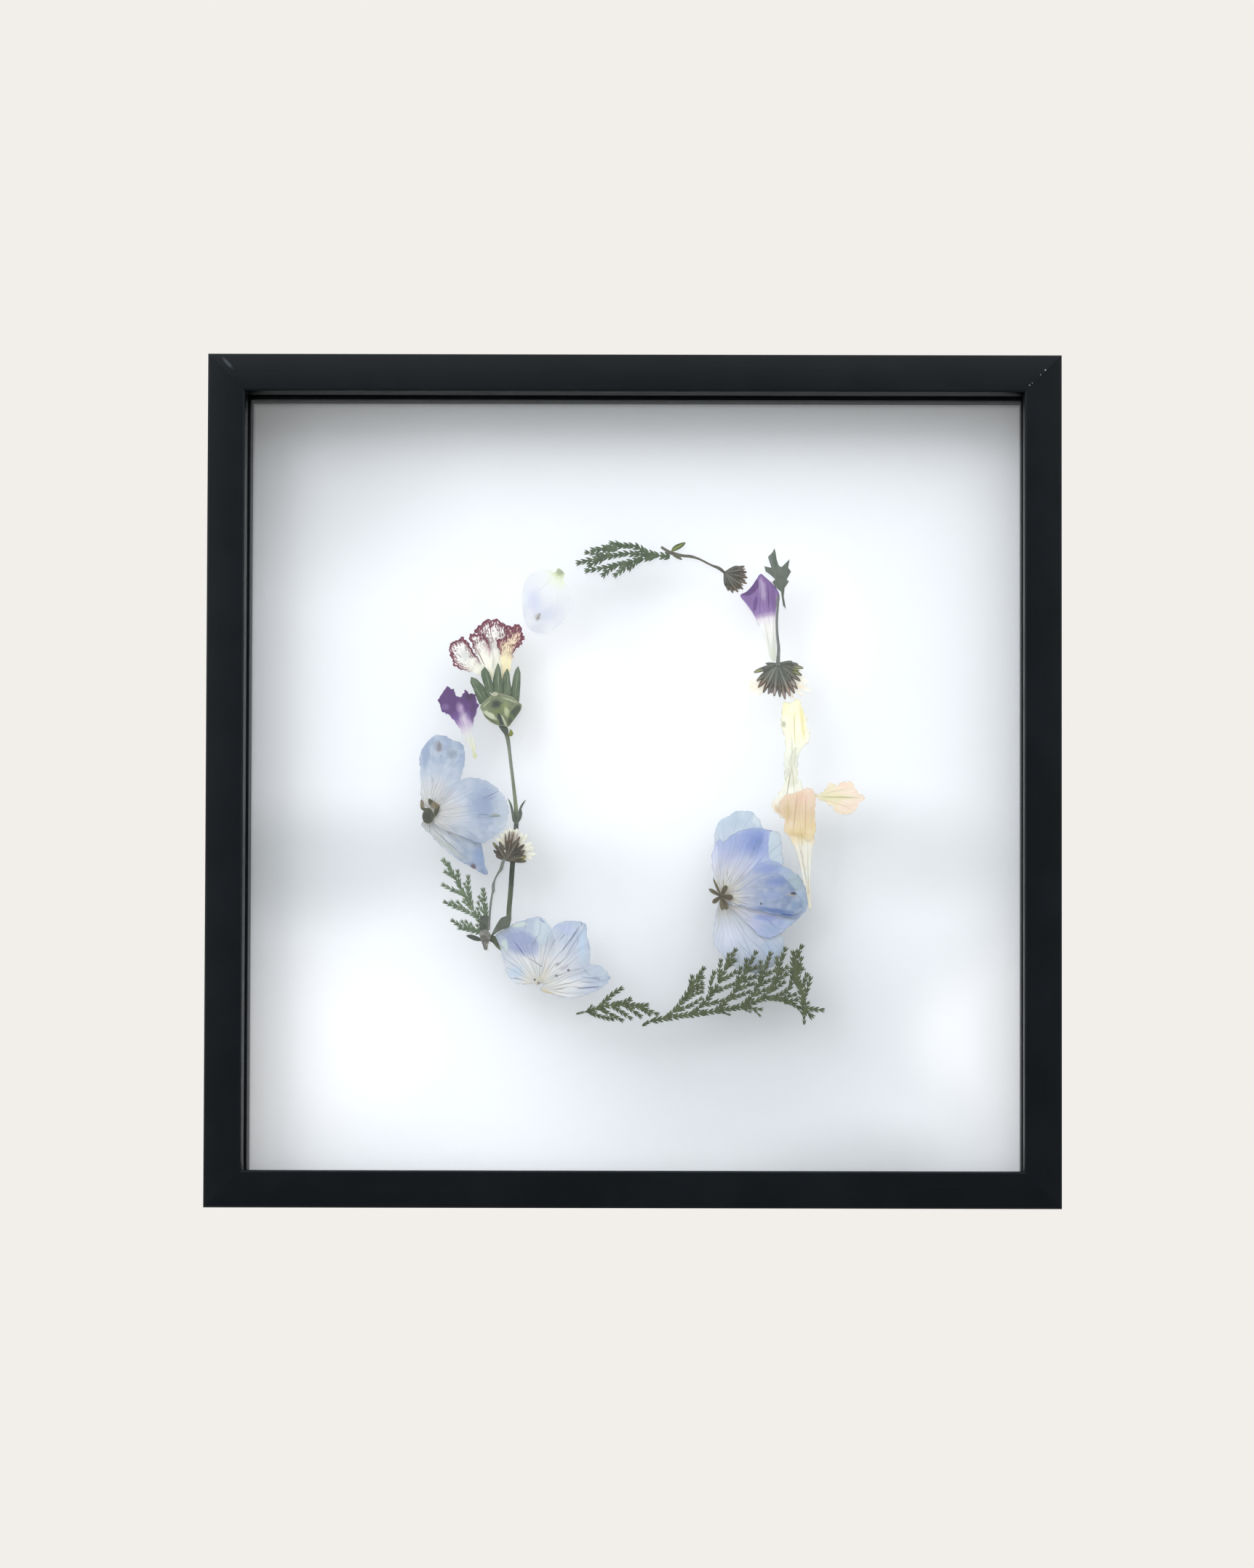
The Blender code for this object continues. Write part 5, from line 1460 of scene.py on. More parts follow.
# %% Sepals, cup and the small parts under it
CARNATION_SEPALS = [
    trace(
        647, 931, 655, 934, 662, 941, 668, 947, 676, 957, 664, 969, 659, 969, 654, 958, 650, 947,
        646, 939,
    ),
    trace(666, 917, 672, 925, 675, 933, 678, 944, 680, 957, 668, 949, 664, 940, 661, 930, 661, 923),
    trace(684, 911, 687, 919, 689, 930, 690, 942, 692, 958, 676, 956, 677, 936, 680, 922),
    trace(697, 919, 700, 927, 701, 938, 705, 957, 690, 958, 689, 942, 692, 927),
    trace(712, 916, 715, 925, 715, 940, 714, 956, 713, 966, 701, 960, 703, 944, 705, 931, 708, 921),
]
CARNATION_CUP = trace(
    660, 972, 667, 964, 673, 959, 677, 953, 682, 952, 687, 954, 694, 956, 704, 959, 714, 967, 717, 970,
    716, 977, 710, 986, 704, 994, 699, 1000, 692, 999, 684, 998, 675, 994, 667, 987, 663, 980,
)
CARNATION_BRACT = trace(685, 982, 690, 988, 696, 998, 699, 1005, 696, 1012, 689, 1005, 684, 995)
CARNATION_SIDE_BUD = trace(702, 1003, 705.5, 1009, 702, 1013, 699, 1011, 700, 1006)
grown = growth((685, 985), CARNATION_SEPALS[2])
sepals = press(
    "carnation_sepals", [sharp_loop(outline) for outline in CARNATION_SEPALS],
    ribs(grown, 22, 0.03 * MM, wave=2 * MM, seed=3), cell=FINE_CELL, thick=0.06 * MM, swell=0.05 * MM,
    swell_reach=1.3 * MM, stack=0.02 * MM,
)
sepal_green = pressed_finish(
    "dried_sepal_green", grown, 20 * MM,
    [(0.0, "#758260"), (0.35, "#5D6E54"), (0.7, "#596B54"), (0.95, "#6B7C67"), (1.0, "#7F8C74")],
    streaks=(34, 0.22), veins=[(17, 0.2, "#4B5B47", 0.45, 1.2, 1.6)], clouds=(2.5 * MM, "#7B8A72", 0.5),
    rims=[(0.3 * MM, "#3A4636", 0.8)], rough=0.6, seed=31,
    spots=[
        stroke(650, 940, 664, 964, 1.8, "#8D9A86", 0.8, 0.5),
        stroke(667, 922, 674, 950, 1.7, "#8F9C87", 0.8, 0.5),
        stroke(684, 917, 685, 950, 1.7, "#94A18B", 0.8, 0.5),
        stroke(697, 925, 699, 951, 1.6, "#8C9984", 0.8, 0.5),
        stroke(712, 921, 708, 955, 1.8, "#8F9C88", 0.8, 0.5),
        stroke(663, 944, 672, 962, 2.4, "#3F4B3B", 0.85, 0.4),
        stroke(679, 928, 678, 955, 2.2, "#414D3D", 0.85, 0.4),
        stroke(691, 930, 692, 956, 2, "#414D3D", 0.85, 0.4),
        stroke(704, 938, 703, 960, 2.4, "#3F4B3B", 0.85, 0.4),
    ],
)
settle(sepals, sepal_green, "calyx_green", "carnation_sepals")

grown = growth((690, 1002), CARNATION_CUP)
cup_relief = creased(
    ribs(grown, 7, 0.05 * MM, wave=2 * MM, seed=5),
    [(680, 960, 672, 990, 0.06 * MM), (690, 962, 690, 996, 0.05 * MM), (704, 966, 700, 996, 0.06 * MM)],
)
cup = press("carnation_cup", [smooth_loop(CARNATION_CUP)], cup_relief, cell=FINE_CELL, thick=0.1 * MM)
cup_olive = pressed_finish(
    "dried_calyx_olive", grown, 13 * MM, [(0.0, "#6F7655"), (0.5, "#7E8868"), (1.0, "#8B957A")],
    streaks=(14, 0.16), clouds=(1.6 * MM, "#6A7357", 0.5), rims=[(0.35 * MM, "#B5B89C", 0.7)], rough=0.5,
    seed=32,
    # Painted shade and highlight on the cup: the dark green patch under its top edge is painted shadow, and
    # the broad pale stroke over the lower left facet is a painted highlight.
    spots=[
        (684, 978, 9, 7, 0, "#75855A", 0.9, 0.8), (682, 969, 10, 7.5, 0, "#3C4740", 0.97, 0.8),
        (694, 971, 7, 6, 20, "#8C9A66", 0.8, 0.8), stroke(662, 975, 674, 963, 2.6, "#AEB996", 0.85, 0.5),
        stroke(663, 978, 684, 991, 9, "#CDD3B6", 0.97, 0.5),
        stroke(662, 982, 685, 999, 4, "#55614A", 0.9, 0.3), (680, 955, 6, 3, 0, "#C4C4AE", 0.9, 0.4),
        stroke(688, 959, 714, 968, 3.4, "#B0B99A", 0.85, 0.4), (697, 980, 4.5, 8, 15, "#BCC49C", 0.9, 0.5),
        stroke(714, 969, 700, 1000, 13, "#4A5448", 0.97, 0.2), (703, 986, 3.5, 8, 30, "#6D7C52", 0.7, 0.6),
        stroke(684.5, 981, 692, 1003, 6, "#3D4642", 0.98, 0.12),
        stroke(689, 983, 697, 1001, 3, "#BFC6AE", 0.95, 0.3),
    ],
)
settle(cup, cup_olive, "calyx_green", "carnation_cup")

dark_leaf = pressed_finish(
    "dried_leaf_dark", growth((690, 1010), [(690, 980)]), 60 * MM, [(0.0, "#4B564A"), (1.0, "#4B574F")],
    streaks=(40, 0.2), clouds=(1.8 * MM, "#647066", 0.6), rims=[(0.2 * MM, "#7C8673", 0.6)], rough=0.6,
    seed=33,
)
side_green = pressed_finish(
    "dried_bud_green", growth((702, 1013), CARNATION_SIDE_BUD), 3 * MM,
    [(0.0, "#6E7638"), (1.0, "#98A05C")], streaks=(6, 0.2), rough=0.6, seed=34,
)
for node, outline, finish, slot in (
    ("carnation_bract", CARNATION_BRACT, dark_leaf, "dried_leaf"),
    ("carnation_side_bud", CARNATION_SIDE_BUD, side_green, "calyx_green"),
):
    small = small_leaf(node, outline, ribs(growth(outline[0], outline), 5, 0.02 * MM), 0.08, 0.7)
    settle(small, finish, slot, node)

# %% [markdown]
# ### Carnation stem and leaves
#
# The stem is thicker and darker below its joint. One laid stem with a width at each station follows
# that, and its finish changes along the way. The two narrow leaves start at the joint.

# %% Carnation stem and leaves
CARNATION_STEM = [
    (693, 1002, 7), (697, 1014, 6), (700, 1035, 4.6), (703, 1060, 4.6), (706.5, 1088, 4.8),
    (709, 1112, 5.5), (709.5, 1132, 6.5), (707.5, 1160, 6.8), (704.5, 1190, 6.9),
    (702, 1228, 6.8), (700, 1252, 6.8), (700, 1266, 6.5),
]
CARNATION_LEAF_LEFT = trace(698, 1098, 703, 1105, 706, 1115, 710, 1132, 705, 1130, 703, 1119, 701, 1108)
CARNATION_LEAF_RIGHT = trace(
    723, 1100, 719, 1108, 717, 1113, 718, 1119, 716, 1127, 710, 1134, 712, 1124, 713, 1115, 717, 1106,
)
stem_finish = pressed_finish(
    "dried_carnation_stem", growth((693, 1002), [(705, 1260)]), 69 * MM,
    [(0.0, "#78826C"), (0.14, "#828B7F"), (0.3, "#79836F"), (0.42, "#838E6E"), (0.49, "#5E6866"),
     (0.58, "#343B33"), (0.78, "#2E352F"), (0.9, "#4A5240"), (1.0, "#566046")],
    streaks=(90, 0.2), clouds=(2 * MM, "#6F7866", 0.25), rough=0.65, seed=35,
    # The three pale strokes down the left edge of the stem are a painted highlight.
    spots=[
        stroke(692, 1006, 700, 1045, 2, "#B4BBAC", 0.8),
        stroke(700, 1040, 704.5, 1100, 1.6, "#A4AC9C", 0.8),
        stroke(701, 1205, 698.5, 1255, 1.2, "#6D7560", 0.6),
    ],
)
carnation_stem = lay_stem("carnation_stem", CARNATION_STEM)
settle(carnation_stem, stem_finish, "dried_stem", "carnation_stem")
for node, outline in (
    ("carnation_leaf_left", CARNATION_LEAF_LEFT), ("carnation_leaf_right", CARNATION_LEAF_RIGHT),
):
    narrow = small_leaf(node, outline, ribs(growth((709, 1134), outline), 9, 0.03 * MM), 0.07, 0.7)
    settle(narrow, dark_leaf, "dried_leaf", node)

# %% [markdown]
# ## Purple heart petal
#
# A single dark petal, notched at the top like a heart. The dye is nearly black at the lobes, turns
# violet, and ends in a clear white glow above a long pale foot. A plain ramp would draw a hard line
# there, so the streaks push the tints to and fro and the violet ends in a feathered edge.

# %% Purple heart petal
PURPLE_HEART = trace(
    616, 945, 623, 949, 626, 955, 631, 960, 636, 953, 640, 950, 645, 955, 654, 957, 655, 966, 658, 973,
    653, 985, 650, 996, 648, 1003, 651, 1018, 654, 1032, 656, 1043, 652, 1044, 648, 1033, 642, 1022,
    635, 1010, 629, 998, 619, 987, 609, 980, 604, 972, 602, 965, 606, 955, 610, 950,
)
grown = growth((653, 1042), PURPLE_HEART)
heart = press(
    "purple_heart_petal", [nicked(smooth_loop(PURPLE_HEART, 5), 3.0, 4.0)],
    ribs(grown, 16, 0.07 * MM, seed=6),
    cell=0.5 * MM,
)
heart_finish = pressed_finish(
    "petal_dark_purple", grown, 26.5 * MM,
    [(0.0, "#DCE3B4"), (0.15, "#E4EAD0"), (0.32, "#E6E9E6"), (0.42, "#DAD0DF"), (0.5, "#B19BC4"),
     (0.57, "#7E63A0"), (0.68, "#64487F"), (1.0, "#5F4479")],
    streaks=(24, 0.1), veins=[(15, 0.12, "#4D3563", 0.4, 0.8, 1.4)], feather=0.16, seed=40,
    spots=[
        (638, 990, 7, 13, 18, "#DDD2E2", 0.9, 0.95), (633, 975, 6, 9, 20, "#C3ADD0", 0.9, 0.95),
        stroke(649, 960, 651, 1000, 9, "#5F4875", 0.85, 0.5), (611, 958, 8, 13, 10, "#674C7C", 0.7),
        (612, 973, 7, 6, -20, "#8E75A6", 0.7), (645, 959, 8, 8, 0, "#483450", 0.85),
        (651, 974, 5, 9, 0, "#573D6B", 0.7), stroke(622, 948, 631, 962, 3, "#5B446F", 0.7),
        stroke(650, 1012, 653, 1034, 4, "#F0F2E2", 0.6),
    ],
)
settle(heart, heart_finish, "purple_petal", "purple_heart_petal")

# %% [markdown]
# ## Blue florets
#
# Three delphinium florets, pale blue, almost transparent, with fine brown veins and a cream foot. The
# left one has three sepals, the low one three and the right one six. One function makes each of them
# from its outline, foot, reach, tints, spots and creases.

# %% Left blue floret
LEFT_BLUE_TOP = trace(
    577, 1038, 582, 1028, 587, 1020, 595, 1013, 604, 1011, 613, 1013, 623, 1018, 633, 1021, 638, 1031,
    638, 1046, 635, 1062, 628, 1082, 616, 1100, 601, 1112, 590, 1112, 580, 1106, 578, 1085, 577, 1060,
)
LEFT_BLUE_SIDE = trace(
    590, 1112, 606, 1092, 624, 1079, 642, 1071, 658, 1071, 672, 1076, 684, 1085, 693, 1096, 699, 1110,
    699, 1124, 694, 1137, 684, 1147, 672, 1155, 660, 1160, 638, 1152, 614, 1142, 596, 1132,
)
LEFT_BLUE_LOW = trace(
    589, 1126, 602, 1134, 622, 1133, 642, 1138, 656, 1150, 663, 1165, 665, 1181, 670, 1203, 659, 1199,
    646, 1192, 632, 1184, 618, 1174, 605, 1163, 594, 1150, 584, 1141, 580, 1133,
)
LEFT_FOOT = (590, 1122)
BLUE_COVER = 0.74
FOOT_VEINS = (8, 0.26, "#958D70", 0.6, 0.12, 0.5)
BLUE_VEINS = (9, 0.14, "#9AA7BE", 0.4, 0.75, 1.3)
PALE_TINTS = [
    (0.0, "#CCC8B8"), (0.15, "#D2D0C8"), (0.32, "#D3D4D4"), (0.5, "#BFC7D2"), (0.7, "#ABB7C6"),
    (1.0, "#9EACBF"),
]
SIDE_TINTS = [
    (0.0, "#C2BFB2"), (0.17, "#CFCDC7"), (0.32, "#D5D7D9"), (0.5, "#C0C8D3"), (0.75, "#B3BDCA"),
    (1.0, "#C0C8D0"),
]
LOW_EDGE_TINTS = [
    (0.0, "#C2BFB2"), (0.2, "#D0D3D4"), (0.4, "#C3CAD0"), (0.6, "#A9B5C3"), (0.8, "#909FB6"),
    (1.0, "#8596B0"),
]


def blue_sepal(
    node, outline, foot, reach, tints, spots, creases=(), seed=0, veins=(FOOT_VEINS, BLUE_VEINS),
    cover=BLUE_COVER, rims=((0.22 * MM, "#9AA9C6", 0.5),),
):
    """One sepal of a delphinium floret."""
    grown = growth(foot, outline)
    relief = creased(ribs(grown, 9, 0.1 * MM, seed=seed), [(*line, 0.09 * MM) for line in creases])
    sepal = press(node, [nicked(smooth_loop(outline), 1.6, 5.0, seed)], relief)
    finish = pressed_finish(
        "petal_blue_" + node, grown, reach, tints, cover=cover, streaks=(12, 0.06), veins=veins,
        clouds=(3 * MM, "#D3DAE2", 0.45), rims=rims, spots=spots, feather=0.2, seed=seed,
    )
    settle(sepal, finish, "blue_petal", node)


blue_sepal(
    "left_blue_top", LEFT_BLUE_TOP, LEFT_FOOT, 30 * MM, PALE_TINTS, [
        (585, 1040, 7, 24, -8, "#94A3BC", 0.85, 0.9), (600, 1086, 18, 22, 0, "#CECECD", 0.6, 0.9),
        (622, 1038, 10, 8, 0, "#949EA6", 0.8, 0.9), (603, 1028, 6, 9, 0, "#8A7A4E", 0.95, 0.95),
        (604, 1024, 2.6, 3.4, 0, "#6E5B36", 0.9, 0.9), stroke(628, 1030, 632, 1062, 5, "#AEBBCF", 0.6),
    ], creases=[(590, 1105, 602, 1040), (600, 1105, 632, 1035)], seed=41,
)
blue_sepal(
    "left_blue_side", LEFT_BLUE_SIDE, LEFT_FOOT, 29 * MM, SIDE_TINTS, [
        (664, 1106, 24, 34, 0, "#95A2BE", 0.75, 1.0), (692, 1108, 16, 30, 0, "#C2CAD4", 0.6, 1.0),
        (620, 1116, 24, 9, 8, "#CACAC6", 0.7, 0.9), stroke(663, 1100, 687, 1088, 1.5, "#7984A0", 0.85, 0.4),
        stroke(668, 1101, 684, 1095, 1.3, "#808AA4", 0.8, 0.4),
        stroke(655, 1120, 676, 1122, 1.4, "#878D96", 0.8, 0.4), (681, 1122, 7, 3.4, 0, "#A1A699", 0.75),
        stroke(670, 1124, 690, 1122.5, 1.4, "#74776F", 0.85, 0.4),
        stroke(668, 1098, 675, 1084, 1.2, "#8C98B2", 0.7),
        stroke(660, 1114, 640, 1092, 1.2, "#A2AEC4", 0.6), (640, 1142, 30, 8, -25, "#CBD2DA", 0.7, 0.9),
    ], creases=[(660, 1097, 685, 1090), (655, 1121, 690, 1124), (605, 1122, 650, 1115)], seed=42,
)
blue_sepal(
    "left_blue_low", LEFT_BLUE_LOW, LEFT_FOOT, 30 * MM, LOW_EDGE_TINTS, [
        stroke(586, 1142, 642, 1186, 8, "#BCC2BC", 0.85, 0.5), (658, 1178, 9, 18, 20, "#93A6C4", 0.8, 0.9),
        (651, 1193, 5, 5.5, 0, "#7A5F30", 0.97, 0.6), stroke(588, 1134, 642, 1182, 1.8, "#8D958A", 0.85),
        stroke(600, 1140, 650, 1172, 1.6, "#A3AFBD", 0.6),
    ], creases=[(595, 1145, 645, 1180), (600, 1135, 655, 1165)], seed=43, cover=0.82,
)

LEFT_BLUE_HEART = [
    trace(590, 1112, 595, 1116, 598, 1124, 595, 1131, 589, 1134, 583, 1131, 581, 1123, 584, 1115),
    trace(579, 1101, 583, 1104, 584, 1111, 590, 1113, 586, 1117, 579, 1113),
    trace(590, 1099, 597, 1103, 605, 1110, 602, 1121, 596, 1125, 597, 1113, 590, 1107),
]
grown = growth((590, 1112), [(590, 1134)])
heart_dark = pressed_finish(
    "dried_floret_heart", grown, 7 * MM, [(0.0, "#474A3E"), (0.6, "#3E4339"), (1.0, "#4D5045")],
    streaks=(9, 0.3), clouds=(1.2 * MM, "#5E6053", 0.6), rims=[(0.25 * MM, "#8B8672", 0.7)], rough=0.7,
    seed=44,
    spots=[
        (598, 1108, 6, 9, -30, "#857A62", 0.9, 0.5), (582, 1106, 4, 8, 0, "#8A816B", 0.9, 0.5),
        stroke(598, 1102, 602, 1118, 1.4, "#57503E", 0.8),
    ],
)
left_heart = press(
    "left_blue_heart", [smooth_loop(outline) for outline in LEFT_BLUE_HEART],
    ribs(grown, 6, 0.06 * MM, wave=1.2 * MM), cell=FINE_CELL, thick=0.08 * MM, swell=0.05 * MM,
    swell_reach=0.8 * MM, stack=0.03 * MM,
)
settle(left_heart, heart_dark, "bract_brown", "left_blue_heart")

# %% [markdown]
# ### Side daisy
#
# A second small daisy, seen from its side: a bent stem, a fan of dark bracts, and white petals above
# them. It is made as the upper one is, with tips of its own.

# %% Side daisy
SIDE_DAISY_STEM = [
    (694.5, 1182, 3), (692, 1187, 4.6), (689.5, 1196, 4.6), (685.5, 1202, 3), (681, 1211, 2.6),
    (679, 1219, 4.2), (679, 1226, 4.2), (677.5, 1231, 2.8), (675.5, 1244, 3), (674, 1262, 3),
    (673, 1280, 3.4),
]
SIDE_DAISY_TIPS = trace(
    683, 1153, 689, 1146, 695, 1142, 701, 1139, 706, 1141, 711, 1140, 718, 1146, 725, 1148, 731, 1159,
    735, 1166, 737, 1175, 732, 1181,
)
SIDE_DAISY_BASE = (704, 1173)
SIDE_RAY_WIDTH = 7  # pixels
SIDE_BRACT_BASE = (697, 1184)
SIDE_BRACT_TIPS = [
    (682, 1177), (679, 1170), (678, 1159), (684, 1164), (687, 1158), (691, 1162, 4), (695, 1147, 2.6),
    (698, 1157, 4), (701, 1143, 2.6), (703, 1155), (707, 1144, 2.6), (709, 1157), (715, 1151), (714, 1160, 4),
    (721, 1162), (717, 1168, 4), (722, 1170), (720, 1174), (724, 1178), (722, 1181), (724, 1185),
]
side_stem = lay_stem("side_daisy_stem", SIDE_DAISY_STEM)
settle(side_stem, grey_stem, "dried_stem", "side_daisy_stem")
side_bracts = lay_blades(
    "side_daisy_bracts", bract, fan_of_blades(SIDE_BRACT_BASE, SIDE_BRACT_TIPS, 5, between=0.55),
)
close_and_smooth(side_bracts)
side_bract_finish = pressed_finish(
    "dried_bract_side", growth(SIDE_BRACT_BASE, SIDE_BRACT_TIPS), 10.5 * MM,
    [(0.0, "#5C594E"), (0.5, "#5B584B"), (0.8, "#61584B"), (1.0, "#756D58")], streaks=(16, 0.25),
    clouds=(2 * MM, "#5C584E", 0.5), rims=[(0.36 * MM, "#24221C", 1.0)], blades=0.5, rough=0.75, seed=46,
    spots=[
        (680, 1162, 4, 6, 10, "#AAA76E", 0.85), (721, 1182, 6, 5, 0, "#A39A62", 0.85),
        (701, 1160, 5, 6, 0, "#6B5444", 0.7), (718, 1166, 5, 8, 0, "#5E4A40", 0.6),
        (694.5, 1171, 1.4, 2, 0, "#DADBCB", 0.9),
    ],
)
settle(side_bracts, side_bract_finish, "bract_brown", "side_daisy_bracts")
side_rays = lay_blades(
    "side_daisy_petals", ray, fan_of_blades(SIDE_DAISY_BASE, SIDE_DAISY_TIPS, SIDE_RAY_WIDTH),
)
close_and_smooth(side_rays)
side_ray_finish = pressed_finish(
    "petal_daisy_white", growth(SIDE_DAISY_BASE, SIDE_DAISY_TIPS), 10 * MM,
    [(0.0, "#CFCCB8"), (0.6, "#EFEFE0"), (1.0, "#F6F7E8")], cover=0.92, streaks=(30, 0.1),
    clouds=(1.5 * MM, "#E5E6DA", 0.5), rims=[(0.14 * MM, "#C9C7B4", 0.7)], seed=47,
    spots=[
        (704, 1152, 12, 9, 5, "#CDBFB6", 0.8, 0.7), (690, 1158, 8, 8, 0, "#D8D3BE", 0.7),
        stroke(703, 1152, 705, 1142, 2, "#8C8074", 0.7, 0.4),
        stroke(710, 1154, 713, 1146, 2, "#8C7F76", 0.7, 0.4),
    ],
)
settle(side_rays, side_ray_finish, "cream_petal", "side_daisy_petals")

# %% [markdown]
# ### Left cedar and the stub
#
# A greener sprig, and beside it the cut end of a plant: a short thick stub with four small leaves.
# The sprig is a spray of scales again, and one loop makes the five parts of the stub.

# %% Left cedar and the stub below the stem
CEDAR_LEFT = [
    (6.5, 666, 1282, 657, 1262, 644, 1242, 632, 1219, 621, 1199, 608, 1181),
    (6, 658, 1262, 640, 1253, 622, 1246, 610, 1240), (5.5, 638, 1231, 622, 1224, 607, 1216),
    (5, 626, 1208, 618, 1203, 610, 1198), (5, 632, 1220, 631, 1208, 629, 1196),
    (6, 649, 1246, 645, 1226, 644, 1203), (6.5, 667, 1280, 668, 1252, 664, 1220),
    (6, 667, 1283, 650, 1281, 634, 1274, 620, 1265), (4, 642, 1254, 634, 1246, 628, 1239),
    (4, 650, 1250, 642, 1244, 636, 1239), (4, 630, 1248, 624, 1243, 620, 1238),
    (4, 645, 1228, 641, 1220, 638, 1214), (4, 645, 1240, 639, 1230, 636, 1222),
    (4, 667, 1246, 662, 1239, 658, 1232), (4, 667, 1258, 661, 1249, 657, 1240),
    (4, 666, 1268, 660, 1258, 656, 1248), (4, 646, 1279, 639, 1272, 634, 1266),
    (4, 652, 1282, 645, 1273, 640, 1266), (4, 658, 1284, 651, 1276, 647, 1269),
    (4, 664, 1284, 659, 1277, 655, 1271), (4, 644, 1279, 637, 1278, 630, 1277),
    (4, 620, 1198, 618, 1191, 618, 1186),
]
STUB_STEM = trace(
    660, 1284, 665, 1279.5, 672, 1281, 676, 1287, 674, 1295, 672, 1301, 671, 1307, 667, 1307,
    664.5, 1300, 662, 1293,
)
STUB_LEAF_TOP = trace(
    661, 1263, 667, 1259, 672, 1260, 674, 1268, 673, 1279, 670, 1285, 663, 1283, 660, 1275,
)
STUB_LEAF_LEFT = trace(642, 1288, 647, 1286, 653, 1287, 660, 1290, 666, 1294, 658, 1295, 650, 1293)
STUB_LEAF_RIGHT = trace(
    676, 1288, 682, 1275, 686, 1268, 690, 1263, 695, 1261, 703, 1257, 703, 1268, 700, 1276, 692, 1279,
    686, 1282,
)
STUB_LEAF_LOW = trace(674, 1287, 681, 1288, 685, 1295, 689, 1307, 683, 1303, 678, 1297, 673, 1294)
green_cedar = cedar_finish("dried_cedar_green", "#5C7054", "#78896E", "#455038", 3)
cedar_left = lay_blades("cedar_left", scale_leaf, spray(CEDAR_LEFT, 12))
settle(cedar_left, green_cedar, "cedar_scale", "cedar_left")

STUB_PARTS = (
    ("stub_stem", STUB_STEM, "#5E5D57", "#A3A39D", "dried_stem"),
    ("stub_leaf_top", STUB_LEAF_TOP, "#454E46", "#5C665B", "dried_leaf"),
    ("stub_leaf_left", STUB_LEAF_LEFT, "#444D45", "#5A6256", "dried_leaf"),
    ("stub_leaf_right", STUB_LEAF_RIGHT, "#50594F", "#6A7467", "dried_leaf"),
    ("stub_leaf_low", STUB_LEAF_LOW, "#454D40", "#6C7355", "dried_leaf"),
)
for seed, (node, outline, main, light, slot) in enumerate(STUB_PARTS, start=50):
    grown = growth((668, 1285), outline)
    relief = ribs(grown, 6, 0.04 * MM, wave=2 * MM, seed=seed)
    part = small_leaf(node, outline, relief, 0.06, 1.0)
    finish = pressed_finish(
        "dried_" + node, grown, 12 * MM, [(0.0, main), (1.0, main)], streaks=(12, 0.25),
        clouds=(1.6 * MM, light, 0.8), rims=[(0.25 * MM, light, 0.6)], rough=0.65, seed=seed,
    )
    settle(part, finish, slot, node)

# %% [markdown]
# ### Low blue floret
#
# Three broad sepals with a cream foot and fine brown veins. The creases where the flower folded are
# ridges in the sheet, and the drawn lines follow them.

# %% Low blue floret
LOW_BLUE_LEFT = trace(
    682, 1288, 690, 1280, 700, 1274, 712, 1268, 725, 1264, 738, 1261, 748, 1264, 756, 1275, 762, 1288,
    764, 1302, 759, 1320, 751, 1338, 742, 1354, 734, 1352, 724, 1354, 712, 1353, 703, 1347, 697, 1335,
    692, 1320, 688, 1306,
)
LOW_BLUE_TOP = trace(
    744, 1352, 745, 1334, 748, 1314, 752, 1295, 757, 1282, 764, 1273, 774, 1268, 787, 1267, 800, 1268,
    806, 1273, 808, 1286, 811, 1302, 812, 1320, 810, 1334, 798, 1341, 780, 1346, 760, 1352,
)
LOW_BLUE_RIGHT = trace(
    743, 1362, 752, 1353, 770, 1343, 790, 1335, 808, 1329, 822, 1327, 833, 1334, 839, 1344, 835, 1353,
    825, 1360, 813, 1365, 800, 1370, 784, 1372, 765, 1370,
)
LOW_TINTS = [
    (0.0, "#D2CCB2"), (0.12, "#E0DED2"), (0.38, "#E2E3E3"), (0.65, "#C7CED7"), (0.85, "#BAC4D1"),
    (1.0, "#B3C0CE"),
]
LONG_FOOT_VEINS = (6, 0.2, "#9A8D70", 0.75, 0.2, 0.7)
LONG_VEINS = (6, 0.1, "#98A0B4", 0.5, 0.8, 1.3)
blue_sepal(
    "low_blue_left", LOW_BLUE_LEFT, (741, 1354), 25 * MM, LOW_TINTS, [
        (717, 1296, 30, 19, -18, "#9EA7C6", 0.8, 0.45), (733, 1310, 12, 12, 0, "#B3BACE", 0.5, 0.9),
        (710, 1338, 17, 14, 20, "#C2D2E2", 0.85, 0.9), (728, 1333, 10, 9, 0, "#DCDFDD", 0.7, 0.9),
        stroke(701, 1274, 728, 1270, 7, "#CFDAD2", 0.9, 0.4), (694, 1301, 5.5, 10, 0, "#CDD9D4", 0.9, 0.4),
        (746, 1281, 13, 20, 15, "#C9D5DA", 0.9, 0.3), (752, 1318, 9, 20, 20, "#E4E3DD", 0.8, 0.9),
        stroke(705, 1291, 724, 1318, 2.2, "#727BA8", 0.9, 0.5),
        stroke(720, 1313, 764, 1341, 1.5, "#958F92", 0.8, 0.5),
        stroke(742, 1263, 750, 1270, 2.4, "#7C8BC0", 0.8), (735.7, 1347.7, 2, 2, 0, "#43443C", 0.95, 0.4),
        (741, 1352, 2.4, 1.8, 0, "#857450", 0.9, 0.4),
    ], creases=[(705, 1292, 742, 1345), (690, 1310, 735, 1350)], seed=61, veins=(LONG_FOOT_VEINS, LONG_VEINS),
)
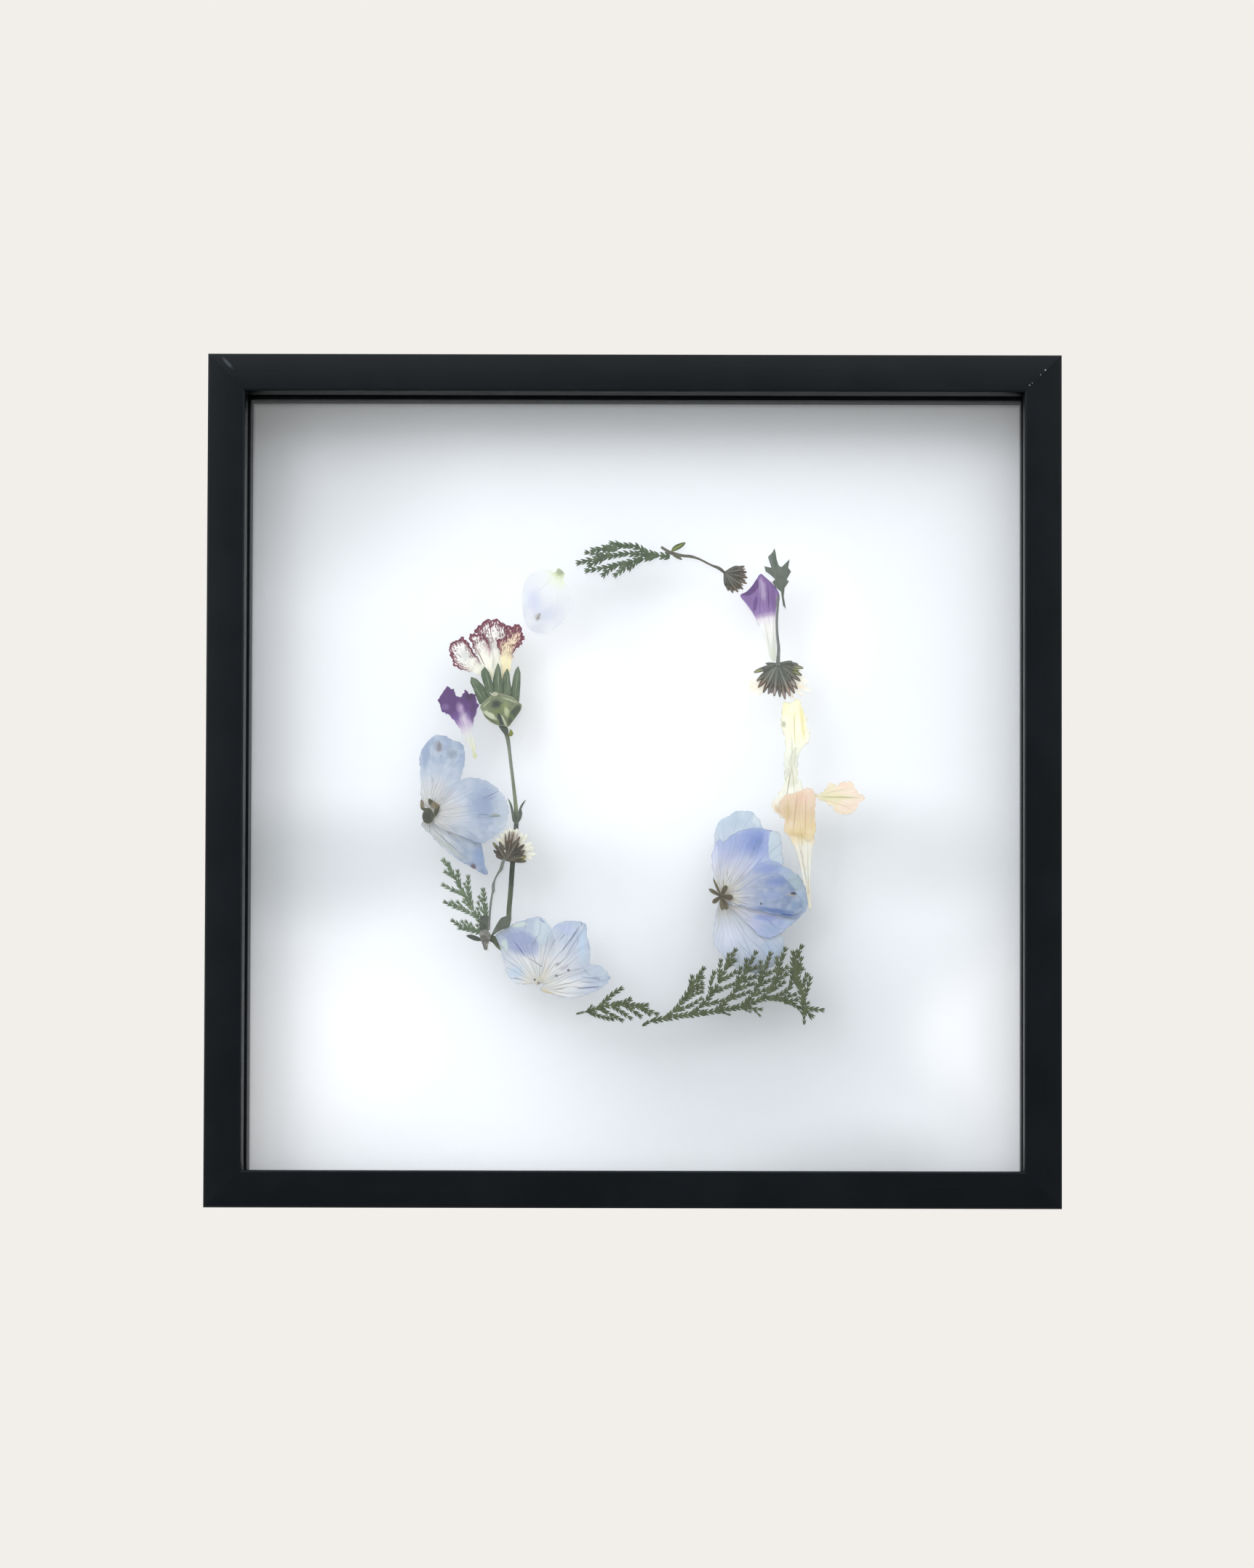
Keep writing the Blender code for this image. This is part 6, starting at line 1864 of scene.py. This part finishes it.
blue_sepal(
    "low_blue_top", LOW_BLUE_TOP, (742, 1354), 26 * MM, LOW_TINTS, [
        (778, 1278, 18, 9, -8, "#BDC5DF", 0.8, 0.9), (801, 1300, 7, 26, 0, "#C2D3E4", 0.8, 0.8),
        stroke(771, 1312.5, 800, 1270, 1.7, "#79829E", 0.9, 0.4),
        stroke(777, 1318, 797, 1286, 1.3, "#8A93AC", 0.8, 0.4),
        stroke(768, 1295, 778, 1284, 1.3, "#8A93AC", 0.8, 0.4),
        stroke(782, 1300, 796, 1277, 1.2, "#8A93AC", 0.8, 0.4), (776, 1331, 9, 4, 25, "#C3C3CA", 0.8),
        (782.4, 1334.7, 2.4, 2, 0, "#87848A", 0.95, 0.4),
        (765.6, 1342.3, 2.6, 1.8, -20, "#8F8B88", 0.9, 0.4),
        stroke(799, 1268, 801, 1273, 2, "#6F7690", 0.8, 0.4),
    ], creases=[(800, 1272, 750, 1335), (808, 1310, 756, 1345)], seed=62, veins=(LONG_FOOT_VEINS, LONG_VEINS),
)
blue_sepal(
    "low_blue_right", LOW_BLUE_RIGHT, (743, 1362), 26 * MM, LOW_TINTS, [
        (786, 1355, 26, 8, 6, "#E6E8E4", 0.8, 0.9), (829, 1341, 9, 11, 20, "#C3CED6", 0.8, 0.9),
        stroke(793, 1360, 829, 1357, 2.4, "#7F829E", 0.85, 0.4),
        stroke(798, 1343, 828, 1348, 1.3, "#979DB6", 0.8, 0.4),
        stroke(796, 1350, 826, 1352, 1.3, "#979DB6", 0.8, 0.4),
        stroke(745, 1363, 764, 1367, 2.6, "#CDB98A", 0.8, 0.7),
        stroke(802, 1331, 813, 1344, 1.4, "#99A4B4", 0.7, 0.4),
        (743.5, 1362, 2, 1.6, 0, "#77694A", 0.9, 0.4),
    ], creases=[(752, 1358, 828, 1342)], seed=63, veins=(LONG_FOOT_VEINS, LONG_VEINS),
)

# %% [markdown]
# ### Cedar sprigs along the bottom
#
# Three sprigs in a darker olive: small, large and upright. They share one finish and one loop.

# %% Cedar sprigs along the bottom
CEDAR_SMALL = [
    (3, 793, 1395, 801, 1393, 810, 1391),
    (7, 808, 1392, 830, 1385, 848, 1382, 866, 1382, 882, 1386, 907, 1396),
    (6.5, 824, 1387, 833, 1377, 843, 1368, 858, 1358), (6.5, 846, 1382, 858, 1379, 870, 1373),
    (6.5, 868, 1383, 880, 1383, 894, 1382), (5.5, 881, 1386, 888, 1391, 896, 1397),
    (6, 860, 1383, 872, 1391, 884, 1400), (6, 842, 1384, 857, 1393, 870, 1402),
    (6, 826, 1388, 842, 1396, 859, 1405), (6, 810, 1392, 826, 1398, 847, 1403),
    (3.5, 808, 1392, 812, 1387, 815, 1382),
]
CEDAR_LARGE = [
    (4.5, 884, 1411, 892, 1406, 900, 1403),
    (8, 898, 1404, 918, 1400, 945, 1396, 975, 1392, 1005, 1387, 1028, 1382, 1048, 1374, 1066, 1373,
     1086, 1378, 1102, 1388),
    (7, 916, 1400, 932, 1386, 945, 1367, 957, 1348, 970, 1329),
    (7, 952, 1394, 968, 1380, 984, 1360, 997, 1334, 1014, 1302),
    (7, 984, 1390, 1000, 1377, 1014, 1358, 1027, 1334, 1041, 1307),
    (7, 1020, 1384, 1034, 1370, 1045, 1350, 1053, 1330, 1061, 1307),
    (7, 1046, 1375, 1060, 1360, 1069, 1342, 1074, 1322, 1081, 1302),
    (7, 1060, 1374, 1076, 1366, 1086, 1358, 1090, 1340), (6, 951, 1360, 951, 1350, 953, 1340),
    (6, 978, 1370, 978, 1352, 984, 1334), (6, 990, 1350, 990, 1334, 992, 1318),
    (6, 1000, 1332, 1001, 1320, 1003, 1310), (6, 1014, 1360, 1016, 1342, 1020, 1328),
    (6, 1026, 1340, 1026, 1327, 1027, 1317), (6, 1046, 1352, 1046, 1336, 1046, 1320),
    (6, 1070, 1342, 1069, 1327, 1068, 1314), (6, 958, 1350, 963, 1346, 969, 1342),
    (6, 951, 1359, 960, 1355, 969, 1351), (6, 946, 1367, 957, 1361, 969, 1357),
    (6, 941, 1376, 954, 1368, 969, 1363), (6, 930, 1390, 950, 1383, 967, 1372),
    (6, 1001, 1330, 1007, 1324, 1014, 1321), (6, 993, 1348, 1004, 1342, 1014, 1335),
    (6, 984, 1364, 998, 1358, 1013, 1352), (6, 970, 1382, 990, 1377, 1012, 1369),
    (6, 1029, 1336, 1036, 1332, 1043, 1331), (6, 1022, 1350, 1032, 1345, 1042, 1342),
    (6, 1015, 1361, 1028, 1355, 1040, 1352), (6, 1006, 1373, 1020, 1368, 1033, 1363),
    (6, 1052, 1342, 1060, 1337, 1068, 1334), (6, 1045, 1355, 1056, 1349, 1067, 1345),
    (6, 1037, 1369, 1048, 1363, 1060, 1358), (6, 1072, 1340, 1078, 1333, 1085, 1329),
    (6, 1066, 1351, 1075, 1344, 1085, 1337), (6, 1060, 1363, 1070, 1356, 1081, 1349),
    (6, 1072, 1376, 1084, 1370, 1096, 1367), (6, 1078, 1379, 1090, 1376, 1099, 1374),
    (5, 1022, 1385, 1036, 1387, 1049, 1388), (3, 1036, 1388, 1041, 1392, 1046, 1398),
    (3, 1018, 1385, 1026, 1389, 1034, 1392), (3, 986, 1391, 996, 1393, 1005, 1396),
]
CEDAR_UPRIGHT = [
    (4, 1106, 1409, 1106, 1402, 1106, 1396),
    (8, 1106, 1396, 1103, 1372, 1098, 1350, 1095, 1328, 1096, 1314, 1104, 1299),
    (8, 1099, 1356, 1093, 1340, 1091, 1324, 1091, 1307), (6.5, 1103, 1378, 1110, 1360, 1115, 1342),
    (6.5, 1101, 1366, 1105, 1352, 1111, 1337), (6.5, 1096, 1340, 1101, 1334, 1107, 1332),
    (6.5, 1095, 1335, 1100, 1325, 1102, 1315), (6.5, 1106, 1386, 1120, 1388, 1134, 1389),
    (6.5, 1106, 1388, 1112, 1394, 1119, 1399), (4, 1105, 1382, 1109, 1380, 1114, 1379),
    (6.5, 1097, 1352, 1091, 1342, 1087, 1332),
]
olive_cedar = cedar_finish("dried_cedar_olive", "#444F30", "#5E6848", "#363C24", 4)
for seed, (node, branches) in enumerate(
    (("cedar_small", CEDAR_SMALL), ("cedar_large", CEDAR_LARGE), ("cedar_upright", CEDAR_UPRIGHT)), start=13,
):
    sprig = lay_blades(node, scale_leaf, spray(branches, seed))
    settle(sprig, olive_cedar, "cedar_scale", node)

# %% [markdown]
# ### Right blue floret
#
# The largest floret: six sepals round a dark star. They overlap, each at its own angle, so each is a
# sheet of its own. The star is laid from blades, as its arms are narrow, pointed and folded.

# %% Right blue floret
RIGHT_BLUE_TOP = trace(
    1010, 1116, 1022, 1114, 1034, 1116, 1043, 1124, 1048, 1134, 1050, 1146, 1042, 1172, 1022, 1202,
    1002, 1228, 990, 1230, 985, 1212, 985, 1190, 987, 1170, 983, 1156, 983, 1142, 988, 1131, 999, 1122,
)
RIGHT_BLUE_UPPER = trace(
    988, 1228, 982, 1210, 979, 1190, 979, 1174, 984, 1160, 989, 1154, 996, 1158, 1004, 1149, 1016, 1143,
    1030, 1140, 1044, 1138, 1058, 1141, 1071, 1145, 1075, 1158, 1075, 1172, 1077, 1187, 1066, 1203,
    1038, 1220, 1006, 1232,
)
RIGHT_BLUE_WIDE = trace(
    1000, 1236, 1016, 1212, 1034, 1196, 1050, 1185, 1065, 1184, 1077, 1191, 1091, 1198, 1101, 1207,
    1107, 1221, 1111, 1238, 1108, 1252, 1097, 1262, 1084, 1262, 1060, 1256, 1030, 1249, 1006, 1242,
)
RIGHT_BLUE_INNER = trace(
    1003, 1238, 1020, 1222, 1036, 1211, 1052, 1204, 1066, 1201, 1077, 1206, 1086, 1216, 1096, 1229,
    1103, 1241, 1102, 1251, 1093, 1259, 1080, 1260, 1058, 1255, 1032, 1249,
)
RIGHT_BLUE_LOWER = trace(
    1001, 1244, 1020, 1247, 1045, 1250, 1070, 1255, 1090, 1256, 1101, 1257, 1096, 1265, 1086, 1273,
    1076, 1281, 1066, 1287, 1055, 1289, 1043, 1284, 1032, 1274, 1018, 1260,
)
RIGHT_BLUE_BOTTOM = trace(
    991, 1238, 1004, 1242, 1024, 1252, 1050, 1262, 1070, 1274, 1077, 1292, 1076, 1310, 1066, 1325,
    1050, 1336, 1030, 1338, 1011, 1330, 998, 1318, 988, 1306, 982, 1294, 982, 1274, 985, 1254,
)
STAR_MIDDLE = (992, 1233)
STAR_ARMS = [
    (975, 1223, 5), (981, 1209, 3), (999, 1218, 7), (1008, 1235, 8), (1000, 1251, 8),
    (994, 1252, 6), (980, 1242, 6),
]
RIGHT_TINTS = [(0.0, "#CFCABB"), (0.14, "#DEDCD2"), (0.3, "#D4D8DA"), (0.55, "#C8D0D9"), (1.0, "#BAC9D4")]
DEEP_TINTS = [
    (0.0, "#CFCABB"), (0.16, "#E2E0D6"), (0.3, "#DBDCE2"), (0.48, "#D0D5E6"), (0.75, "#B1BCDC"),
    (1.0, "#A5B2D6"),
]
GREY_TINTS = [(0.0, "#CFCABB"), (0.16, "#E0DED4"), (0.32, "#D0D4DC"), (0.6, "#B7C2D8"), (1.0, "#AEBECE")]
INNER_TINTS = [
    (0.0, "#CFCABB"), (0.16, "#DEDBCF"), (0.3, "#C6CBD8"), (0.5, "#A9B4CA"), (0.8, "#96A4BC"),
    (1.0, "#8D9DB4"),
]
BOTTOM_TINTS = [
    (0.0, "#CFCABB"), (0.14, "#D2D1CA"), (0.3, "#CFD4D9"), (0.5, "#CED5DF"), (0.8, "#C4CDD9"),
    (1.0, "#B1BDC7"),
]
DARK_EDGE = ((0.24 * MM, "#8A99BE", 0.7),)
blue_sepal(
    "right_blue_top", RIGHT_BLUE_TOP, STAR_MIDDLE, 32 * MM, RIGHT_TINTS, [
        (1008, 1130, 14, 12, 0, "#B8C9D5", 0.7), (1040, 1128, 6, 10, 20, "#D6DFE1", 0.8),
        (990, 1166, 5, 14, 0, "#A9B4DA", 0.8), (986, 1200, 5, 22, 0, "#DBDFE2", 0.7),
    ], creases=[(994, 1215, 1020, 1130), (990, 1200, 995, 1140)], seed=71,
)
blue_sepal(
    "right_blue_upper", RIGHT_BLUE_UPPER, STAR_MIDDLE, 32 * MM, DEEP_TINTS, [
        (1022, 1160, 34, 18, 15, "#B4BFE1", 0.8, 0.9), (1042, 1160, 22, 26, 20, "#96A5D2", 0.75, 1.0),
        (1069, 1166, 13, 32, 0, "#CDD8DF", 0.97, 0.1), (1002, 1176, 14, 10, 30, "#C6CAE2", 0.7, 0.9),
        (1068, 1147, 6, 5, 0, "#CBD5D6", 0.7), stroke(1056, 1170, 1030, 1200, 3, "#A3AFDC", 0.7),
        (1004, 1206, 14, 14, 0, "#DFE0E0", 0.8, 1.0), stroke(1054, 1141, 1068, 1143, 1.6, "#667094", 0.8),
    ], creases=[(1000, 1222, 1060, 1160), (998, 1215, 1035, 1150)], seed=72, rims=DARK_EDGE,
)
blue_sepal(
    "right_blue_wide", RIGHT_BLUE_WIDE, STAR_MIDDLE, 32 * MM, GREY_TINTS, [
        (1055, 1194, 25, 10, 5, "#A9B6DA", 0.8, 1.0), (1093, 1214, 13, 17, -10, "#B0C0C6", 0.9, 0.5),
        (1103, 1243, 7, 12, 0, "#A9BDD0", 0.7),
    ], creases=[(1010, 1232, 1095, 1205)], seed=73, rims=DARK_EDGE,
)
blue_sepal(
    "right_blue_inner", RIGHT_BLUE_INNER, STAR_MIDDLE, 30 * MM, INNER_TINTS, [
        (1066, 1213, 21, 10, 5, "#95A4CF", 0.8, 1.0), (1060, 1232, 20, 9, 5, "#AFBBDC", 0.7, 0.9),
        stroke(1031, 1247, 1095, 1256.5, 9, "#7E8FB6", 0.9, 0.7), (1089, 1231, 9, 2.4, 0, "#B9AFA0", 0.7),
        stroke(1086, 1228.5, 1098, 1228.5, 4.4, "#5C5A42", 0.95, 0.5),
        stroke(1096, 1231, 1102, 1234, 1.3, "#D5D2BE", 0.8),
        (1046.6, 1242.8, 1.8, 1.8, 0, "#3F4048", 0.95, 0.4), (1093, 1244, 8, 8, 0, "#9BB0C6", 0.7),
        stroke(1072, 1257, 1091, 1259, 3, "#667AA0", 0.9, 0.4),
    ], creases=[(1012, 1236, 1090, 1225), (1031, 1247, 1095, 1256)], seed=74, cover=0.84, rims=DARK_EDGE,
)
blue_sepal(
    "right_blue_lower", RIGHT_BLUE_LOWER, STAR_MIDDLE, 30 * MM, DEEP_TINTS, [
        (1052, 1262, 19, 5, -5, "#A6B4DE", 0.8), (1062, 1278, 15, 9, 0, "#B6C6DA", 0.85, 0.8),
        (1086, 1265, 12, 7, 0, "#BCCBDA", 0.85),
    ], creases=[(1005, 1246, 1075, 1272)], seed=75, cover=0.78,
)
blue_sepal(
    "right_blue_bottom", RIGHT_BLUE_BOTTOM, STAR_MIDDLE, 30 * MM, BOTTOM_TINTS, [
        (1003, 1285, 20, 20, 0, "#DCE0EC", 0.85, 0.9), (1058, 1304, 16, 15, 0, "#C0CCDE", 0.8),
        (1012, 1326, 17, 9, -30, "#D6DEE2", 0.7), stroke(1010, 1290, 1050, 1332, 1.3, "#9AA6BC", 0.6),
        stroke(1020, 1285, 1036, 1320, 1.2, "#A3AEC2", 0.6),
    ], creases=[(996, 1248, 1025, 1325), (1005, 1248, 1060, 1310)], seed=76, cover=0.76,
)
STAR_FULLNESS = 1.12  # the arms are this much wider than their drawn width, as a blade tapers

star = lay_blades("right_blue_heart", bract, [
    (STAR_MIDDLE, (x, y), width * STAR_FULLNESS, (index % 3 - 1) * 0.05 * MM)
    for index, (x, y, width) in enumerate(STAR_ARMS)
])
close_and_smooth(star)
star_finish = pressed_finish(
    "dried_floret_star", (*on_glass(STAR_MIDDLE), 0.0), 6.5 * MM,
    [(0.0, "#443F33"), (0.5, "#5D5443"), (1.0, "#7C7960")], streaks=(5, 0.3),
    clouds=(1 * MM, "#50513F", 0.6), rims=[(0.16 * MM, "#96907A", 0.6)], rough=0.7, seed=77,
)
settle(star, star_finish, "bract_brown", "right_blue_heart")

# %% [markdown]
# ## Peach, cream and yellow florets
#
# Tubular florets pressed flat. The peach one is warm, with honey-coloured folds where it is thickest.
# The cream and the yellow one are nearly colourless: only their edges and folds show.

# %% Peach floret and petals
PEACH_BELL_MOUTH = trace(
    1098, 1088, 1108, 1084, 1116, 1085, 1120, 1091, 1122, 1105, 1120, 1120, 1121, 1135, 1120, 1149,
    1113, 1157, 1104, 1152, 1092, 1149, 1080, 1146, 1078, 1138, 1080, 1128, 1075, 1120, 1072, 1110,
    1074, 1100, 1081, 1094,
)
PEACH_BELL_TUBES = [
    trace(
        1084, 1145, 1102, 1148, 1102, 1165, 1104, 1181, 1107, 1200, 1113, 1225, 1109, 1227, 1103, 1206,
        1100, 1187, 1093, 1165,
    ),
    trace(
        1099, 1147, 1119, 1149, 1117, 1170, 1115, 1190, 1114, 1215, 1116, 1246, 1112, 1248, 1109, 1222,
        1107, 1196, 1103, 1174,
    ),
]
PEACH_PETALS = trace(
    1119, 1091, 1130, 1090, 1137, 1081, 1143, 1075, 1151, 1078, 1160, 1075, 1171, 1076, 1176, 1083,
    1181, 1091, 1191, 1097, 1181, 1103, 1179, 1110, 1172, 1116, 1160, 1119, 1150, 1116, 1146, 1109,
    1135, 1103, 1126, 1100,
)
grown = growth((1113, 1250), PEACH_BELL_MOUTH)
peach_floret = press(
    "peach_bell",
    [nicked(smooth_loop(outline), 1.8, 6.0) for outline in (PEACH_BELL_MOUTH, *PEACH_BELL_TUBES)],
    creased(ribs(grown, 26, 0.07 * MM, wave=4 * MM, seed=8), [
        (1095, 1090, 1090, 1145, 0.06 * MM), (1108, 1088, 1108, 1150, 0.06 * MM),
    ]),
    cell=0.5 * MM, thick=0.1 * MM, stack=0.04 * MM,
)
peach_finish = pressed_finish(
    "petal_peach", grown, 43 * MM,
    [(0.0, "#DDE0D0"), (0.3, "#EAEEE6"), (0.52, "#EEEFE4"), (0.6, "#EBDEB6"), (0.68, "#E7D5AC"),
     (0.8, "#E2CFAF"), (0.92, "#EAD6BF"), (1.0, "#EED9C6")],
    cover=0.86, streaks=(60, 0.05), veins=[(34, 0.16, "#CFB792", 0.35, 1.2, 1.6)],
    clouds=(5 * MM, "#F1E4CE", 0.5), rims=[(0.25 * MM, "#CDB59A", 0.6)], seed=80,
    spots=[
        (1098, 1144, 18, 8, 0, "#E3D0A2", 0.7), (1112, 1148, 7, 8, 0, "#F3E6C2", 0.6),
        (1104, 1098, 14, 10, 0, "#EFD2BF", 0.7, 0.9), (1083, 1118, 8, 16, 0, "#DCC8A4", 0.7),
        stroke(1096, 1090, 1090, 1146, 2, "#C9A988", 0.8, 0.5),
        stroke(1108, 1088, 1107, 1152, 1.8, "#CFAE8E", 0.8, 0.5),
        stroke(1084, 1098, 1082, 1140, 1.4, "#CDB48F", 0.7, 0.5),
        stroke(1116, 1090, 1116, 1150, 1.3, "#D6BFA0", 0.7),
        stroke(1097, 1152, 1111, 1224, 1.4, "#B5B5A3", 0.7, 0.5),
        stroke(1110, 1152, 1112, 1240, 1.3, "#B8B6A3", 0.7, 0.5),
    ],
)
settle(peach_floret, peach_finish, "peach_petal", "peach_bell")
grown = growth((1120, 1096), PEACH_PETALS)
peach_petals = press(
    "peach_petals", [nicked(smooth_loop(PEACH_PETALS), 3.0, 5.0)],
    ribs(grown, 9, 0.08 * MM, wave=3 * MM, seed=9),
    cell=0.5 * MM,
)
peach_petal_finish = pressed_finish(
    "petal_peach_pink", grown, 19 * MM,
    [(0.0, "#E1DDB2"), (0.25, "#E9E2BF"), (0.6, "#F0E1CA"), (1.0, "#EED9C8")],
    cover=0.78, streaks=(12, 0.05), veins=[(9, 0.12, "#D9C3A8", 0.5, 0.8, 1.4)],
    clouds=(4 * MM, "#F4EBDD", 0.6), rims=[(0.25 * MM, "#DBBFA9", 0.5)], seed=81,
    spots=[
        (1158, 1080, 12, 5, 0, "#F2D9C6", 0.6), (1165, 1109, 12, 6, 0, "#EFDACB", 0.6),
        (1148, 1096, 26, 6, 0, "#E6E2BC", 0.7, 0.9), stroke(1120, 1095, 1189, 1097, 3, "#B9BC8C", 0.8, 0.6),
        stroke(1124, 1093, 1172, 1082, 1.4, "#CDBE9A", 0.7),
        stroke(1124, 1098, 1170, 1110, 1.4, "#CDBE9A", 0.7),
    ],
)
settle(peach_petals, peach_petal_finish, "peach_petal", "peach_petals")

# %% [markdown]
# ### Cream and yellow florets
#
# Two pale tubes pressed flat. They are drawn lying down and stood upright by one turn about a pivot,
# which carries the outline, the foot and the spots round together.

# %% Cream and yellow florets
CREAM_BELL = trace(
    990, 1096, 1006, 1097, 1020, 1095, 1034, 1092, 1043, 1086, 1052, 1084, 1066, 1087, 1080, 1092,
    1087, 1101, 1087, 1115, 1078, 1125, 1070, 1129, 1061, 1125, 1052, 1118, 1042, 1114, 1032, 1109,
    1018, 1105, 1004, 1104,
)
YELLOW_BELL = trace(
    922, 1091, 935, 1087, 948, 1083, 960, 1080, 972, 1077, 981, 1079, 986, 1086, 998, 1090, 1012, 1094,
    1026, 1095, 1040, 1093, 1042, 1108, 1030, 1111, 1014, 1112, 1000, 1111, 988, 1109, 972, 1112,
    957, 1117, 944, 1115, 929, 1113, 926, 1102,
)
BELL_TURN = math.radians(90)
BELL_PIVOT = (1082, 1108)
BELL_DROP = 12  # pixels


def turned_bell(points):
    """Stands a bell's outline upright about the pivot."""
    turned = []
    for x, y in points:
        dx, dy = x - BELL_PIVOT[0], y - BELL_PIVOT[1]
        turned.append((
            BELL_PIVOT[0] + dx * math.cos(BELL_TURN) - dy * math.sin(BELL_TURN),
            BELL_PIVOT[1] + dx * math.sin(BELL_TURN) + dy * math.cos(BELL_TURN) + BELL_DROP,
        ))
    return turned


def turned_spot(x, y, half_wide, half_high, degrees, tint, strength):
    """A spot of the outline before its turn, carried round with it."""
    (place,) = turned_bell([(x, y)])
    return (*place, half_wide, half_high, degrees - math.degrees(BELL_TURN), tint, strength)


PALE_BELLS = {
    "cream_bell": (
        CREAM_BELL, (988, 1100), 26 * MM, "cream_petal",
        [(0.0, "#E3E4D8"), (0.4, "#EEEFE2"), (0.7, "#EFEEE0"), (1.0, "#F3EBD8")], [
            (1060, 1088, 18, 3, -8, "#D9CFB2", 0.8), (1075, 1121, 11, 5, 35, "#D8BF9A", 0.8),
            (1040, 1106, 30, 1.3, -10, "#BDB6A4", 0.8), (1068, 1103, 12, 8, 0, "#FBF4E0", 0.7),
            (1030, 1100, 34, 1.2, 6, "#CFCDBC", 0.7),
        ],
    ),
    "yellow_bell": (
        YELLOW_BELL, (1043, 1101), 31 * MM, "yellow_petal",
        [(0.0, "#DDE0D6"), (0.35, "#E9ECDF"), (0.55, "#F3F3DA"), (0.8, "#F8F6D4"), (1.0, "#F3EFC4")], [
            (955, 1087, 32, 3, 6, "#ECE2A6", 0.85), (957, 1113, 6, 4, 0, "#B7BBA6", 0.85),
            (960, 1098, 30, 1.2, 2, "#D6CE9C", 0.8), (935, 1102, 12, 8, 0, "#FAF8DE", 0.6),
            (1000, 1101, 36, 1.2, 1, "#CFD1BE", 0.8),
        ],
    ),
}
for seed, (node, (outline, foot, reach, slot, tints, spots)) in enumerate(PALE_BELLS.items(), start=90):
    upright = turned_bell(outline)
    (foot_up,) = turned_bell([foot])
    grown = growth(foot_up, upright)
    floret = press(
        node, [nicked(smooth_loop(upright), 2.4, 6.0, seed)],
        ribs(grown, 16, 0.08 * MM, wave=4 * MM, seed=seed),
        cell=0.5 * MM,
    )
    finish = pressed_finish(
        "petal_" + node, grown, reach, tints, cover=0.7, streaks=(30, 0.04),
        veins=[(16, 0.14, "#D6D3C0", 0.5, 1.0, 1.5)], clouds=(4 * MM, "#F8F8EE", 0.5),
        rims=[(0.28 * MM, "#C4BEA2", 0.75)],
        spots=[turned_spot(*spot) for spot in spots], seed=seed,
    )
    settle(floret, finish, slot, node)

for master in (scale_leaf, bract, ray):
    bpy.data.objects.remove(master, do_unlink=True)
